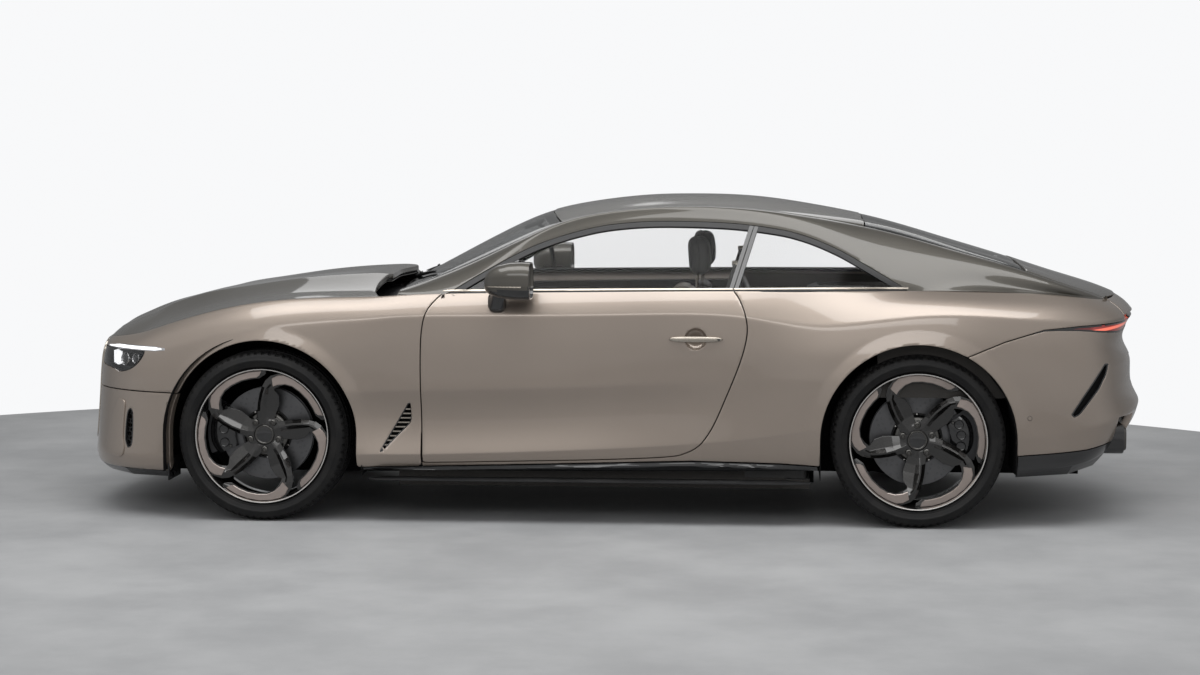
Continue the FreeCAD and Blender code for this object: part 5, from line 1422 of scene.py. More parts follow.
def keep_belt_strip(p, u, v):
    x, z = xz(p)
    return np.minimum.reduce([0.0042 - np.abs(z - belt(x) - 0.004), x + 0.700, 1.318 - x])


door_ring = panel(
    "door_frame_left", upper, (0.6, 6.8), (0.5, 2.98), keep_door_ring, SATIN_BLACK, 0.007, 0.001, 0.012,
    0.002,
)
quarter_ring = panel(
    "quarter_frame_left", upper, (5.6, 9.6), (0.5, 2.98), keep_quarter_ring, SATIN_BLACK, 0.007, 0.001,
    0.012, 0.002,
)
bar = panel(
    "quarter_light_bar_left", upper, (1.0, 3.8), (0.6, 2.9), keep_bar, GLOSS_BLACK, 0.006, 0.001, 0.008,
    0.0035,
)


def keep_post(p, u, v):
    x, z = xz(p)
    side_cut = np.minimum(x - b_line(z) - 0.0015, b_line(z) + 0.020 - x)
    return np.minimum.reduce([side_cut, in_window(x, z) - 0.002, z - belt(x)])


def keep_door_post(p, u, v):
    x, z = xz(p)
    side_cut = np.minimum(b_line(z) - 0.0015 - x, x - b_line(z) + 0.020)
    return np.minimum.reduce([side_cut, in_window(x, z) - 0.002, z - belt(x)])


post = panel(
    "post_strip_left", upper, (5.6, 7.6), (0.6, 2.95), keep_post, GLOSS_BLACK, 0.006, 0.001, 0.012, 0.001,
)
door_post = panel(
    "door_post_strip_left", upper, (5.4, 7.6), (0.6, 2.95), keep_door_post, GLOSS_BLACK, 0.006, 0.001,
    0.012, 0.001,
)


def keep_door_belt(p, u, v):
    return np.minimum(keep_belt_strip(p, u, v), 0.563 - p[..., 0])


def keep_rear_belt(p, u, v):
    return np.minimum(keep_belt_strip(p, u, v), p[..., 0] - 0.568)


door_belt = panel(
    "door_belt_strip_left", upper, (0.6, 7.2), (0.3, 2.2), keep_door_belt, TRIM_METAL, 0.005, 0.0012, 0.006,
    -0.0015,
)
rear_belt = panel(
    "rear_belt_strip_left", upper, (5.6, 9.6), (0.3, 2.2), keep_rear_belt, TRIM_METAL, 0.005, 0.0012, 0.006,
    -0.0015,
)
left_glass = joined("door_glass_left", door_glass)
left_frame = joined("door_window_frame_left", door_ring, bar, door_post, door_belt)
fixed(copied(left_glass, "door_glass_right", MIRROR), "right_door", "right_door_glass")
fixed(copied(left_frame, "door_window_frame_right", MIRROR), "right_door")
fixed(left_glass, "left_door", "left_door_glass")
fixed(left_frame, "left_door")
fixed(both_sides("quarter_glass", quarter_glass), "body", "quarter_windows")
fixed(
    both_sides("quarter_window_frame", joined("quarter_window_frame", quarter_ring, post, rear_belt)),
    "body",
)


# ---------------------------------------------------------------- black borders of the screens
def border(u_low, u_high, width):
    return lambda p, u, v: np.maximum(
        np.maximum(u_low + width / 0.23 - u, u - u_high + width / 0.23), 3.03 + width * 5.2 - v,
    ) * 0.2


front_border = panel(
    "front_screen_border", upper, (0.10, ROOF_FRONT - 0.01), (3.03, 6.0), border(0.1, ROOF_FRONT, 0.045),
    GLOSS_BLACK, 0.02, 0.0006, 0.0012, 0.0058, both=True,
)
rear_border = panel(
    "rear_screen_border", upper, (ROOF_REAR + 0.01, SCREEN_END - 0.01), (3.03, 6.0),
    border(ROOF_REAR, SCREEN_END, 0.05), GLOSS_BLACK, 0.02, 0.0006, 0.0012, 0.0058, both=True,
)
fixed(joined("screen_borders", front_border, rear_border))


# ---------------------------------------------------------------- places on the body side
SKIN_U = np.linspace(0, 16, 321)
SKIN_V = np.linspace(1, SIDE_TOP, 141)
SKIN_GRID = side.at(*np.meshgrid(SKIN_U, SKIN_V, indexing="ij"))


def skin_place(x, z):
    """Point and outward direction on the left side at x and z."""
    gap = np.hypot(SKIN_GRID[..., 0] - x, SKIN_GRID[..., 2] - z) + np.where(SKIN_GRID[..., 1] > -0.3, 1, 0)
    i, j = np.unravel_index(gap.argmin(), gap.shape)
    u, v = SKIN_U[i], SKIN_V[j]
    for _ in range(6):
        p = side.at(u, v)
        du, dv = (side.at(u + 0.01, v) - p) / 0.01, (side.at(u, v + 0.01) - p) / 0.01
        step = np.linalg.lstsq(
            np.array([[du[0], dv[0]], [du[2], dv[2]]]), np.array([x - p[0], z - p[2]]), rcond=None,
        )[0]
        u, v = float(np.clip(u + step[0], 0, 16)), float(np.clip(v + step[1], 0, SIDE_TOP))
    return Vector(on_side(np.array(u), np.array(v))), Vector(side.normal(u, v))


def drawn(name, finish, axis, stations, corner=0.4, segments=5):
    """Rounded section drawn along X or Y: (place, half width, half height, centre across, centre up)."""
    place, a, b, across, up = stations[0]
    along_x = axis == "X"

    def spot(place, across, up):
        return (place, across, up) if along_x else (across, place, up)

    turn = (0, math.pi / 2, 0) if along_x else (math.pi / 2, 0, 0)
    made = Piece(
        name, finish, "plane", spot(place, across, up), stretch=(b, a, 1) if along_x else (a, b, 1),
        turn=turn, size=2,
    )
    made.pick(kind="VERT")
    bpy.ops.mesh.bevel(offset=min(a, b) * corner, segments=segments, affect="VERTICES", profile=0.5)
    bpy.ops.mesh.select_mode(type="FACE")
    bpy.ops.mesh.select_all(action="SELECT")
    for next_place, next_a, next_b, next_across, next_up in stations[1:]:
        move = Vector(spot(next_place, next_across, next_up)) - Vector(spot(place, across, up))
        made.extrude(tuple(move))
        wide, high = next_a / a, next_b / b
        made.resize((1, wide, high) if along_x else (wide, 1, high), spot(next_place, next_across, next_up))
        place, a, b, across, up = next_place, next_a, next_b, next_across, next_up
    return made


# ---------------------------------------------------------------- doors
door_card = panel(
    "door_card_left", side, (6.1, 9.7), (1.2, SIDE_TOP), grown(in_door, -0.020), BLACK_LEATHER,
    0.03, 0.003, 0.010, 0.080,
)
door_card.data.flip_normals()


def card_zone(name, finish, outline, sink):
    measure = distance_to(smooth_line(outline + outline[:1]))
    made = panel(
        name, side, (6.1, 9.7), (1.2, SIDE_TOP), grown(measure, 0.0), finish, 0.025, 0.002, -0.009, sink,
    )
    made.data.flip_normals()
    return made


insert = card_zone(
    "door_insert", CREAM,
    [
        (-0.62, 0.80), (0.0, 0.83), (0.50, 0.86), (0.52, 0.74), (0.46, 0.62), (0.0, 0.60), (-0.60, 0.62),
        (-0.66, 0.70),
    ],
    0.092,
)
pocket = card_zone(
    "door_pocket", CARPET,
    [(-0.50, 0.44), (0.0, 0.44), (0.36, 0.48), (0.38, 0.40), (0.20, 0.35), (-0.46, 0.34), (-0.54, 0.38)],
    0.090,
)
armrest = drawn("door_armrest", CREAM, "X", [
    (-0.52, 0.012, 0.010, -0.862, 0.612), (-0.48, 0.030, 0.022, -0.862, 0.610),
    (-0.20, 0.038, 0.028, -0.858, 0.612),
    (0.20, 0.038, 0.028, -0.858, 0.622), (0.42, 0.030, 0.024, -0.862, 0.636),
    (0.47, 0.012, 0.010, -0.864, 0.640),
])
pull = drawn("door_pull", TRIM_METAL, "X", [
    (-0.36, 0.004, 0.004, -0.848, 0.742), (-0.34, 0.009, 0.010, -0.846, 0.742),
    (-0.20, 0.011, 0.012, -0.842, 0.744),
    (-0.06, 0.009, 0.010, -0.846, 0.746), (-0.04, 0.004, 0.004, -0.848, 0.746),
])
speaker = turned(
    "door_speaker", DARK_METAL, [(0.090, 0.004), (0.088, -0.004), (0.080, -0.006), (0.0, -0.009)],
    (-0.60, -0.872, 0.452), 36,
)
left_card = joined("door_card_left", door_card, insert, pocket, armrest.done(), pull.done(), speaker.done())
fixed(copied(left_card, "door_card_right", MIRROR), "right_door", "right_door")
fixed(left_card, "left_door", "left_door")

# handle: a capsule bar over a round bowl
bowl_point, bowl_way = skin_place(0.406, 0.812)
bowl = turned("handle_bowl", BODY_PAINT, [
    (0.0482, 0.0006), (0.0465, -0.0010), (0.0450, -0.004), (0.040, -0.013), (0.030, -0.020),
    (0.015, -0.0235), (0.0, -0.0245),
], bowl_point, 40)
bowl = faced(bowl.done(60), bowl_point, bowl_way)
bar_points = [skin_place(x, 0.812)[0] for x in (0.290, 0.310, 0.350, 0.406, 0.462, 0.502, 0.524)]
bar_sizes = [
    (0.004, 0.004), (0.0075, 0.0105), (0.0085, 0.0125), (0.0085, 0.0130), (0.0085, 0.0125),
    (0.0075, 0.0105), (0.004, 0.004),
]
handle_bar = drawn("handle_bar", TRIM_METAL, "X", [
    (
        p.x, a, b, p.y - (0.004 if k in (0, 6) else 0.0125 if k in (1, 5) else 0.0145), 0.812,
    ) for k, (p, (a, b)) in enumerate(zip(bar_points, bar_sizes))
], 0.85)
handle_bar.modify("SUBSURF", levels=2, render_levels=2)
lock = turned(
    "handle_lock", DARK_METAL, [(0.0055, 0.0012), (0.0048, 0.0016), (0.0, 0.0016)],
    bar_points[5] + Vector((0.004, -0.020, 0)), 16,
)
left_handle = joined("left_handle_detail", handle_bar.done(50), bowl, lock.done())
fixed(copied(left_handle, "right_handle_detail", MIRROR), "right_door", "right_door_handle")
fixed(left_handle, "left_door", "left_door_handle")

# mirror: shell, black underside, glass and foot
shell = drawn("mirror_shell", DARK_PAINT, "X", [
    (-0.4960, 0.026, 0.020, -1.012, 1.052), (-0.4900, 0.046, 0.036, -1.013, 1.054),
    (-0.4720, 0.066, 0.053, -1.015, 1.058),
    (-0.4350, 0.084, 0.069, -1.018, 1.062), (-0.3850, 0.094, 0.078, -1.020, 1.064),
    (-0.3350, 0.098, 0.0805, -1.021, 1.064),
    (-0.3020, 0.0985, 0.0795, -1.021, 1.063), (-0.2960, 0.0975, 0.0785, -1.021, 1.063),
], 0.75, 6)
shell.inset(0.0055)
shell.extrude((-0.016, 0, 0))
shell.modify("BEVEL", width=0.0012, segments=2, limit_method="ANGLE", angle_limit=math.radians(40))
shell.pick(lambda c, n: c.z < 1.026 + (c.x + 0.40) * 0.10 or (n.x > 0.5 and c.x > -0.3)).paint(GLOSS_BLACK)
shell = shell.done(50)
glass = drawn(
    "mirror_glass", BRIGHT_EDGE, "X",
    [
        (-0.3125, 0.090, 0.071, -1.021, 1.063), (-0.3080, 0.090, 0.071, -1.021, 1.063),
        (-0.3070, 0.0885, 0.0695, -1.021, 1.063),
    ],
    0.75, 6,
)
foot = drawn("mirror_foot", GLOSS_BLACK, "Y", [
    (-0.948, 0.040, 0.046, -0.452, 0.968), (-0.958, 0.036, 0.042, -0.450, 0.970),
    (-0.972, 0.031, 0.036, -0.446, 0.980),
    (-0.988, 0.029, 0.031, -0.440, 0.996), (-1.002, 0.030, 0.026, -0.432, 1.012),
    (-1.012, 0.030, 0.020, -0.426, 1.022),
], 0.8)
signal = drawn("mirror_signal", TRIM_METAL, "X", [
    (-0.484, 0.030, 0.0022, -1.040, 1.0415), (-0.470, 0.036, 0.0026, -1.052, 1.0415),
    (-0.430, 0.020, 0.0026, -1.092, 1.0415), (-0.330, 0.010, 0.0024, -1.1115, 1.0410),
], 0.5, 2)
left_mirror = joined("left_mirror_detail", shell, glass.done(), foot.done(50), signal.done())
fixed(copied(left_mirror, "right_mirror_detail", MIRROR), "right_door", "right_mirror")
fixed(left_mirror, "left_door", "left_mirror")

# ---------------------------------------------------------------- wing vent
vent_back = panel(
    "vent_back", side, (5.6, 6.9), (1.5, 7.0), grown(in_vent, 0.004), LINER, 0.012, 0.001, 0.002, 0.024,
)
vent_parts = [vent_back]
for k in range(9):
    z = 0.500 - 0.0195 * k
    xs = np.linspace(-0.975, -0.825, 151)
    inside = xs[in_vent(xs, np.full(151, z)) > 0.0025]
    if len(inside) < 8:
        continue
    x_low, x_high = inside[0], inside[-1]
    a, _ = skin_place(x_low, z)
    b, _ = skin_place(x_high, z)
    slat = Piece(
        "vent_slat", SATIN_BLACK, "cube", ((x_low + x_high) / 2, (a.y + b.y) / 2 + 0.013, z - 0.0016),
        stretch=(x_high - x_low, 0.020, 0.0042), size=1,
    )
    slat.pick(facing_down).inset(0.0008).move((0, -0.0006, -0.0012))
    slat.pick(facing_left).paint(TRIM_METAL)
    vent_parts.append(slat.done())
vent_parts.append(
    panel(
        "vent_edge", side, (5.6, 6.9), (1.5, 7.0), band(in_vent, 0.0004, 0.0042), GLOSS_BLACK, 0.006,
        0.0006, 0.016, 0.0006,
    )
)
fixed(both_sides("wing_vents", joined("wing_vents", *vent_parts)))


# ---------------------------------------------------------------- front lamps
DAY_LIGHT = glowing("day_light_white", (0.95, 0.96, 1.0), 1.1)
LAMP_LENS = window_glass("headlamp_lens", (0.06, 0.062, 0.065), 0.86)
CHROME = brushed_metal("lamp_chrome", (0.55, 0.55, 0.56), 0.12)


lamp_back = panel(
    "lamp_back", side, (1.7, 4.2), (6.0, 13.0), grown(in_lamp_mouth, 0.001), SATIN_BLACK, 0.012, 0.001,
    -0.040, 0.044,
)
lamp_cover = panel(
    "lamp_cover", side, (1.7, 4.2), (6.0, 13.0), grown(in_lamp_mouth, -0.0030), LAMP_LENS, 0.012, 0.001,
    0.003, 0.002,
)
lamp_parts = [lamp_back, lamp_cover]
for k, (x, z, radius) in enumerate(((-2.162, 0.694, 0.027), (-2.098, 0.700, 0.020))):
    point, way = skin_place(x, z)
    unit = turned("lamp_unit", CHROME, [
        (radius + 0.004, -0.040), (radius + 0.004, -0.012), (radius + 0.0025, -0.010), (radius, -0.013),
        (radius * 0.86, -0.024),
        (radius * 0.82, -0.018), (radius * 0.6, -0.0135), (radius * 0.3, -0.0115), (0.0, -0.011),
    ], point, 32)
    unit.pick(lambda c, n: math.hypot(c.x - point.x, c.z - point.z) < radius * 0.84).paint(GLOSS_BLACK)
    lamp_parts.append(faced(unit.done(40), point, way))
for k in range(6):
    x = -2.226 + 0.0095 * k
    top, _ = skin_place(x, 0.728)
    blade = Piece(
        "lamp_blade", DAY_LIGHT, "cube", (x, top.y + 0.016, 0.694),
        stretch=(0.0042, 0.014, 0.072 - 0.006 * abs(k - 2.5)), size=1,
    )
    blade.modify("BEVEL", width=0.0014, segments=2, limit_method="NONE")
    blade.pick(lambda c, n: abs(n.z) > 0.8).paint(CHROME)
    lamp_parts.append(blade.done())


def keep_day_bar(p, u, v):
    x, z = xz(p)
    taper = 0.0064 * np.clip((-1.936 - x) / 0.05, 0.25, 1)
    return np.minimum.reduce([taper - np.abs(z - 0.7455), -1.940 - x, x + 2.262])


def keep_day_edge(p, u, v):
    return keep_day_bar(p, u, v) + 0.0042


lamp_parts.append(
    panel("day_bar", side, (1.7, 4.4), (7.0, 13.0), keep_day_bar, DAY_LIGHT, 0.008, 0.0006, 0.008, -0.0022)
)
lamp_parts.append(
    panel(
        "day_bar_edge", side, (1.7, 4.4), (7.0, 13.0), keep_day_edge, CHROME, 0.008, 0.0008, 0.010, -0.0010,
    )
)
fixed(both_sides("headlamps_detail", joined("headlamps_detail", *lamp_parts)), "body", "headlamps")

# ---------------------------------------------------------------- rear lamps
TAIL_RED = Finish(
    "tail_lamp_red", (0.20, 0.008, 0.006), 0.12, Coat_Weight=1.0, Coat_Roughness=0.03,
    Emission_Strength=1.0,
)
lamp_place = TAIL_RED.place()
start = lamp_place.part(0).within(2.085, 2.125)
band_line = lamp_place.part(2) + (2.115 - lamp_place.part(0)) * 0.085
streak = band_line.within(0.836, 0.839) * (1 - band_line.within(0.848, 0.853)) * start
cell_lines = TAIL_RED.noise(1.0, 1.0, 0.5, TAIL_RED.stretched((320.0, 320.0, 14.0)))
TAIL_RED.set(
    Emission_Color=TAIL_RED.mix(streak, (0.10, 0.003, 0.002), (1.0, 0.20, 0.12)),
    Base_Color=TAIL_RED.mix(
        start, (0.012, 0.006, 0.006), TAIL_RED.mix(cell_lines, (0.15, 0.006, 0.005), (0.32, 0.016, 0.012)),
    ),
    Roughness=cell_lines * 0.14 + 0.06,
)


def lamp_band(u, z, x, margin):
    top = bumper_split(x) - HALF_GAP - margin
    foot = bumper_split(x) - lamp_depth(u) + margin
    return np.minimum(top - z, z - foot)


def keep_tail_lens(p, u, v):
    x, z = xz(p)
    return np.minimum(
        np.where(u > 14.75, np.minimum(0.878 - z, z - 0.836), lamp_band(u, z, x, 0.0008)), u - 12.15,
    )


tail_lens = panel(
    "tail_lens", side, (12.1, 16.0), (6.0, 13.0), keep_tail_lens, TAIL_RED, 0.010, 0.0008, 0.004, 0.0030,
    both=True,
)


def keep_tail_frame(p, u, v):
    inside = keep_tail_lens(p, u, v)
    return np.minimum(inside + 0.0030, 0.0045 - inside)


tail_frame = panel(
    "tail_frame", side, (12.1, 16.0), (6.0, 13.0), keep_tail_frame, GLOSS_BLACK, 0.007, 0.0006, 0.018,
    0.0016, both=True,
)
tail_bed = panel(
    "tail_bed", side, (12.1, 16.0), (6.0, 13.0), lambda p, u, v: keep_tail_lens(p, u, v) + 0.006, LINER,
    0.02, 0.001, 0.002, 0.024, both=True,
)
fixed(joined("tail_lamps_detail", tail_lens, tail_frame, tail_bed), "body", "tail_lamps")


# ---------------------------------------------------------------- radiator grille and front intakes
def lattice_bars(a, b, pitch, half_bar):
    """Distance inside the bars of a diamond lattice over two coordinates."""
    first = np.abs(((a + b) / pitch) % 1.0 - 0.5) * pitch / math.sqrt(2)
    second = np.abs(((a - b) / pitch) % 1.0 - 0.5) * pitch / math.sqrt(2)
    return half_bar - np.minimum(first, second)


def honeycomb(a, b, pitch, half_bar):
    """Distance inside the walls of a honeycomb over two coordinates."""
    high = pitch * math.sqrt(3)
    best = None
    for shift in (0.0, 0.5):
        x = (a / pitch + shift) % 1.0 - 0.5
        z = (b / high + shift) % 1.0 - 0.5
        x, z = np.abs(x * pitch), np.abs(z * high)
        cell = np.maximum(x, x * 0.5 + z * math.sqrt(3) / 2)
        best = cell if best is None else np.minimum(best, cell)
    return best - (pitch / 2 - half_bar)


def keep_mesh(p, u, v):
    return np.minimum(lattice_bars(p[..., 1], p[..., 2] * 0.8, 0.050, 0.0030), in_grille(p) + 0.004)


mesh = panel(
    "grille_mesh", side, (0.0, 2.1), (0.8, SIDE_TOP), keep_mesh, DARK_METAL, 0.0075, 0.0006, 0.010, 0.014,
    both=True,
)
surround = panel(
    "grille_surround", side, (0.0, 2.1), (0.8, SIDE_TOP),
    lambda p, u, v: np.minimum(in_grille(p) + 0.001, 0.015 - in_grille(p)), TRIM_METAL,
    0.009, 0.003, 0.026, -0.004, both=True,
)
backing = panel(
    "grille_backing", side, (0.0, 2.1), (0.8, SIDE_TOP), lambda p, u, v: in_grille(p) + 0.020, LINER, 0.03,
    0.001, 0.002, 0.040, both=True,
)
rib = drawn(
    "grille_rib", TRIM_METAL, "Y",
    [(-0.0055, 0.010, 0.2260, -2.4070, 0.531), (0.0055, 0.010, 0.2260, -2.4070, 0.531)], 0.3, 2,
)


def on_nose(point):
    """Lays the upright rib along the nose's slope."""
    front = side.at(0.0, float(np.interp(point.z, SKIN_GRID[0, :, 2], SKIN_V)))
    return Vector((point.x + 2.4070 + front[0] + 0.006, point.y, point.z))


rib.pick()
bpy.ops.mesh.subdivide(number_cuts=7)
rib.warp(on_nose)
fixed(joined("grille_detail", mesh, surround, backing, rib.done()), "body", "grille")

BLADE = smooth_line([
    (-2.262, 0.262), (-2.250, 0.330), (-2.226, 0.420), (-2.190, 0.505), (-2.165, 0.516), (-2.142, 0.500),
    (-2.146, 0.440), (-2.152, 0.350),
    (-2.146, 0.292), (-2.170, 0.255), (-2.262, 0.262),
])[:-1]
in_blade = distance_to(BLADE)
blade = panel(
    "intake_blade", side, (0.9, 3.4), (0.9, 8.5),
    lambda p, u, v: np.minimum(in_blade(p[..., 0], p[..., 2]), np.abs(p[..., 1]) - 0.51), BODY_PAINT, 0.010,
    0.003, 0.008, -0.005,
)
comb = panel(
    "intake_comb", side, (1.2, 3.6), (0.9, 8.5),
    lambda p, u, v: np.minimum(
        in_intake(p[..., 0], p[..., 2]) + 0.003, honeycomb(p[..., 1], p[..., 2], 0.022, 0.0018),
    ),
    SATIN_BLACK, 0.004, 0.0005, 0.010, 0.012,
)
comb_edge = panel("intake_edge", side, (1.2, 3.6), (0.9, 8.5), band(in_intake, 0.0005, 0.0045),
                  GLOSS_BLACK, 0.005, 0.001, 0.020, 0.000)
comb_back = panel(
    "intake_back", side, (1.2, 3.6), (0.9, 8.5), grown(in_intake, 0.010), LINER, 0.015, 0.001, 0.002, 0.030,
)


def sensor(name, x, z):
    point, way = skin_place(x, z)
    made = turned(
        name, SATIN_BLACK,
        [
            (0.0105, -0.002), (0.0105, 0.0006), (0.0098, 0.0010), (0.0090, 0.0004), (0.0085, 0.0010),
            (0.0, 0.0013),
        ],
        point, 28,
    )
    made.pick(lambda c, n: math.hypot(c.x - point.x, c.z - point.z) < 0.0088).paint(BODY_PAINT)
    return faced(made.done(40), point, way)


fixed(
    both_sides(
        "front_bumper_detail",
        joined(
            "front_bumper_detail", blade, comb, comb_edge, comb_back, sensor("front_sensor", -1.915, 0.506),
        ),
    )
)

# ---------------------------------------------------------------- tail: plate recess, gills, exhausts
def tail_x(z):
    """X of the tail's skin at a height on the centre line."""
    best = None
    for u in np.linspace(13.0, 16.0, 121):
        line = side.at(u, SKIN_V)
        j = int(np.abs(line[:, 2] - z).argmin())
        gap = abs(line[j, 1])
        if best is None or gap < best[0]:
            best = (gap, float(line[j, 0]))
    return best[1]


def in_plate(p):
    return np.minimum(0.265 - np.abs(p[..., 1]), 0.066 - np.abs(p[..., 2] - 0.640))


plate_x = min(tail_x(0.60), tail_x(0.68)) - 0.040
recess = panel(
    "plate_recess", side, (14.6, 16.0), (4.0, 11.0), lambda p, u, v: in_plate(p) + 0.004, GLOSS_BLACK, 0.02,
    0.001, 0.002, 0.048, both=True,
)
recess_edge = panel(
    "plate_edge", side, (14.6, 16.0), (4.0, 11.0),
    lambda p, u, v: np.minimum(in_plate(p) + 0.0005, 0.005 - in_plate(p)), GLOSS_BLACK,
    0.008, 0.001, 0.048, 0.0005, both=True,
)
plate = rounded_block(
    "number_plate", TRIM_METAL, (plate_x + 0.008, -0.230, 0.596), (plate_x + 0.013, 0.230, 0.684), 0.002, 2,
)
plate.pick(lambda c, n: n.x > 0.95).inset(0.004, -0.0008)
light_bar = rounded_block(
    "plate_light", SATIN_BLACK, (plate_x + 0.006, -0.150, 0.690), (plate_x + 0.028, 0.150, 0.702), 0.003, 2,
)
light_bar.pick(facing_down).inset(0.003, -0.001).paint(DAY_LIGHT)
gill_edge = panel("gill_edge", side, (12.2, 15.4), (3.0, 9.5), band(in_gill, 0.001, 0.006), GLOSS_BLACK,
                  0.007, 0.001, 0.022, 0.001, both=True)
gill_back = panel(
    "gill_back", side, (12.2, 15.4), (3.0, 9.5), grown(in_gill, 0.006), LINER, 0.014, 0.001, 0.002, 0.018,
    both=True,
)
tail_parts = [recess, recess_edge, plate.done(), light_bar.done(), gill_edge, gill_back]
rear_sensor = sensor("rear_sensor", 1.832, 0.481)
tail_parts += [rear_sensor, copied(rear_sensor, "rear_sensor_right", MIRROR)]
_, tip_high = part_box("exhaust_tips")
for k, (grow, out, finish) in enumerate(((0.020, 0.004, GLOSS_BLACK), (0.004, 0.016, DARK_METAL))):
    x_end = tip_high.x + out
    stations = [
        (x_end - 0.110, 0.074 + grow, 0.048 + grow * 0.8, -0.620, 0.364),
        (x_end - 0.006, 0.074 + grow, 0.048 + grow * 0.8, -0.620, 0.364),
        (x_end, 0.071 + grow, 0.045 + grow * 0.8, -0.620, 0.364),
    ]
    ring = drawn("exhaust_ring", finish, "X", stations, 0.55, 6)
    ring.inset(0.007 if k else 0.014)
    ring.extrude((-0.100, 0, 0)).paint(LINER if k else GLOSS_BLACK)
    ring = ring.done(45)
    tail_parts += [ring, copied(ring, "exhaust_ring_right", MIRROR)]
diffuser_skin = panel("diffuser_skin", side, (11.9, 16.0), (0.7, 6.0), lambda p, u, v: np.minimum.reduce([
    diffuser_top(u) - HALF_GAP - p[..., 2], p[..., 0] - REAR_AXLE - ARCH_R - 0.004,
    exhaust_clear(p)]), GLOSS_BLACK, 0.016, 0.0016, 0.018, both=True)
fixed(joined("tail_detail", *tail_parts, diffuser_skin))


# ---------------------------------------------------------------- skirts, arch liners and undertrays
def keep_skirt(p, u, v):
    x, z = xz(p)
    return np.minimum.reduce(
        [
            skirt_line(x) - 0.003 - z, z - 0.197, x - FRONT_AXLE - ARCH_R - 0.014,
            REAR_AXLE - ARCH_R - 0.006 - x,
        ]
    )


def on_skirt(u, v):
    points = side.at(u, v)
    x, z = points[..., 0], points[..., 2]
    points[..., 1] -= 0.012 * np.clip(
        (skirt_line(x) - z - 0.006) / 0.012, 0, 1,
    ) * np.clip((x + 1.05) / 0.25, 0, 1) * np.clip((0.93 - x) / 0.2, 0, 1)
    return points


skirt = panel(
    "side_skirt_left", side, (5.4, 10.6), (0.6, 3.0), keep_skirt, GLOSS_BLACK, 0.010, 0.002, 0.035,
    detail=on_skirt,
)
lip = drawn("skirt_blade", SATIN_BLACK, "X", [
    (-1.020, 0.004, 0.003, -0.925, 0.190), (-0.960, 0.040, 0.0055, -0.912, 0.190),
    (0.0, 0.050, 0.0055, -0.905, 0.190),
    (0.800, 0.045, 0.0055, -0.915, 0.190), (0.905, 0.006, 0.003, -0.935, 0.190),
], 0.5, 2)
fixed(both_sides("skirts_detail", joined("skirts_detail", skirt, lip.done())), "body", "side_skirts")


def liner(name, axle_x, radius, y_out, y_in, foot_front, foot_rear):
    """Left arch liner: a plastic shell over the wheel with legs down to the sill."""
    path = [(axle_x - radius, foot_front)]
    path += [
        (axle_x - radius * math.cos(a), AXLE_Z + radius * math.sin(a)) for a in np.linspace(0, math.pi, 33)
    ]
    path += [(axle_x + radius, foot_rear)]
    across = [-y_out, -y_out + 0.02] + list(np.linspace(-y_out + 0.08, -y_in, 5))
    points, faces = [], []
    for k, (x, z) in enumerate(path):
        for j, y in enumerate(across):
            rib_rise = 0.005 * (1 if (k // 2) % 2 else 0) * (1 if j > 1 else 0)
            shrink = 1 - rib_rise / radius
            points.append(
                (axle_x + (x - axle_x) * shrink, y, AXLE_Z + (z - AXLE_Z) * (shrink if z > AXLE_Z else 1))
            )
    count = len(across)
    for k in range(len(path) - 1):
        for j in range(count - 1):
            a = k * count + j
            faces.append([a, a + 1, a + count + 1, a + count])
    made = linked(name, points, faces, LINER)
    solid = made.modifiers.new("wall", "SOLIDIFY")
    solid.thickness, solid.offset = 0.003, 0.0
    bpy.context.view_layer.objects.active = made
    bpy.ops.object.modifier_apply(modifier="wall")
    return shade(made, 30)


front_liner = liner("front_liner", FRONT_AXLE, 0.4400, 0.945, 0.47, 0.215, 0.205)
rear_liner = liner("rear_liner", REAR_AXLE, 0.4180, 0.955, 0.64, 0.205, 0.235)
flap = rounded_block(
    "mud_flap", SATIN_BLACK, (FRONT_AXLE - 0.434, -0.900, 0.168), (FRONT_AXLE - 0.426, -0.700, 0.262),
    0.003, 2,
)
flap.pick(lambda c, n: n.x > 0.9).inset(0.006, -0.001)
fixed(both_sides("arch_liners", joined("arch_liners", front_liner, rear_liner, flap.done())))


def undertray(name, x_low, x_high, half, z_low, z_high):
    made = Piece(
        name, LINER, "cube", ((x_low + x_high) / 2, 0, (z_low + z_high) / 2),
        stretch=(x_high - x_low, 2 * half, z_high - z_low), size=1,
    )
    made.pick(facing_up).inset(0.010).move((0, 0, -(z_high - z_low) + 0.006))
    made.pick(facing_down)
    bpy.ops.mesh.subdivide(number_cuts=5)
    made.pick(lambda c, n: n.z < -0.9 and abs(c.y) > 0.04).inset(0.012, -0.004, each=True)
    return made.done()


fixed(
    joined(
        "undertrays", undertray("front_undertray", -2.20, -0.93, 0.452, 0.158, 0.268),
        undertray("rear_undertray", 0.94, 2.10, 0.455, 0.178, 0.300),
    )
)


# ---------------------------------------------------------------- wheels
TYRE_R = AXLE_Z
TREAD_PITCHES = 72


def wheel_point(centre, angle, radius, depth):
    """Point of a left wheel: degrees clockwise from the top, radius, and distance outboard."""
    a = math.radians(angle)
    return Vector((centre.x + radius * math.sin(a), centre.y - depth, centre.z + radius * math.cos(a)))


def loft(name, finish, sections):
    """Skin over sections with equal numbers of points, capped at both ends."""
    points = [p for section in sections for p in section]
    count = len(sections[0])
    faces = []
    for k in range(len(sections) - 1):
        for i in range(count):
            j = (i + 1) % count
            faces.append([k * count + i, k * count + j, (k + 1) * count + j, (k + 1) * count + i])
    faces.append(list(range(count))[::-1])
    faces.append([len(points) - count + i for i in range(count)])
    return linked(name, points, faces, finish)


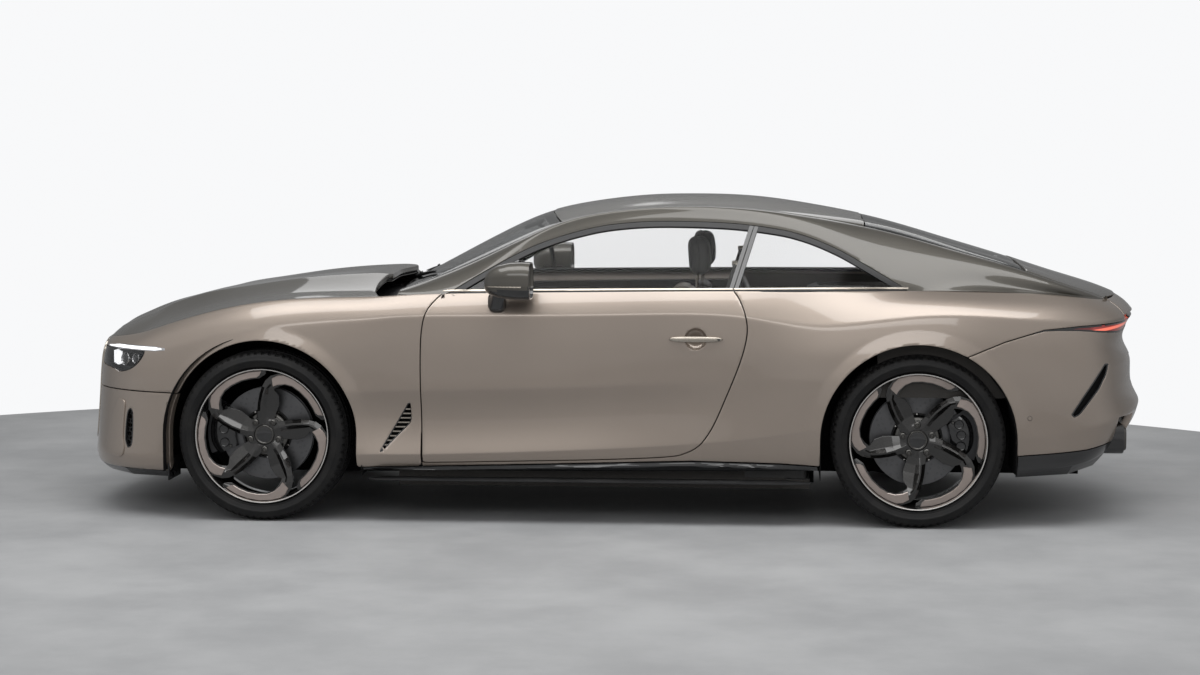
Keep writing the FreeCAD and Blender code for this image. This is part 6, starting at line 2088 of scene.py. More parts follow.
# Spoke sections from the hub to the pad's tip: (degrees, radius, depth) of the leading edge, the
# ridge and the trailing edge.
SPOKE = [
    ((-34, 0.052, 0.070), (-4, 0.050, 0.074), (36, 0.052, 0.068)),
    ((-28, 0.078, 0.068), (-5, 0.076, 0.079), (32, 0.078, 0.063)),
    ((-17, 0.108, 0.069), (-4, 0.106, 0.088), (28.5, 0.112, 0.062)),
    ((-11, 0.143, 0.074), (-1.5, 0.141, 0.098), (26.5, 0.148, 0.066)),
    ((-5.5, 0.182, 0.084), (2, 0.180, 0.106), (21.0, 0.186, 0.076)),
    ((-1.0, 0.215, 0.094), (5, 0.211, 0.111), (14.0, 0.206, 0.090)),
    ((3.0, 0.243, 0.102), (9, 0.231, 0.1135), (14.5, 0.213, 0.099)),
    ((8.0, 0.266, 0.108), (13.5, 0.247, 0.1145), (18.0, 0.227, 0.105)),
    ((16.0, 0.287, 0.113), (20, 0.267, 0.115), (24.0, 0.245, 0.110)),
    ((27.0, 0.289, 0.114), (29, 0.272, 0.116), (31.5, 0.253, 0.112)),
    ((38.0, 0.289, 0.115), (39, 0.272, 0.117), (41.0, 0.254, 0.112)),
    ((50.0, 0.288, 0.114), (51, 0.272, 0.116), (52.0, 0.254, 0.111)),
    ((61.0, 0.288, 0.112), (61.5, 0.271, 0.113), (62.0, 0.252, 0.108)),
    ((69.0, 0.287, 0.108), (69.5, 0.271, 0.108), (69.5, 0.252, 0.102)),
    ((75.5, 0.287, 0.102), (75.5, 0.280, 0.102), (75.5, 0.272, 0.099)),
]
PAD = [
    ((10.0, 0.257), (13.0, 0.222)), ((15.0, 0.276), (17.5, 0.235)), ((20.0, 0.2855), (24.5, 0.2495)),
    ((29.0, 0.2865), (32.0, 0.2575)),
    ((39.0, 0.2865), (41.0, 0.2585)), ((50.0, 0.2860), (51.5, 0.2585)), ((60.0, 0.2855), (61.0, 0.2570)),
    ((67.0, 0.2845), (67.0, 0.2560)),
    ((71.5, 0.2840), (69.5, 0.2640)),
]


def spoke_height(angle):
    """Depth of the spoke's top under the pad at an angle."""
    return float(
        np.interp(
            angle, (8, 13, 20, 30, 40, 52, 62, 70, 75),
            (0.109, 0.1125, 0.1145, 0.1155, 0.1165, 0.1155, 0.1125, 0.1075, 0.103),
        )
    )


def spoke(name, centre):
    sections = []
    for index, edge in enumerate(SPOKE):
        (a1, r1, d1), (a2, r2, d2), (a3, r3, d3) = edge
        drop = 0.030 if index < 4 else (0.034 if index < 8 else 0.022)
        flank = 0.010 if index < 8 else 0.006
        lead, ridge, trail = (wheel_point(centre, *p) for p in edge)
        step = [
            wheel_point(centre, a1 * 0.3 + a2 * 0.7, r1 * 0.3 + r2 * 0.7, d1 * 0.2 + d2 * 0.8),
            ridge,
            wheel_point(centre, a3 * 0.3 + a2 * 0.7, r3 * 0.3 + r2 * 0.7, d3 * 0.55 + d2 * 0.45),
            trail,
            wheel_point(centre, a3, r3 - 0.001, d3 - flank),
            wheel_point(centre, a3 * 0.8 + a1 * 0.2, r3 * 0.8 + r1 * 0.2, d3 - drop),
            wheel_point(centre, a1 * 0.8 + a3 * 0.2, r1 * 0.8 + r3 * 0.2, d1 - drop),
            wheel_point(centre, a1, r1 - 0.0005, d1 - flank),
            lead,
        ]
        sections.append(step)
    made = loft(name, RIM_PAINT, sections)
    edges = made.modifiers.new("edges", "BEVEL")
    edges.width, edges.segments = 0.0014, 2
    edges.limit_method, edges.angle_limit = "ANGLE", math.radians(24)
    bpy.context.view_layer.objects.active = made
    bpy.ops.object.modifier_apply(modifier="edges")
    top = []
    for (a1, r1), (a2, r2) in PAD:
        line = []
        for share in (0.0, 0.07, 0.5, 0.93, 1.0):
            a, r = a1 + (a2 - a1) * share, r1 + (r2 - r1) * share
            line.append(
                wheel_point(centre, a, r, spoke_height(a) + (0.0008 if share in (0.0, 1.0) else 0.0030))
            )
        line += [
            wheel_point(centre, a2, r2, spoke_height(a2) - 0.004),
            wheel_point(centre, a1, r1, spoke_height(a1) - 0.004),
        ]
        top.append(line)
    pad = loft(name + "_pad", PAD_PAINT, top)
    return joined(name, made, pad)


def wheel(axle, centre, half_width, turn):
    """Left wheel without its tyre: barrel, five spokes, cap and bolts."""
    lip = half_width - 0.010
    barrel = turned(f"{axle}_left_barrel", RIM_PAINT, [
        (0.284, -lip + 0.012), (0.296, -lip + 0.010), (0.297, -lip), (0.292, -lip - 0.0005),
        (0.279, -lip + 0.020), (0.272, -0.030), (0.270, 0.020),
        (0.274, 0.062), (0.279, 0.090), (0.283, 0.103), (0.2855, 0.108), (0.2875, lip - 0.008),
        (0.2905, lip - 0.001), (0.2945, lip),
        (0.297, lip - 0.003), (0.2965, lip - 0.014), (0.288, lip - 0.020), (0.284, 0.030), (0.279, -0.030),
        (0.284, -lip + 0.012),
    ], centre, 96, True)
    barrel.pick(
        lambda c, n: abs(
            math.hypot(c.x - centre.x, c.z - centre.z) - 0.290
        ) < 0.0040 and centre.y - c.y > lip - 0.006
    )
    barrel.paint(BRIGHT_EDGE)
    barrel = barrel.done(50)
    spokes = [spoke(f"{axle}_left_spoke", centre)]
    spokes += [
        copied(spokes[0], "spoke_copy", about(centre, math.radians(72 * k), "Y")) for k in range(1, 5)
    ]
    hub = turned("hub_body", RIM_PAINT, [
        (0.0, 0.034), (0.052, 0.034), (0.080, 0.036), (0.085, 0.046), (0.084, 0.060), (0.074, 0.0665),
        (0.060, 0.0695), (0.0455, 0.071), (0.0435, 0.0685), (0.0, 0.0685),
    ], (centre.x, centre.y, centre.z), 60)
    hub = hub.done(35)
    cap = turned("centre_cap", GLOSS_BLACK, [
        (0.0425, 0.066), (0.0425, 0.0735), (0.0405, 0.0755), (0.036, 0.0755), (0.0345, 0.0742),
        (0.030, 0.0752), (0.018, 0.0764), (0.0, 0.0768),
    ], centre, 48)
    cap.pick(
        lambda c, n: 0.0350 < math.hypot(
            c.x - centre.x, c.z - centre.z,
        ) < 0.0415 and centre.y - c.y > 0.0738
    ).paint(DARK_METAL)
    cap = cap.done(30)
    bolt_place = wheel_point(centre, 36, 0.0655, 0.068)
    bolt = Piece(
        "wheel_bolt", DARK_METAL, "cylinder", bolt_place, turn=(math.pi / 2, 0, 0), vertices=24,
        radius=0.0135, depth=0.016,
    )
    bolt.pick(facing_left).inset(0.0022, 0.0).move(
        (0, -0.0022, 0)
    ).inset(0.0028).move((0, -0.0012, 0)).inset(0.002).move((0, 0.0035, 0))
    bolt = bolt.done(30)
    bolts = [bolt] + [
        copied(bolt, "bolt_copy", about(centre, math.radians(72 * k), "Y")) for k in range(1, 5)
    ]
    valve = Piece(
        "valve", SATIN_BLACK, "cylinder", wheel_point(centre, 62, 0.262, 0.094), turn=(math.pi / 2, 0, 0),
        vertices=16, radius=0.0042, depth=0.030,
    )
    valve.pick(facing_left).inset(0.001).move((0, -0.003, 0))
    made = joined(f"{axle}_left_wheel_face", barrel, *spokes, hub, cap, *bolts, valve.done())
    made.data.transform(about(centre, math.radians(turn), "Y"))
    return made


def tyre(axle, centre, half_width):
    """Left tyre: grooved tread, shoulder slots and ribbed sidewalls."""
    w = half_width
    bead, bulge, shoulder = w - 0.026, w, w - 0.030
    side_profile = [
        (0.2975, bead - 0.004), (0.2985, bead + 0.006), (0.3045, bead + 0.0125), (0.3065, bead + 0.0150),
        (0.3105, bead + 0.0150), (0.3115, bead + 0.0175),
        (0.322, bulge - 0.0035), (0.330, bulge - 0.0006), (0.3305, bulge), (0.3345, bulge),
        (0.335, bulge - 0.0006),
        (0.346, bulge - 0.0040), (0.3560, bulge - 0.0100), (0.3635, bulge - 0.0180),
        (0.3680, shoulder + 0.003), (0.3712, shoulder - 0.012),
    ]
    grooves = []
    for middle in (0.62, 0.22):
        y = middle * w
        grooves += [
            (0.3742 + 0.0004 * (1 - middle), y + 0.0062), (0.3668, y + 0.0048), (0.3668, y - 0.0048),
            (0.3744 + 0.0004 * (1 - middle), y - 0.0062),
        ]
    half = side_profile + grooves + [(TYRE_R - 0.0002, 0.0)]
    profile = [(r, y) for r, y in half] + [(r, -y) for r, y in half[-2::-1]]
    made = turned(f"{axle}_left_tyre_skin", RUBBER, profile, centre, TREAD_PITCHES * 2)
    made.pick(kind="VERT")
    bpy.ops.mesh.normals_make_consistent(inside=False)

    def index(c):
        return int(
            (math.atan2(c.x - centre.x, c.z - centre.z) / (2 * math.pi) + 0.5) * TREAD_PITCHES * 2 + 0.001
        )

    def slots(c, n):
        out = abs(c.y - centre.y)
        radius = math.hypot(c.x - centre.x, c.z - centre.z)
        return shoulder - 0.013 < out < w - 0.011 and radius > 0.358 and index(c) % 2 == 0

    made.pick(slots).inset(0.0036, -0.0042)
    made.pick(
        lambda c, n: abs(c.y - centre.y) < 0.56 * w and math.hypot(
            c.x - centre.x, c.z - centre.z,
        ) > 0.3735 and index(c) % 3 == 0
    )
    made.inset(0.0040, -0.0038)
    return made.done(36)


def drilled_disc(axle, centre):
    """Left brake disc: two plates with a recessed band between them, drilled rows and a hat."""
    face, back = 0.0077, 0.0077 - 0.036
    made = turned(f"{axle}_left_disc_plates", IRON, [
        (0.100, face - 0.004), (0.108, face - 0.0025), (0.112, face), (0.2035, face),
        (0.205, face - 0.0015), (0.205, face - 0.010), (0.199, face - 0.011),
        (0.199, back + 0.011), (0.205, back + 0.010), (0.205, back + 0.0015), (0.2035, back), (0.112, back),
        (0.108, back + 0.002), (0.108, face - 0.010), (0.100, face - 0.004),
    ], centre, 96, True)
    made = made.done(30)
    hat = turned("disc_hat", DARK_METAL, [
        (0.100, face - 0.012), (0.1045, face - 0.006), (0.1045, face + 0.006), (0.098, face + 0.016),
        (0.088, face + 0.0205), (0.040, face + 0.0215),
    ], centre, 72)
    hat = hat.done(35)
    pin = Piece(
        "disc_pin", BRIGHT_EDGE, "cylinder", wheel_point(centre, 0, 0.1065, face + 0.001),
        turn=(math.pi / 2, 0, 0), vertices=12, radius=0.0045, depth=0.008,
    )
    pin.pick(facing_left).inset(0.0016, -0.0015)
    pin = pin.done()
    pins = [pin] + [copied(pin, "pin_copy", about(centre, math.radians(30 * k), "Y")) for k in range(1, 12)]
    # Each drilling is a shallow near-black disc on the face: its dark colour is painted shade standing in
    # for the depth of a drilled hole.
    hole_shade = Piece(
        "drilling_painted_shade", LINER, "cylinder", wheel_point(centre, 0, 0.128, face - 0.0008),
        turn=(math.pi / 2, 0, 0), vertices=10, radius=0.0042, depth=0.0024,
    )
    hole_shade.pick(facing_left).inset(0.0009, -0.0008)
    hole_shade = hole_shade.done()
    hole_shades = [hole_shade]
    for k in range(12):
        for row in range(5):
            if k or row:
                angle, radius = 30 * k + 6.2 * row, 0.128 + 0.0155 * row
                shift = wheel_point(centre, angle, radius, 0) - wheel_point(centre, 0, 0.128, 0)
                hole_shades.append(copied(hole_shade, "drilling_painted_shade_copy", Matrix.Translation(shift)))
    first = wheel_point(centre, 0, 0.128, 0)
    for k in range(12):
        for row in range(4):
            shift = wheel_point(centre, 30 * k + 17 + 6 * row, 0.142 + 0.017 * row, 0) - first
            hole_shades.append(copied(hole_shade, "drilling_painted_shade_copy", Matrix.Translation(shift)))
    return joined(f"{axle}_left_disc", made, hat, *pins, *hole_shades)


def caliper(axle, centre, toward):
    """Left caliper: black body over the disc's outer face, with round bosses and bolts."""
    face = 0.0077 if axle == "front" else 0.0047
    spans = {"front": (0.137, 0.252, 29), "rear": (0.140, 0.246, 23)}
    low, high, half_angle = spans[axle]
    middle = 270 if toward < 0 else 90
    sections = []
    for share in np.linspace(-1, 1, 13):
        angle = middle + half_angle * share + toward * -6
        ease = 1 - 0.16 * abs(share) ** 3
        outer = low + (high - low) * ease
        depth = face + 0.010 + 0.024 * (1 - 0.25 * abs(share) ** 2.5)
        sections.append([wheel_point(centre, angle, r, d) for r, d in (
            (low, face + 0.0075), (low + 0.002, depth - 0.007), (low + 0.012, depth),
            (low + 0.040, depth + 0.001),
            (outer - 0.022, depth + 0.0005), (outer - 0.008, depth - 0.004), (outer, depth - 0.016),
            (outer, face + 0.0075),
        )])
    made = loft(f"{axle}_left_caliper", GLOSS_BLACK, sections)
    shade(made, 45)
    parts = [made]
    for share in (-0.62, 0.0, 0.62):
        angle = middle + half_angle * share + toward * -6
        place = wheel_point(centre, angle, low + 0.050, face + 0.0335)
        boss = Piece(
            "caliper_boss", GLOSS_BLACK, "cylinder", place, turn=(math.pi / 2, 0, 0), vertices=28,
            radius=0.021, depth=0.010,
        )
        boss.pick(facing_left).inset(0.003).move((0, -0.003, 0)).inset(0.004).move((0, 0.0015, 0))
        parts.append(boss.done(35))
    for share in (-0.86, 0.86):
        place = wheel_point(centre, middle + half_angle * share + toward * -6, low + 0.030, face + 0.027)
        bolt = Piece(
            "caliper_bolt", DARK_METAL, "cylinder", place, turn=(math.pi / 2, 0, 0), vertices=6,
            radius=0.008, depth=0.012,
        )
        bolt.pick(facing_left).inset(0.002).move((0, -0.002, 0))
        parts.append(bolt.done())
    return joined(f"{axle}_left_caliper", *parts)


for axle, turn, toward in (("front", 0, -1), ("rear", 34, 1)):
    low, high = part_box(f"{axle}_left_tyre")
    centre, half_width = (low + high) / 2, (high.y - low.y) / 2
    pieces = {
        "rim": wheel(axle, centre, half_width, turn),
        "tyre": tyre(axle, centre, half_width),
        "brake_disc": drilled_disc(axle, centre),
    }
    for kind, piece in pieces.items():
        piece.name = piece.data.name = f"{axle}_left_{kind}_detail"
        right = copied(piece, f"{axle}_right_{kind}_detail", MIRROR)
        fixed(piece, f"{axle}_left_wheel", f"{axle}_left_{kind}")
        fixed(right, f"{axle}_right_wheel", f"{axle}_right_{kind}")
    left = caliper(axle, centre, toward)
    left.name = left.data.name = f"{axle}_left_caliper_cover"
    right = copied(left, f"{axle}_right_caliper_cover", MIRROR)
    fixed(left, f"{axle}_left_upright" if axle == "front" else "body")
    fixed(right, f"{axle}_right_upright" if axle == "front" else "body")


# ---------------------------------------------------------------- cushions
def cushion(name, finish, low, high, radius, shape, cap, seams, voxel=0.013, turn=None):
    """Padded form between two corners: shaped, filled under pressure, then sewn.

    shape(place) moves a point of the bare block; seams(place, direction) gives each seam's depth there;
    cap is how far a point may swell from its place.
    """
    made = rounded_block(name, finish, low, high, radius, 4)
    made.modify("REMESH", mode="VOXEL", voxel_size=voxel)
    made.warp(shape)
    made.modify("SMOOTH", factor=0.5, iterations=8)
    mesh = made.obj.data
    rest = np.empty(len(mesh.vertices) * 3)
    mesh.vertices.foreach_get("co", rest)
    cloth = made.obj.modifiers.new("cloth", "CLOTH")
    cloth.settings.use_pressure = True
    cloth.settings.uniform_pressure_force = 4.0
    cloth.settings.effector_weights.gravity = 0.0
    cloth.settings.quality = 3
    cloth.point_cache.frame_end = 20
    for step in range(1, 21):
        bpy.context.scene.frame_set(step)
    bpy.context.view_layer.objects.active = made.obj
    bpy.ops.object.modifier_apply(modifier="cloth")
    bpy.context.scene.frame_set(1)
    mesh = made.obj.data
    swollen = np.empty(len(rest))
    mesh.vertices.foreach_get("co", swollen)
    rest, swollen = rest.reshape(-1, 3), swollen.reshape(-1, 3)
    shift = (swollen - rest) - (swollen - rest).mean(axis=0)
    reach = np.linalg.norm(shift, axis=1, keepdims=True)
    mesh.vertices.foreach_set(
        "co", (rest + shift * np.minimum(1, cap / np.maximum(reach, 1e-9))).ravel(),
    )
    mesh.update()
    made.modify("SMOOTH", factor=0.5, iterations=6)
    made.modify("SUBSURF", levels=2, render_levels=2)
    mesh = made.obj.data
    places = [(vertex.co.copy(), vertex.normal.copy()) for vertex in mesh.vertices]
    mesh.vertices.foreach_set("co", [c for place, way in places for c in place - way * seams(place, way)])
    made.modify("DECIMATE", ratio=0.2)
    if turn is not None:
        made.obj.data.transform(turn)
    return made.done(60)


def groove(gap, depth, width=0.0045):
    return depth * math.exp(-(gap / width) ** 2)


def ease(low, high, value):
    t = min(1.0, max(0.0, (value - low) / (high - low)))
    return t * t * (3 - 2 * t)


def strip(name, finish, points, radius, sides=8):
    """Round bar swept along points."""
    object_mode()
    curve = bpy.data.curves.new(name, "CURVE")
    curve.dimensions = "3D"
    curve.bevel_depth, curve.bevel_resolution = radius, max(0, sides // 4 - 1)
    curve.use_fill_caps = True
    line = curve.splines.new("POLY")
    line.points.add(len(points) - 1)
    for spot, point in zip(line.points, points):
        spot.co = (*point, 1)
    obj = bpy.data.objects.new(name, curve)
    bpy.context.scene.collection.objects.link(obj)
    bpy.ops.object.select_all(action="DESELECT")
    bpy.context.view_layer.objects.active = obj
    obj.select_set(True)
    bpy.ops.object.convert(target="MESH")
    made = bpy.context.object
    made.name = made.data.name = name
    made.data.materials.clear()
    made.data.materials.append(finish.material)
    return shade(made, 50)


def webbing(name, finish, points, half_width):
    """Flat strap through points."""
    w, out = Vector(half_width), Vector((0, -0.0012, 0))
    places = []
    for point in points:
        p = Vector(point)
        places += [p - w + out, p + w + out, p + w - out, p - w - out]
    faces = [(0, 1, 2, 3)]
    for k in range(len(points) - 1):
        a, b = k * 4, k * 4 + 4
        faces += [(a + i, b + i, b + (i + 1) % 4, a + (i + 1) % 4) for i in range(4)]
    last = (len(points) - 1) * 4
    faces.append((last + 3, last + 2, last + 1, last))
    obj = linked(name, places, faces, finish)
    bpy.context.view_layer.objects.active = obj
    obj.select_set(True)
    bpy.ops.object.mode_set(mode="EDIT")
    bpy.ops.mesh.select_all(action="SELECT")
    bpy.ops.mesh.normals_make_consistent(inside=False)
    bpy.ops.object.mode_set(mode="OBJECT")
    return shade(obj, 40)


# ---------------------------------------------------------------- front seats
SEAT_Y = -0.385
SHELL_BLACK = leather("seat_shell_leather", (0.020, 0.019, 0.018), 620.0)
LEAN = about((0.165, SEAT_Y, 0.455), math.radians(16.5), "Y")


def across(y, half=0.25, centre=SEAT_Y):
    return (y - centre) / half


def cushion_shape(p):
    s, t = across(p.y), (p.x + 0.345) / 0.47
    rise = ease(0.26, 0.33, p.z) if p.z < 0.33 else 1.0
    wing = ease(0.58, 0.95, abs(s)) * 0.030 * ease(0.05, 0.4, t)
    front = -0.030 * (1 - ease(0.0, 0.28, t)) ** 2
    narrow = 1 - 0.07 * ease(0.5, 1.0, t)
    return Vector(
        (
            p.x + 0.012 * s * s * (1 - t), SEAT_Y + (p.y - SEAT_Y) * narrow,
            p.z + rise * (wing + front - 0.012 * t + 0.006 * (1 - s * s)),
        )
    )


def cushion_seams(p, n):
    s = across(p.y)
    top = ease(0.15, 0.5, n.z)
    flutes = sum(
        groove(abs(s) - k, 0.0045, 0.022) for k in (0.0, 0.2, 0.4)
    ) * ease(0.64, 0.56, abs(s)) if abs(s) < 0.56 else 0
    edge = groove(abs(s) - 0.62, 0.0065, 0.02) * top
    rim = groove(p.z - 0.375, 0.005, 0.005) * (1 - top)
    return flutes * top * ease(-0.30, -0.26, p.x) + edge + rim


def back_shape(p):
    s, t = across(p.y), (p.z - 0.43) / 0.60
    forward = ease(0.20, 0.13, p.x) if p.x < 0.20 else 0.0
    wing = ease(0.55, 0.95, abs(s)) * 0.055 * ease(0.0, 0.25, t) * (1 - 0.55 * ease(0.55, 1.0, t))
    waist = 1 - 0.05 * math.sin(math.pi * min(1, max(0, t))) - 0.20 * ease(0.62, 1.0, t)
    return Vector(
        (p.x - forward * (wing + 0.012 * math.sin(math.pi * t * 1.1)), SEAT_Y + (p.y - SEAT_Y) * waist, p.z)
    )


def back_seams(p, n):
    s, t = across(p.y), (p.z - 0.43) / 0.60
    front = ease(0.15, 0.5, -n.x)
    waist = 1 - 0.05 * math.sin(math.pi * min(1, max(0, t))) - 0.20 * ease(0.62, 1.0, t)
    r = abs(s) / waist
    flutes = sum(
        groove(r - k, 0.0045, 0.022) for k in (0.0, 0.2, 0.4)
    ) * ease(1.02, 0.94, t) if r < 0.56 else 0
    return flutes * front * ease(0.06, 0.12, t) + groove(r - 0.62, 0.0065, 0.02) * front + groove(
        p.x - 0.185, 0.005, 0.005,
    ) * (1 - front)


def head_shape(p):
    s, t = across(p.y, 0.135), (p.z - 1.058) / 0.18
    return Vector(
        (
            p.x + 0.030 * s * s, SEAT_Y + (p.y - SEAT_Y) * (1 - 0.12 * ease(0.4, 1.0, t)),
            p.z - 0.012 * s * s * ease(0.5, 1, t),
        )
    )


def head_seams(p, n):
    s = abs(across(p.y, 0.135))
    return groove(s - 0.62, 0.005, 0.03) * ease(0.1, 0.5, abs(n.x)) + groove(p.x - 0.405, 0.004, 0.005)


y0 = SEAT_Y
seat_cushion = cushion(
    "front_left_seat_cushion", CREAM, (-0.338, y0 - 0.232, 0.300), (0.118, y0 + 0.232, 0.432), 0.045,
    cushion_shape, 0.022, cushion_seams,
)
seat_back = cushion(
    "front_left_seat_back", CREAM, (0.120, y0 - 0.225, 0.440), (0.215, y0 + 0.225, 1.010), 0.042,
    back_shape, 0.022, back_seams, turn=LEAN,
)
head_rest = cushion(
    "front_left_head_rest", SHELL_BLACK, (0.360, y0 - 0.118, 1.058), (0.446, y0 + 0.118, 1.236), 0.036,
    head_shape, 0.010, head_seams, 0.010, turn=about((0.40, y0, 1.06), math.radians(-4), "Y"),
)


def leant(obj):
    obj.data.transform(LEAN)
    return obj


# hard shell behind the back, with a pocket and a bright line round it
shell = rounded_block(
    "seat_shell", SHELL_BLACK, (0.208, y0 - 0.215, 0.400), (0.262, y0 + 0.215, 1.030), 0.022, 4,
)
shell.pick()
bpy.ops.mesh.subdivide(number_cuts=3)
shell.warp(
    lambda p: Vector(
        (
            p.x + 0.020 * (1 - across(p.y) ** 2) * (1 if p.x > 0.235 else 0),
            y0 + (p.y - y0) * (1 - 0.20 * ease(0.80, 1.03, p.z)), p.z,
        )
    )
)
shell.pick(lambda c, n: n.x > 0.8 and 0.50 < c.z < 0.74 and abs(c.y - y0) < 0.15).inset(0.006, -0.004)
shell_edge = strip("shell_edge", TRIM_METAL, [
    (
        0.236, y0 + side_sign * w, z,
    ) for side_sign, w, z in [(1, 0.219, 0.44), (1, 0.220, 0.60), (1, 0.220, 0.80), (1, 0.205, 0.92),
    (1, 0.185, 1.005), (1, 0.150, 1.036), (0, 0, 1.040),
                                                        (-1, 0.150, 1.036), (-1, 0.185, 1.005),
                                                        (-1, 0.205, 0.92), (-1, 0.220, 0.80),
                                                        (-1, 0.220, 0.60), (-1, 0.219, 0.44)]
], 0.0028)
posts = []
for side_sign in (-1, 1):
    post = turned(
        "head_rest_post", TRIM_METAL, [(0.0065, 0.0), (0.0065, 0.075), (0.009, 0.078), (0.009, 0.084)],
        (0, 0, 0), 20,
    )
    posts.append(stood(post.done(), (0.392, y0 + side_sign * 0.060, 0.975)))
base = rounded_block(
    "seat_base", SATIN_BLACK, (-0.315, y0 - 0.215, 0.205), (0.205, y0 + 0.215, 0.312), 0.016, 3,
)
base.pick(facing_down).inset(0.03, 0.02)
shield = drawn("seat_shield", SHELL_BLACK, "X", [
    (-0.300, 0.006, 0.020, y0 - 0.226, 0.290), (-0.270, 0.010, 0.050, y0 - 0.230, 0.292),
    (-0.100, 0.011, 0.058, y0 - 0.231, 0.300),
    (0.080, 0.011, 0.064, y0 - 0.231, 0.325), (0.190, 0.010, 0.078, y0 - 0.228, 0.350),
    (0.240, 0.006, 0.050, y0 - 0.222, 0.370),
], 0.8)
switch = drawn(
    "seat_switch", TRIM_METAL, "X",
    [
        (-0.16, 0.004, 0.006, y0 - 0.243, 0.318), (-0.15, 0.006, 0.009, y0 - 0.244, 0.319),
        (-0.07, 0.006, 0.009, y0 - 0.244, 0.323), (-0.06, 0.004, 0.006, y0 - 0.243, 0.323),
    ],
    0.8,
)
rails = []
for rail_y in (y0 - 0.17, y0 + 0.17):
    runner = rounded_block(
        "seat_runner", STEEL, (-0.330, rail_y - 0.022, 0.1905), (0.260, rail_y + 0.022, 0.208), 0.004, 2,
    )
    runner.pick(facing_up).inset(0.008, -0.004)
    rails.append(runner.done())
frame_left = joined(
    "front_left_seat_frame", leant(shell.done(45)), leant(shell_edge), *posts, base.done(45),
    shield.done(45), switch.done(45), *rails
)
for obj in (seat_cushion, seat_back, head_rest):
    copied(obj, obj.name.replace("left", "right"), MIRROR)
copied(frame_left, "front_right_seat_frame", MIRROR)
for end in ("seat_cushion", "seat_back", "head_rest", "seat_frame"):
    for hand in ("left", "right"):
        fixed(bpy.data.objects[f"front_{hand}_{end}"], "body", "front_seats")

# ---------------------------------------------------------------- rear seats
R_Y = -0.335


def rear_shape(p):
    s, t = across(p.y, 0.24, R_Y), (p.x - 0.53) / 0.33
    wing = ease(0.6, 0.95, abs(s)) * 0.016
    return Vector(
        (p.x, p.y, p.z + (ease(0.27, 0.34, p.z)) * (wing - 0.026 * (1 - ease(0, 0.35, t)) ** 2 - 0.014 * t))
    )


def rear_seams(p, n):
    s = abs(across(p.y, 0.24, R_Y))
    return sum(
        groove(s - k, 0.004, 0.022) for k in (0.0, 0.2, 0.4)
    ) * ease(0.2, 0.6, n.z) + groove(s - 0.62, 0.006, 0.02) * ease(0.2, 0.6, n.z)


def rear_back_shape(p):
    s = across(p.y, 0.24, R_Y)
    wing = ease(0.6, 0.95, abs(s)) * 0.020 * (ease(0.82, 0.77, p.x))
    return Vector((p.x - wing, R_Y + (p.y - R_Y) * (1 - 0.12 * ease(0.72, 0.90, p.z)), p.z))


def rear_back_seams(p, n):
    s = abs(across(p.y, 0.24, R_Y))
    front = ease(0.2, 0.6, -n.x)
    return (
        sum(
            groove(s - k, 0.004, 0.022) for k in (0.0, 0.2, 0.4)
        ) * ease(0.79, 0.74, p.z) + groove(s - 0.62, 0.006, 0.02) + groove(p.z - 0.79, 0.005, 0.005)
    ) * front


REAR_LEAN = about((0.80, R_Y, 0.42), math.radians(9), "Y")
rear_cushion = cushion(
    "rear_left_seat_cushion", CREAM, (0.535, R_Y - 0.225, 0.285), (0.800, R_Y + 0.225, 0.400), 0.040,
    rear_shape, 0.020, rear_seams,
)
rear_back = cushion(
    "rear_left_seat_back", CREAM, (0.752, R_Y - 0.225, 0.415), (0.820, R_Y + 0.225, 0.885), 0.030,
    rear_back_shape, 0.012, rear_back_seams, turn=REAR_LEAN,
)
for obj in (rear_cushion, rear_back):
    twin = copied(obj, obj.name.replace("left", "right"), MIRROR)
    for one in (obj, twin):
        fixed(one, "body", "rear_seats")
bench = rounded_block("rear_bench", SHELL_BLACK, (0.535, -0.590, 0.1905), (0.890, 0.590, 0.292), 0.012, 3)
bench.pick(lambda c, n: n.x < -0.9).inset(0.03, -0.006)
tunnel = rounded_block(
    "rear_console", BLACK_LEATHER, (0.530, -0.085, 0.286), (0.800, 0.085, 0.425), 0.018, 4,
)
tunnel.pick(facing_up).inset(0.020, -0.010)
wall = rounded_block(
    "rear_seat_wall", SHELL_BLACK, (0.868, -0.590, 0.286), (0.8945, 0.590, 0.905), 0.010, 3,
)
side_pads = []
for hand in (-1, 1):
    pad = rounded_block(
        "rear_side_pad", SHELL_BLACK, (0.610, hand * 0.710 - 0.112, 0.1905),
        (0.885, hand * 0.710 + 0.112, 0.600), 0.014, 3,
    )
    side_pads.append(pad.done(45))
fixed(
    joined("rear_seat_frame", bench.done(45), tunnel.done(45), wall.done(45), *side_pads), "body",
    "rear_seats",
)

# ---------------------------------------------------------------- dashboard and console
DASH_LINE = [
    (-0.880, 0.625), (-0.880, 0.850), (-0.842, 0.853), (-0.840, 0.935), (-0.740, 0.966), (-0.630, 0.983),
    (-0.520, 0.972), (-0.460, 0.948),
    (-0.438, 0.905), (-0.446, 0.860), (-0.490, 0.835), (-0.500, 0.790), (-0.470, 0.765), (-0.478, 0.720),
    (-0.560, 0.630),
]
dash = Piece(
    "dash_body", BLACK_LEATHER, "circle", (0, -0.688, 0), turn=(math.pi / 2, 0, 0), vertices=len(DASH_LINE),
    radius=1, fill_type="NGON",
)
object_mode()
for vertex, (x, z) in zip(dash.obj.data.vertices, DASH_LINE):
    vertex.co = (x, -0.688, z)
dash.pick()
reach = -0.688
for y in (-0.60, -0.50, -0.40, -0.28, -0.14, 0.0, 0.14, 0.28, 0.40, 0.50, 0.60, 0.688):
    dash.extrude((0, y - reach, 0))
    reach = y


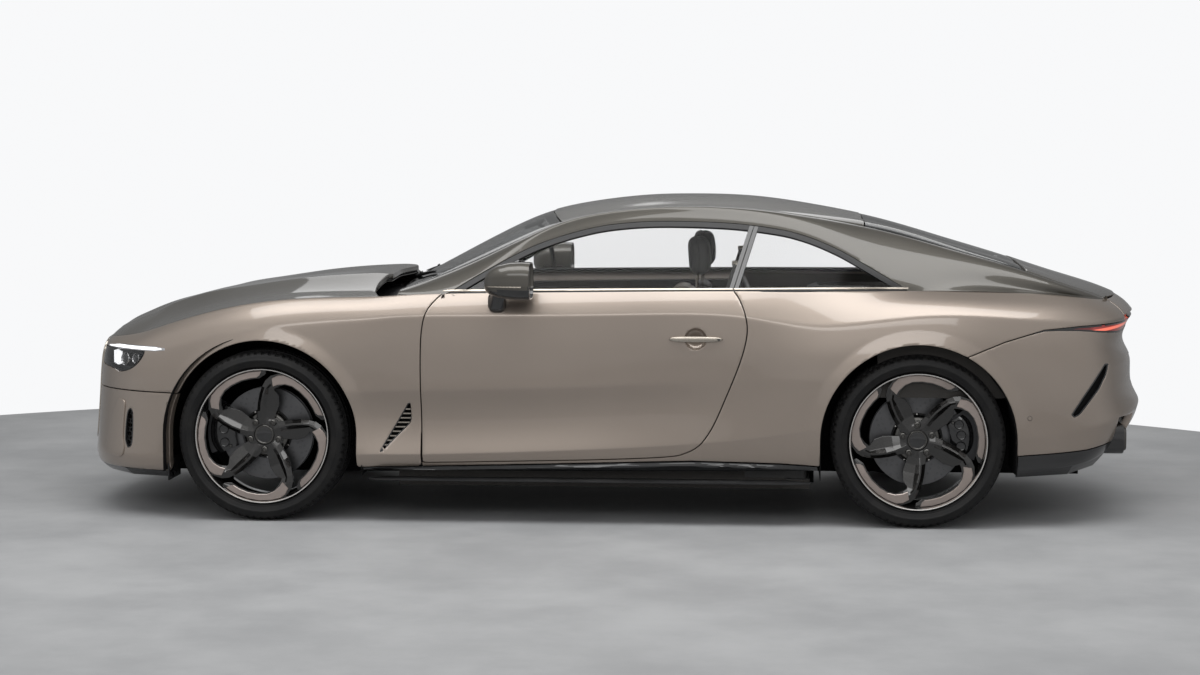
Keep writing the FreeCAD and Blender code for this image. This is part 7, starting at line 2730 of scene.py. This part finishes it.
def dash_curve(p):
    wing = (abs(p.y) / 0.69) ** 2
    hood = math.exp(-((p.y - SEAT_Y) / 0.16) ** 2)
    top = ease(0.90, 0.97, p.z)
    back = ease(-0.80, -0.60, p.x)
    return Vector(
        (
            p.x - 0.030 * wing * back + 0.018 * back * (1 - wing), p.y,
            p.z + (0.010 * hood - 0.010 * wing) * top * back,
        )
    )


dash.warp(dash_curve)
dash.modify("BEVEL", width=0.012, segments=3, limit_method="ANGLE", angle_limit=math.radians(28))
dash.pick(lambda c, n: 0.71 < c.z < 0.80 and n.x > 0.2 and abs(c.y) < 0.66).paint(CREAM)
dash_parts = [dash.done(35)]
fascia = drawn("dash_fascia", TRIM_METAL, "Y", [
    (-0.655, 0.003, 0.018, -0.478, 0.812), (-0.640, 0.005, 0.022, -0.476, 0.812),
    (-0.30, 0.006, 0.023, -0.462, 0.812), (0.0, 0.006, 0.023, -0.456, 0.812),
    (0.30, 0.006, 0.023, -0.462, 0.812), (0.640, 0.005, 0.022, -0.476, 0.812),
    (0.655, 0.003, 0.018, -0.478, 0.812),
], 0.7)
dash_parts.append(fascia.done(40))
for vent_y in (-0.600, -0.175, 0.175, 0.600):
    ring = turned(
        "dash_vent", TRIM_METAL,
        [(0.026, -0.030), (0.030, 0.004), (0.034, 0.006), (0.036, 0.002), (0.036, -0.010)], (0, 0, 0), 32,
    )
    core = turned(
        "dash_vent_core", GLOSS_BLACK, [(0.0285, 0.000), (0.020, 0.002), (0.008, 0.004), (0.0, 0.004)],
        (0, 0, 0), 32,
    )
    for made in (ring, core):
        obj = made.done(40)
        obj.data.transform(
            Matrix.Translation(
                (-0.462 - 0.02 * (abs(vent_y) / 0.6) ** 2, vent_y, 0.905)
            ) @ Matrix.Rotation(math.radians(90), 4, "Z")
        )
        dash_parts.append(obj)
screen_face = glowing("screen_face", (0.010, 0.014, 0.020), 0.25)
display = rounded_block(
    "dash_display", GLOSS_BLACK, (-0.462, -0.130, 0.838), (-0.440, 0.130, 0.952), 0.005, 3,
)
display.pick(lambda c, n: n.x > 0.9).inset(0.006).paint(screen_face)
dash_parts.append(display.done(40))
binnacle = drawn("dash_binnacle", BLACK_LEATHER, "X", [
    (-0.560, 0.120, 0.034, SEAT_Y, 0.955), (-0.500, 0.138, 0.050, SEAT_Y, 0.952),
    (-0.462, 0.142, 0.054, SEAT_Y, 0.948), (-0.448, 0.138, 0.051, SEAT_Y, 0.948),
], 0.8, 6)
binnacle.inset(0.008)
binnacle.extrude((-0.018, 0, 0)).paint(screen_face)
dash_parts.append(binnacle.done(40))
glove = rounded_block(
    "dash_drawer", BLACK_LEATHER, (-0.520, 0.240, 0.655), (-0.490, 0.600, 0.735), 0.010, 3,
)
dash_parts.append(glove.done(40))
fixed(joined("dashboard_detail", *dash_parts), "body", "dashboard")

console = rounded_block(
    "console_body", BLACK_LEATHER, (-0.500, -0.104, 0.1905), (0.368, 0.104, 0.440), 0.022, 4,
)
console.pick(lambda c, n: n.z > 0.9 and abs(c.x) < 1)
console.inset(0.016, -0.004)
front_slope = drawn("console_slope", BLACK_LEATHER, "X", [
    (-0.640, 0.085, 0.120, 0.0, 0.560), (-0.560, 0.098, 0.135, 0.0, 0.530),
    (-0.470, 0.103, 0.150, 0.0, 0.470), (-0.380, 0.100, 0.130, 0.0, 0.430),
], 0.35)
top_trim = drawn("console_trim", TRIM_METAL, "X", [
    (-0.470, 0.070, 0.003, 0.0, 0.4405), (-0.440, 0.080, 0.004, 0.0, 0.4410),
    (-0.200, 0.083, 0.004, 0.0, 0.4410), (0.020, 0.080, 0.004, 0.0, 0.4410),
    (0.045, 0.074, 0.003, 0.0, 0.4405),
], 0.8)
arm = drawn("console_arm_rest", CREAM, "X", [
    (0.055, 0.070, 0.016, 0.0, 0.462), (0.070, 0.086, 0.026, 0.0, 0.463), (0.110, 0.092, 0.031, 0.0, 0.464),
    (0.300, 0.092, 0.031, 0.0, 0.464), (0.345, 0.086, 0.026, 0.0, 0.463), (0.360, 0.070, 0.016, 0.0, 0.462),
], 0.9, 6)
lever = turned(
    "gear_lever", TRIM_METAL,
    [
        (0.034, 0.0), (0.034, 0.004), (0.014, 0.010), (0.011, 0.040), (0.018, 0.052), (0.023, 0.066),
        (0.022, 0.084), (0.014, 0.094), (0.0, 0.096),
    ],
    (0, 0, 0), 32,
)
lever = stood(lever.done(40), (-0.250, -0.030, 0.444))
console_parts = [console.done(40), front_slope.done(40), top_trim.done(40), arm.done(50), lever]
for k in range(2):
    cup = turned(
        "cup_holder", GLOSS_BLACK,
        [(0.043, 0.0), (0.042, 0.003), (0.039, 0.003), (0.037, -0.002), (0.035, -0.002)], (0, 0, 0), 36,
    )
    console_parts.append(stood(cup.done(40), (-0.140 + 0.092 * k, 0.0, 0.4452)))
for y in (-0.055, -0.018, 0.018, 0.055):
    key = rounded_block(
        "console_key", SATIN_BLACK, (-0.400, y - 0.013, 0.444), (-0.374, y + 0.013, 0.4505), 0.0022, 2,
    )
    console_parts.append(key.done(40))
fixed(joined("console_detail", *console_parts), "body", "centre_console")

# ---------------------------------------------------------------- steering wheel, made upright then tilted
WHEEL_PLACE = Matrix.Translation((-0.340, SEAT_Y, 0.795)) @ Matrix.Rotation(
    math.radians(90), 4, "Z",
) @ Matrix.Rotation(
    math.radians(-25), 4, "X",
)
rim_line = [(0.1675 + 0.0155 * math.cos(a), 0.0145 * math.sin(a)) for a in np.linspace(0, 2 * math.pi, 15)]
wheel_rim = turned("steering_rim", BLACK_LEATHER, rim_line, (0, 0, 0), 96, closed=True)
wheel_rim.warp(
    lambda p: p * (1 + 0.018 * max(0.0, math.cos(4 * (math.atan2(p.z, p.x) - math.radians(30))) - 0.6))
)
wheel_parts = [wheel_rim.done(60)]
hub = drawn("steering_hub", BLACK_LEATHER, "Y", [
    (0.034, 0.050, 0.044, 0.0, 0.0), (0.020, 0.064, 0.056, 0.0, -0.002),
    (-0.004, 0.076, 0.062, 0.0, -0.004), (-0.016, 0.070, 0.056, 0.0, -0.004),
    (-0.021, 0.052, 0.040, 0.0, -0.004),
], 0.85, 6)
wheel_parts.append(hub.done(50))
for angle in (0, 180, 90):
    spoke_arm = drawn("steering_spoke", TRIM_METAL if angle == 90 else SATIN_BLACK, "X", [
        (0.052, 0.010, 0.024, 0.0, 0.0), (0.085, 0.009, 0.022, 0.0, 0.0), (0.120, 0.007, 0.016, 0.002, 0.0),
        (0.150, 0.006, 0.015, 0.002, 0.0), (0.164, 0.005, 0.014, 0.002, 0.0),
    ], 0.7)
    spoke_arm = spoke_arm.done(45)
    spoke_arm.data.transform(Matrix.Rotation(math.radians(angle), 4, "Y"))
    wheel_parts.append(spoke_arm)
for hand in (-1, 1):
    for k in range(2):
        key = rounded_block(
            "steering_key", TRIM_METAL, (hand * (0.094 + 0.018 * k) - 0.006, -0.0125, -0.009),
            (hand * (0.094 + 0.018 * k) + 0.006, -0.006, 0.009), 0.002, 2,
        )
        wheel_parts.append(key.done(40))
    paddle = drawn(
        "steering_paddle", DARK_METAL, "Y",
        [
            (0.022, 0.040, 0.018, hand * 0.105, 0.030), (0.018, 0.042, 0.020, hand * 0.105, 0.030),
            (0.015, 0.040, 0.018, hand * 0.105, 0.030),
        ],
        0.8,
    )
    wheel_parts.append(paddle.done(40))
boss = turned(
    "steering_boss", TRIM_METAL, [(0.020, 0.0185), (0.020, 0.0225), (0.0185, 0.0235), (0.0, 0.0240)],
    (0, 0, -0.004), 40,
)
wheel_parts.append(boss.done(40))
steering = joined("steering_wheel_detail", *wheel_parts)
steering.data.transform(WHEEL_PLACE)
fixed(steering, "steering_wheel", "steering_wheel")
cowl = drawn("column_cowl", BLACK_LEATHER, "X", [
    (-0.500, 0.045, 0.050, SEAT_Y, 0.735), (-0.450, 0.050, 0.052, SEAT_Y, 0.758),
    (-0.400, 0.046, 0.042, SEAT_Y, 0.772), (-0.385, 0.036, 0.034, SEAT_Y, 0.776),
], 0.7)
stalks = []
for hand in (-1, 1):
    stalks.append(
        strip(
            "column_stalk", SATIN_BLACK,
            [
                (-0.410, SEAT_Y + hand * 0.030, 0.785), (-0.400, SEAT_Y + hand * 0.090, 0.800),
                (-0.392, SEAT_Y + hand * 0.135, 0.812),
            ],
            0.0055, 12,
        )
    )
fixed(joined("steering_cowl", cowl.done(45), *stalks))

# ---------------------------------------------------------------- linings, belts and mirror
HEADCLOTH = woven("dark_headcloth", (0.030, 0.028, 0.026), 1400.0)
head_lining = panel(
    "head_lining", upper, (2.9, 7.6), (2.7, 6.0),
    lambda p, u, v: np.minimum(u - 2.9, 7.6 - u) * 0.25 + 0.001, HEADCLOTH, 0.04, 0.002, 0.004, 0.034,
    both=True,
)
head_lining.data.flip_normals()
fixed(head_lining)
pillar_lining = panel(
    "pillar_lining", upper, (0.3, 12.0), (1.02, 2.9),
    lambda p, u, v: np.minimum.reduce([-in_window(*xz(p)) - 0.008, 1.45 - p[..., 0], p[..., 2] - 1.045]),
    SATIN_BLACK, 0.03, 0.002, 0.004, 0.030,
)
pillar_lining.data.flip_normals()
fixed(both_sides("pillar_linings", pillar_lining))
quarter_lining = panel(
    "quarter_lining", side, (8.8, 12.0), (1.8, SIDE_TOP - 0.3),
    lambda p, u, v: np.minimum.reduce([
        -in_door(*xz(p)) - 0.010, arch(p[..., 0], p[..., 2], REAR_AXLE) + 0.10, 0.895 - p[..., 0],
        p[..., 2] - 0.30, 0.985 - p[..., 2],
    ]),
    BLACK_LEATHER, 0.03, 0.003, 0.006, 0.150,
)
quarter_lining.data.flip_normals()
quarter_rest = drawn("quarter_arm_rest", CREAM, "X", [
    (0.62, 0.014, 0.014, -0.800, 0.640), (0.65, 0.036, 0.030, -0.795, 0.640),
    (0.84, 0.036, 0.030, -0.780, 0.645), (0.875, 0.014, 0.014, -0.780, 0.645),
], 0.8)
fixed(both_sides("quarter_linings", joined("quarter_linings", quarter_lining, quarter_rest.done(45))))
shelf = rounded_block(
    "parcel_shelf_cover", HEADCLOTH, (0.900, -0.612, 0.9455), (1.560, 0.612, 0.9545), 0.004, 2,
)
shelf.pick(facing_up).inset(0.05, 0.002)
shelf_parts = [shelf.done()]
for y in (-0.40, 0.40):
    grid = turned(
        "shelf_speaker", DARK_METAL, [(0.082, 0.0), (0.082, 0.004), (0.076, 0.006), (0.0, 0.008)],
        (0, 0, 0), 40,
    )
    shelf_parts.append(stood(grid.done(40), (1.25, y, 0.9560)))
fixed(joined("parcel_shelf_cover", *shelf_parts))

belt_line = [
    (0.588, -0.765, 1.130), (0.570, -0.800, 1.075), (0.550, -0.835, 1.010), (0.535, -0.850, 0.950),
    (0.520, -0.854, 0.860), (0.510, -0.856, 0.740), (0.506, -0.858, 0.560),
    (0.502, -0.850, 0.400), (0.500, -0.835, 0.262),
]
belt_strap = webbing(
    "seat_belt", woven("belt_webbing", (0.020, 0.019, 0.018), 1600.0), belt_line, (0.023, 0, -0.004),
)
loop = rounded_block("belt_loop", TRIM_METAL, (0.556, -0.772, 1.118), (0.620, -0.756, 1.142), 0.006, 3)
loop.pick(lambda c, n: abs(n.y) > 0.9).inset(0.006, -0.003)
buckle = rounded_block("belt_buckle", SATIN_BLACK, (0.140, -0.118, 0.430), (0.162, -0.104, 0.520), 0.005, 3)
buckle.pick(facing_up).inset(0.002, -0.002).paint(GLOSS_BLACK)
fixed(both_sides("seat_belts", joined("seat_belts", belt_strap, loop.done(), buckle.done())))

inner_mirror = drawn("inside_mirror", GLOSS_BLACK, "X", [
    (-0.330, 0.090, 0.014, 0.0, 1.222), (-0.322, 0.112, 0.025, 0.0, 1.222),
    (-0.306, 0.120, 0.031, 0.0, 1.222), (-0.300, 0.119, 0.030, 0.0, 1.222),
], 0.9, 6)
inner_mirror.inset(0.003).paint(BRIGHT_EDGE)
mirror_arm = strip(
    "inside_mirror_arm", SATIN_BLACK, [(-0.320, 0, 1.236), (-0.345, 0, 1.258), (-0.372, 0, 1.276)], 0.008,
    16,
)
mirror_foot = rounded_block(
    "inside_mirror_foot", SATIN_BLACK, (-0.430, -0.045, 1.262), (-0.345, 0.045, 1.286), 0.010, 3,
)
mirror_foot.warp(lambda p: Vector((p.x, p.y, p.z + (p.x + 0.3875) * 0.36)))
fixed(joined("inside_mirror", inner_mirror.done(45), mirror_arm, mirror_foot.done()))


# ---------------------------------------------------------------- lids' undersides, engine bay and boot
def underside(name, surface, u_span, v_span, keep, finish, sink, cell=0.03, detail=None):
    """Inner panel that shows when a lid is open, facing inwards."""
    made = panel(
        name, surface, u_span, v_span, keep, finish, cell, 0.002, 0.003, sink, detail=detail, both=True,
    )
    made.data.flip_normals()
    return made


def under_bonnet(drop):
    """The bonnet's shape lowered by drop."""
    return lambda u, v: bonnet_detail(u, v) - np.array((0, 0, drop))


def keep_ribs(p, u, v):
    """Pressed frame under the bonnet: a border, a spine and two slanting ribs."""
    x, y = p[..., 0], np.abs(p[..., 1])
    bands = [
        0.038 - y, 0.034 - np.abs(y - 0.14 - (x + 2.2) * 0.34), (1.0 - v) * 0.06, (0.9 - u) * 0.08,
        (u - 11.2) * 0.08, 0.032 - np.abs(x + 1.62),
    ]
    return np.minimum(np.maximum.reduce(bands), keep_bonnet(p, u, v) - 0.006)


BONNET_PAD = woven("bonnet_pad", (0.020, 0.020, 0.020), 700.0)
pad = underside(
    "bonnet_pad", bonnet_surface, (0.05, 11.9), (0.05, 6.0), lambda p, u, v: keep_bonnet(p, u, v) - 0.004,
    BONNET_PAD, 0, detail=under_bonnet(0.026),
)
ribs = underside(
    "bonnet_ribs", bonnet_surface, (0.08, 11.9), (0.08, 6.0), keep_ribs, DARK_PAINT, 0, 0.016,
    detail=under_bonnet(0.033),
)
fixed(joined("bonnet_inner", pad, ribs), "bonnet")
deck_pad = underside(
    "deck_pad", upper, (SCREEN_END + 0.12, 12.92), (3.06, 6.0),
    lambda p, u, v: np.minimum(u - SCREEN_END - 0.15, 12.9 - u) * 0.25, CARPET, 0.0155,
)
lip_pad = underside(
    "lip_pad", side, (14.25, 16.0), (9.4, SIDE_TOP), lambda p, u, v: p[..., 2] - 0.910, SATIN_BLACK, 0.0195,
    detail=on_side,
)
fixed(joined("boot_lid_inner", deck_pad, lip_pad), "boot_lid")

low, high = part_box("engine_block")
cover = rounded_block(
    "engine_cover_body", SATIN_BLACK, (low.x + 0.03, low.y + 0.04, high.z + 0.001),
    (high.x - 0.03, high.y - 0.04, high.z + 0.052), 0.018, 4,
)
cover.pick(facing_up).inset(0.035, -0.006)
bay_parts = [cover.done(40)]
for k in range(7):
    y = (low.y + high.y) / 2 + (k - 3) * 0.052
    ridge = rounded_block(
        "engine_cover_rib", GLOSS_BLACK, (low.x + 0.10, y - 0.010, high.z + 0.040),
        (high.x - 0.16, y + 0.010, high.z + 0.056), 0.005, 2,
    )
    ridge.pick(facing_up).inset(0.003, -0.001)
    bay_parts.append(ridge.done(40))
plaque = rounded_block(
    "engine_cover_plaque", TRIM_METAL, (high.x - 0.135, low.y + 0.14, high.z + 0.044),
    (high.x - 0.075, high.y - 0.14, high.z + 0.055), 0.004, 2,
)
plaque.pick(facing_up).inset(0.005, -0.001)
bay_parts.append(plaque.done(40))
for hand in (-1, 1):
    y = hand * (abs(low.y) - 0.02)
    bay_parts.append(strip("intake_duct", SATIN_BLACK, [
        (high.x - 0.30, y * 0.9, high.z + 0.010), (high.x - 0.42, y * 1.12, high.z + 0.018),
        (low.x + 0.10, y * 1.25, high.z + 0.008), (low.x - 0.10, y * 1.22, high.z - 0.015),
        (low.x - 0.24, y * 1.05, high.z - 0.050),
    ], 0.034, 24))
    box = rounded_block(
        "bay_box", SATIN_BLACK, (-1.02, hand * 0.50 - 0.13, 0.760), (-0.925, hand * 0.50 + 0.13, 0.880),
        0.010, 3,
    )
    box.pick(facing_up).inset(0.012, 0.006)
    bay_parts.append(box.done(40))
    filler = turned(
        "filler_cap", GLOSS_BLACK, [(0.030, 0.0), (0.030, 0.014), (0.026, 0.018), (0.0, 0.019)], (0, 0, 0),
        24,
    )
    filler.pick(lambda c, n: abs(n.y) < 0.3).inset(0.001, -0.001, each=True)
    bay_parts.append(
        stood(filler.done(40), (high.x - 0.22, hand * 0.16 + (low.y + high.y) / 2, high.z + 0.050))
    )
bay_parts.append(
    strip(
        "strut_brace", DARK_METAL,
        [
            (-1.46, -0.60, 0.855), (-1.40, -0.50, 0.880), (-1.36, 0.0, 0.892), (-1.40, 0.50, 0.880),
            (-1.46, 0.60, 0.855),
        ],
        0.014, 16,
    )
)
fixed(joined("engine_bay_detail", *bay_parts))
gutter = panel(
    "bay_gutter", bonnet_surface, (0.15, 11.3), (0.0, 2.2),
    lambda p, u, v: np.maximum((1.5 - v) * 0.08, (1.3 - u) * 0.10), SATIN_BLACK, 0.03, 0.003, 0.040, 0.075,
    both=True,
)
fixed(gutter)
boot_walls = underside(
    "boot_walls", side, (10.6, 16.0), (5.0, SIDE_TOP - 0.2),
    lambda p, u, v: np.minimum.reduce([p[..., 2] - 0.560, 0.955 - p[..., 2], p[..., 0] - 0.925]), CARPET,
    0.075, 0.03,
)
fixed(boot_walls)
mat = rounded_block("boot_mat", CARPET, (0.935, -0.620, 0.5605), (2.185, 0.620, 0.5680), 0.003, 2)
mat.pick(facing_up).inset(0.03, 0.0015)
fixed(mat.done())


# ---------------------------------------------------------------- floor, light and camera
FLOOR = Finish("pale_floor", (0.38, 0.385, 0.39), 0.6)
cloud = FLOOR.noise(1.3, 6.0, 0.65)
FLOOR.set(
    Base_Color=FLOOR.mix(cloud.within(0.25, 0.75), (0.30, 0.305, 0.312), (0.40, 0.405, 0.41)),
    Roughness=cloud * 0.2 + 0.48,
    Normal=FLOOR.bump(FLOOR.noise(40.0, 4.0), 0.001, 0.3),
)
floor = Piece("floor", FLOOR, "circle", (-0.55, -1.13, 0), vertices=160, radius=5.3, fill_type="NGON")
floor.pick().inset(0.4)
object_mode()

world = bpy.context.scene.world or bpy.data.worlds.new("studio")
bpy.context.scene.world = world
world.use_nodes = True
tree = world.node_tree
tree.nodes.clear()
output = tree.nodes.new("ShaderNodeOutputWorld")
light = tree.nodes.new("ShaderNodeBackground")
shown = tree.nodes.new("ShaderNodeBackground")
mixer = tree.nodes.new("ShaderNodeMixShader")
rays = tree.nodes.new("ShaderNodeLightPath")
either = tree.nodes.new("ShaderNodeMath")
either.operation = "MAXIMUM"
place = tree.nodes.new("ShaderNodeTexCoord")
split = tree.nodes.new("ShaderNodeSeparateXYZ")
ramp = tree.nodes.new("ShaderNodeValToRGB")
half = tree.nodes.new("ShaderNodeMapRange")
far = tree.nodes.new("ShaderNodeMapRange")
half.inputs["From Min"].default_value, half.inputs["From Max"].default_value = -1, 1
for spot, grey in ((0.0, 0.16), (0.495, 0.20), (0.52, 0.62), (0.62, 0.78), (1.0, 0.80)):
    stops = ramp.color_ramp.elements
    element = stops.new(spot) if spot not in (0.0, 1.0) else stops[int(spot)]
    element.color = (grey, grey * 1.004, grey * 1.012, 1)
far.inputs["From Min"].default_value, far.inputs["From Max"].default_value = -0.1, 0.5
far.inputs["To Min"].default_value, far.inputs["To Max"].default_value = 0.80, 0.30
shown.inputs["Color"].default_value = (0.94, 0.945, 0.955, 1)
shown.inputs["Strength"].default_value = 1.0
for out, into in (
    (place.outputs["Generated"], split.inputs[0]), (split.outputs[1], far.inputs["Value"]),
    (far.outputs["Result"], light.inputs["Strength"]), (split.outputs[2], half.inputs["Value"]),
    (half.outputs["Result"], ramp.inputs["Fac"]),
    (ramp.outputs["Color"], light.inputs["Color"]), (rays.outputs["Is Camera Ray"], either.inputs[0]),
    (rays.outputs["Is Transmission Ray"], either.inputs[1]),
    (either.outputs[0], mixer.inputs["Fac"]), (light.outputs[0], mixer.inputs[1]),
    (shown.outputs[0], mixer.inputs[2]), (mixer.outputs[0], output.inputs["Surface"]),
):
    tree.links.new(out, into)


def area_light(name, place, aim, size, power):
    lamp = bpy.data.lights.new(name, "AREA")
    lamp.shape = "RECTANGLE"
    lamp.size, lamp.size_y = size
    lamp.energy = power
    obj = bpy.data.objects.new(name, lamp)
    bpy.context.scene.collection.objects.link(obj)
    obj.location = place
    obj.rotation_euler = (Vector(aim) - Vector(place)).to_track_quat("-Z", "Y").to_euler()
    return obj


area_light("ceiling_softbox", (0.0, -2.0, 4.6), (0.0, -0.6, 0.0), (7.4, 2.4), 190)
area_light("left_softbox", (-0.5, -7.5, 3.6), (0.0, 0.0, 0.7), (7.0, 1.4), 75)
area_light("right_softbox", (0.0, 6.5, 5.0), (0.0, 0.0, 0.7), (7.0, 3.2), 70)

camera_data = bpy.data.cameras.new("camera")
camera_data.lens, camera_data.sensor_width = 70.1, 36.0
camera = bpy.data.objects.new("camera", camera_data)
camera.location = (0.755, -10.956, 1.642)
camera.rotation_euler = (math.radians(85.3), 0, math.radians(4.35))
bpy.context.scene.collection.objects.link(camera)
bpy.context.scene.camera = camera
bpy.context.scene.view_settings.view_transform = "Standard"

# ---------------------------------------------------------------- finishes of the CAD nodes
NODE_FINISHES = {
    GLOSS_BLACK: ("front_splitter", "rear_diffuser"),
    DARK_METAL: ("exhaust_tips",),
    LINER: ("wheelhouses", "firewall", "rear_bulkhead", "door_posts"),
    STEEL: (
        "suspension_arms", "front_subframe", "rear_subframe", "hinges", "front_left_knuckle",
        "front_right_knuckle", "steering_column",
    ),
    IRON: ("engine_block",),
    CARPET: ("floor_pan", "boot_floor"),
}
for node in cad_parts.values():
    node.data.materials.clear()
    node.data.materials.append(SATIN_BLACK.material)
for finish, names in NODE_FINISHES.items():
    for name in names:
        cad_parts[name].data.materials[0] = finish.material
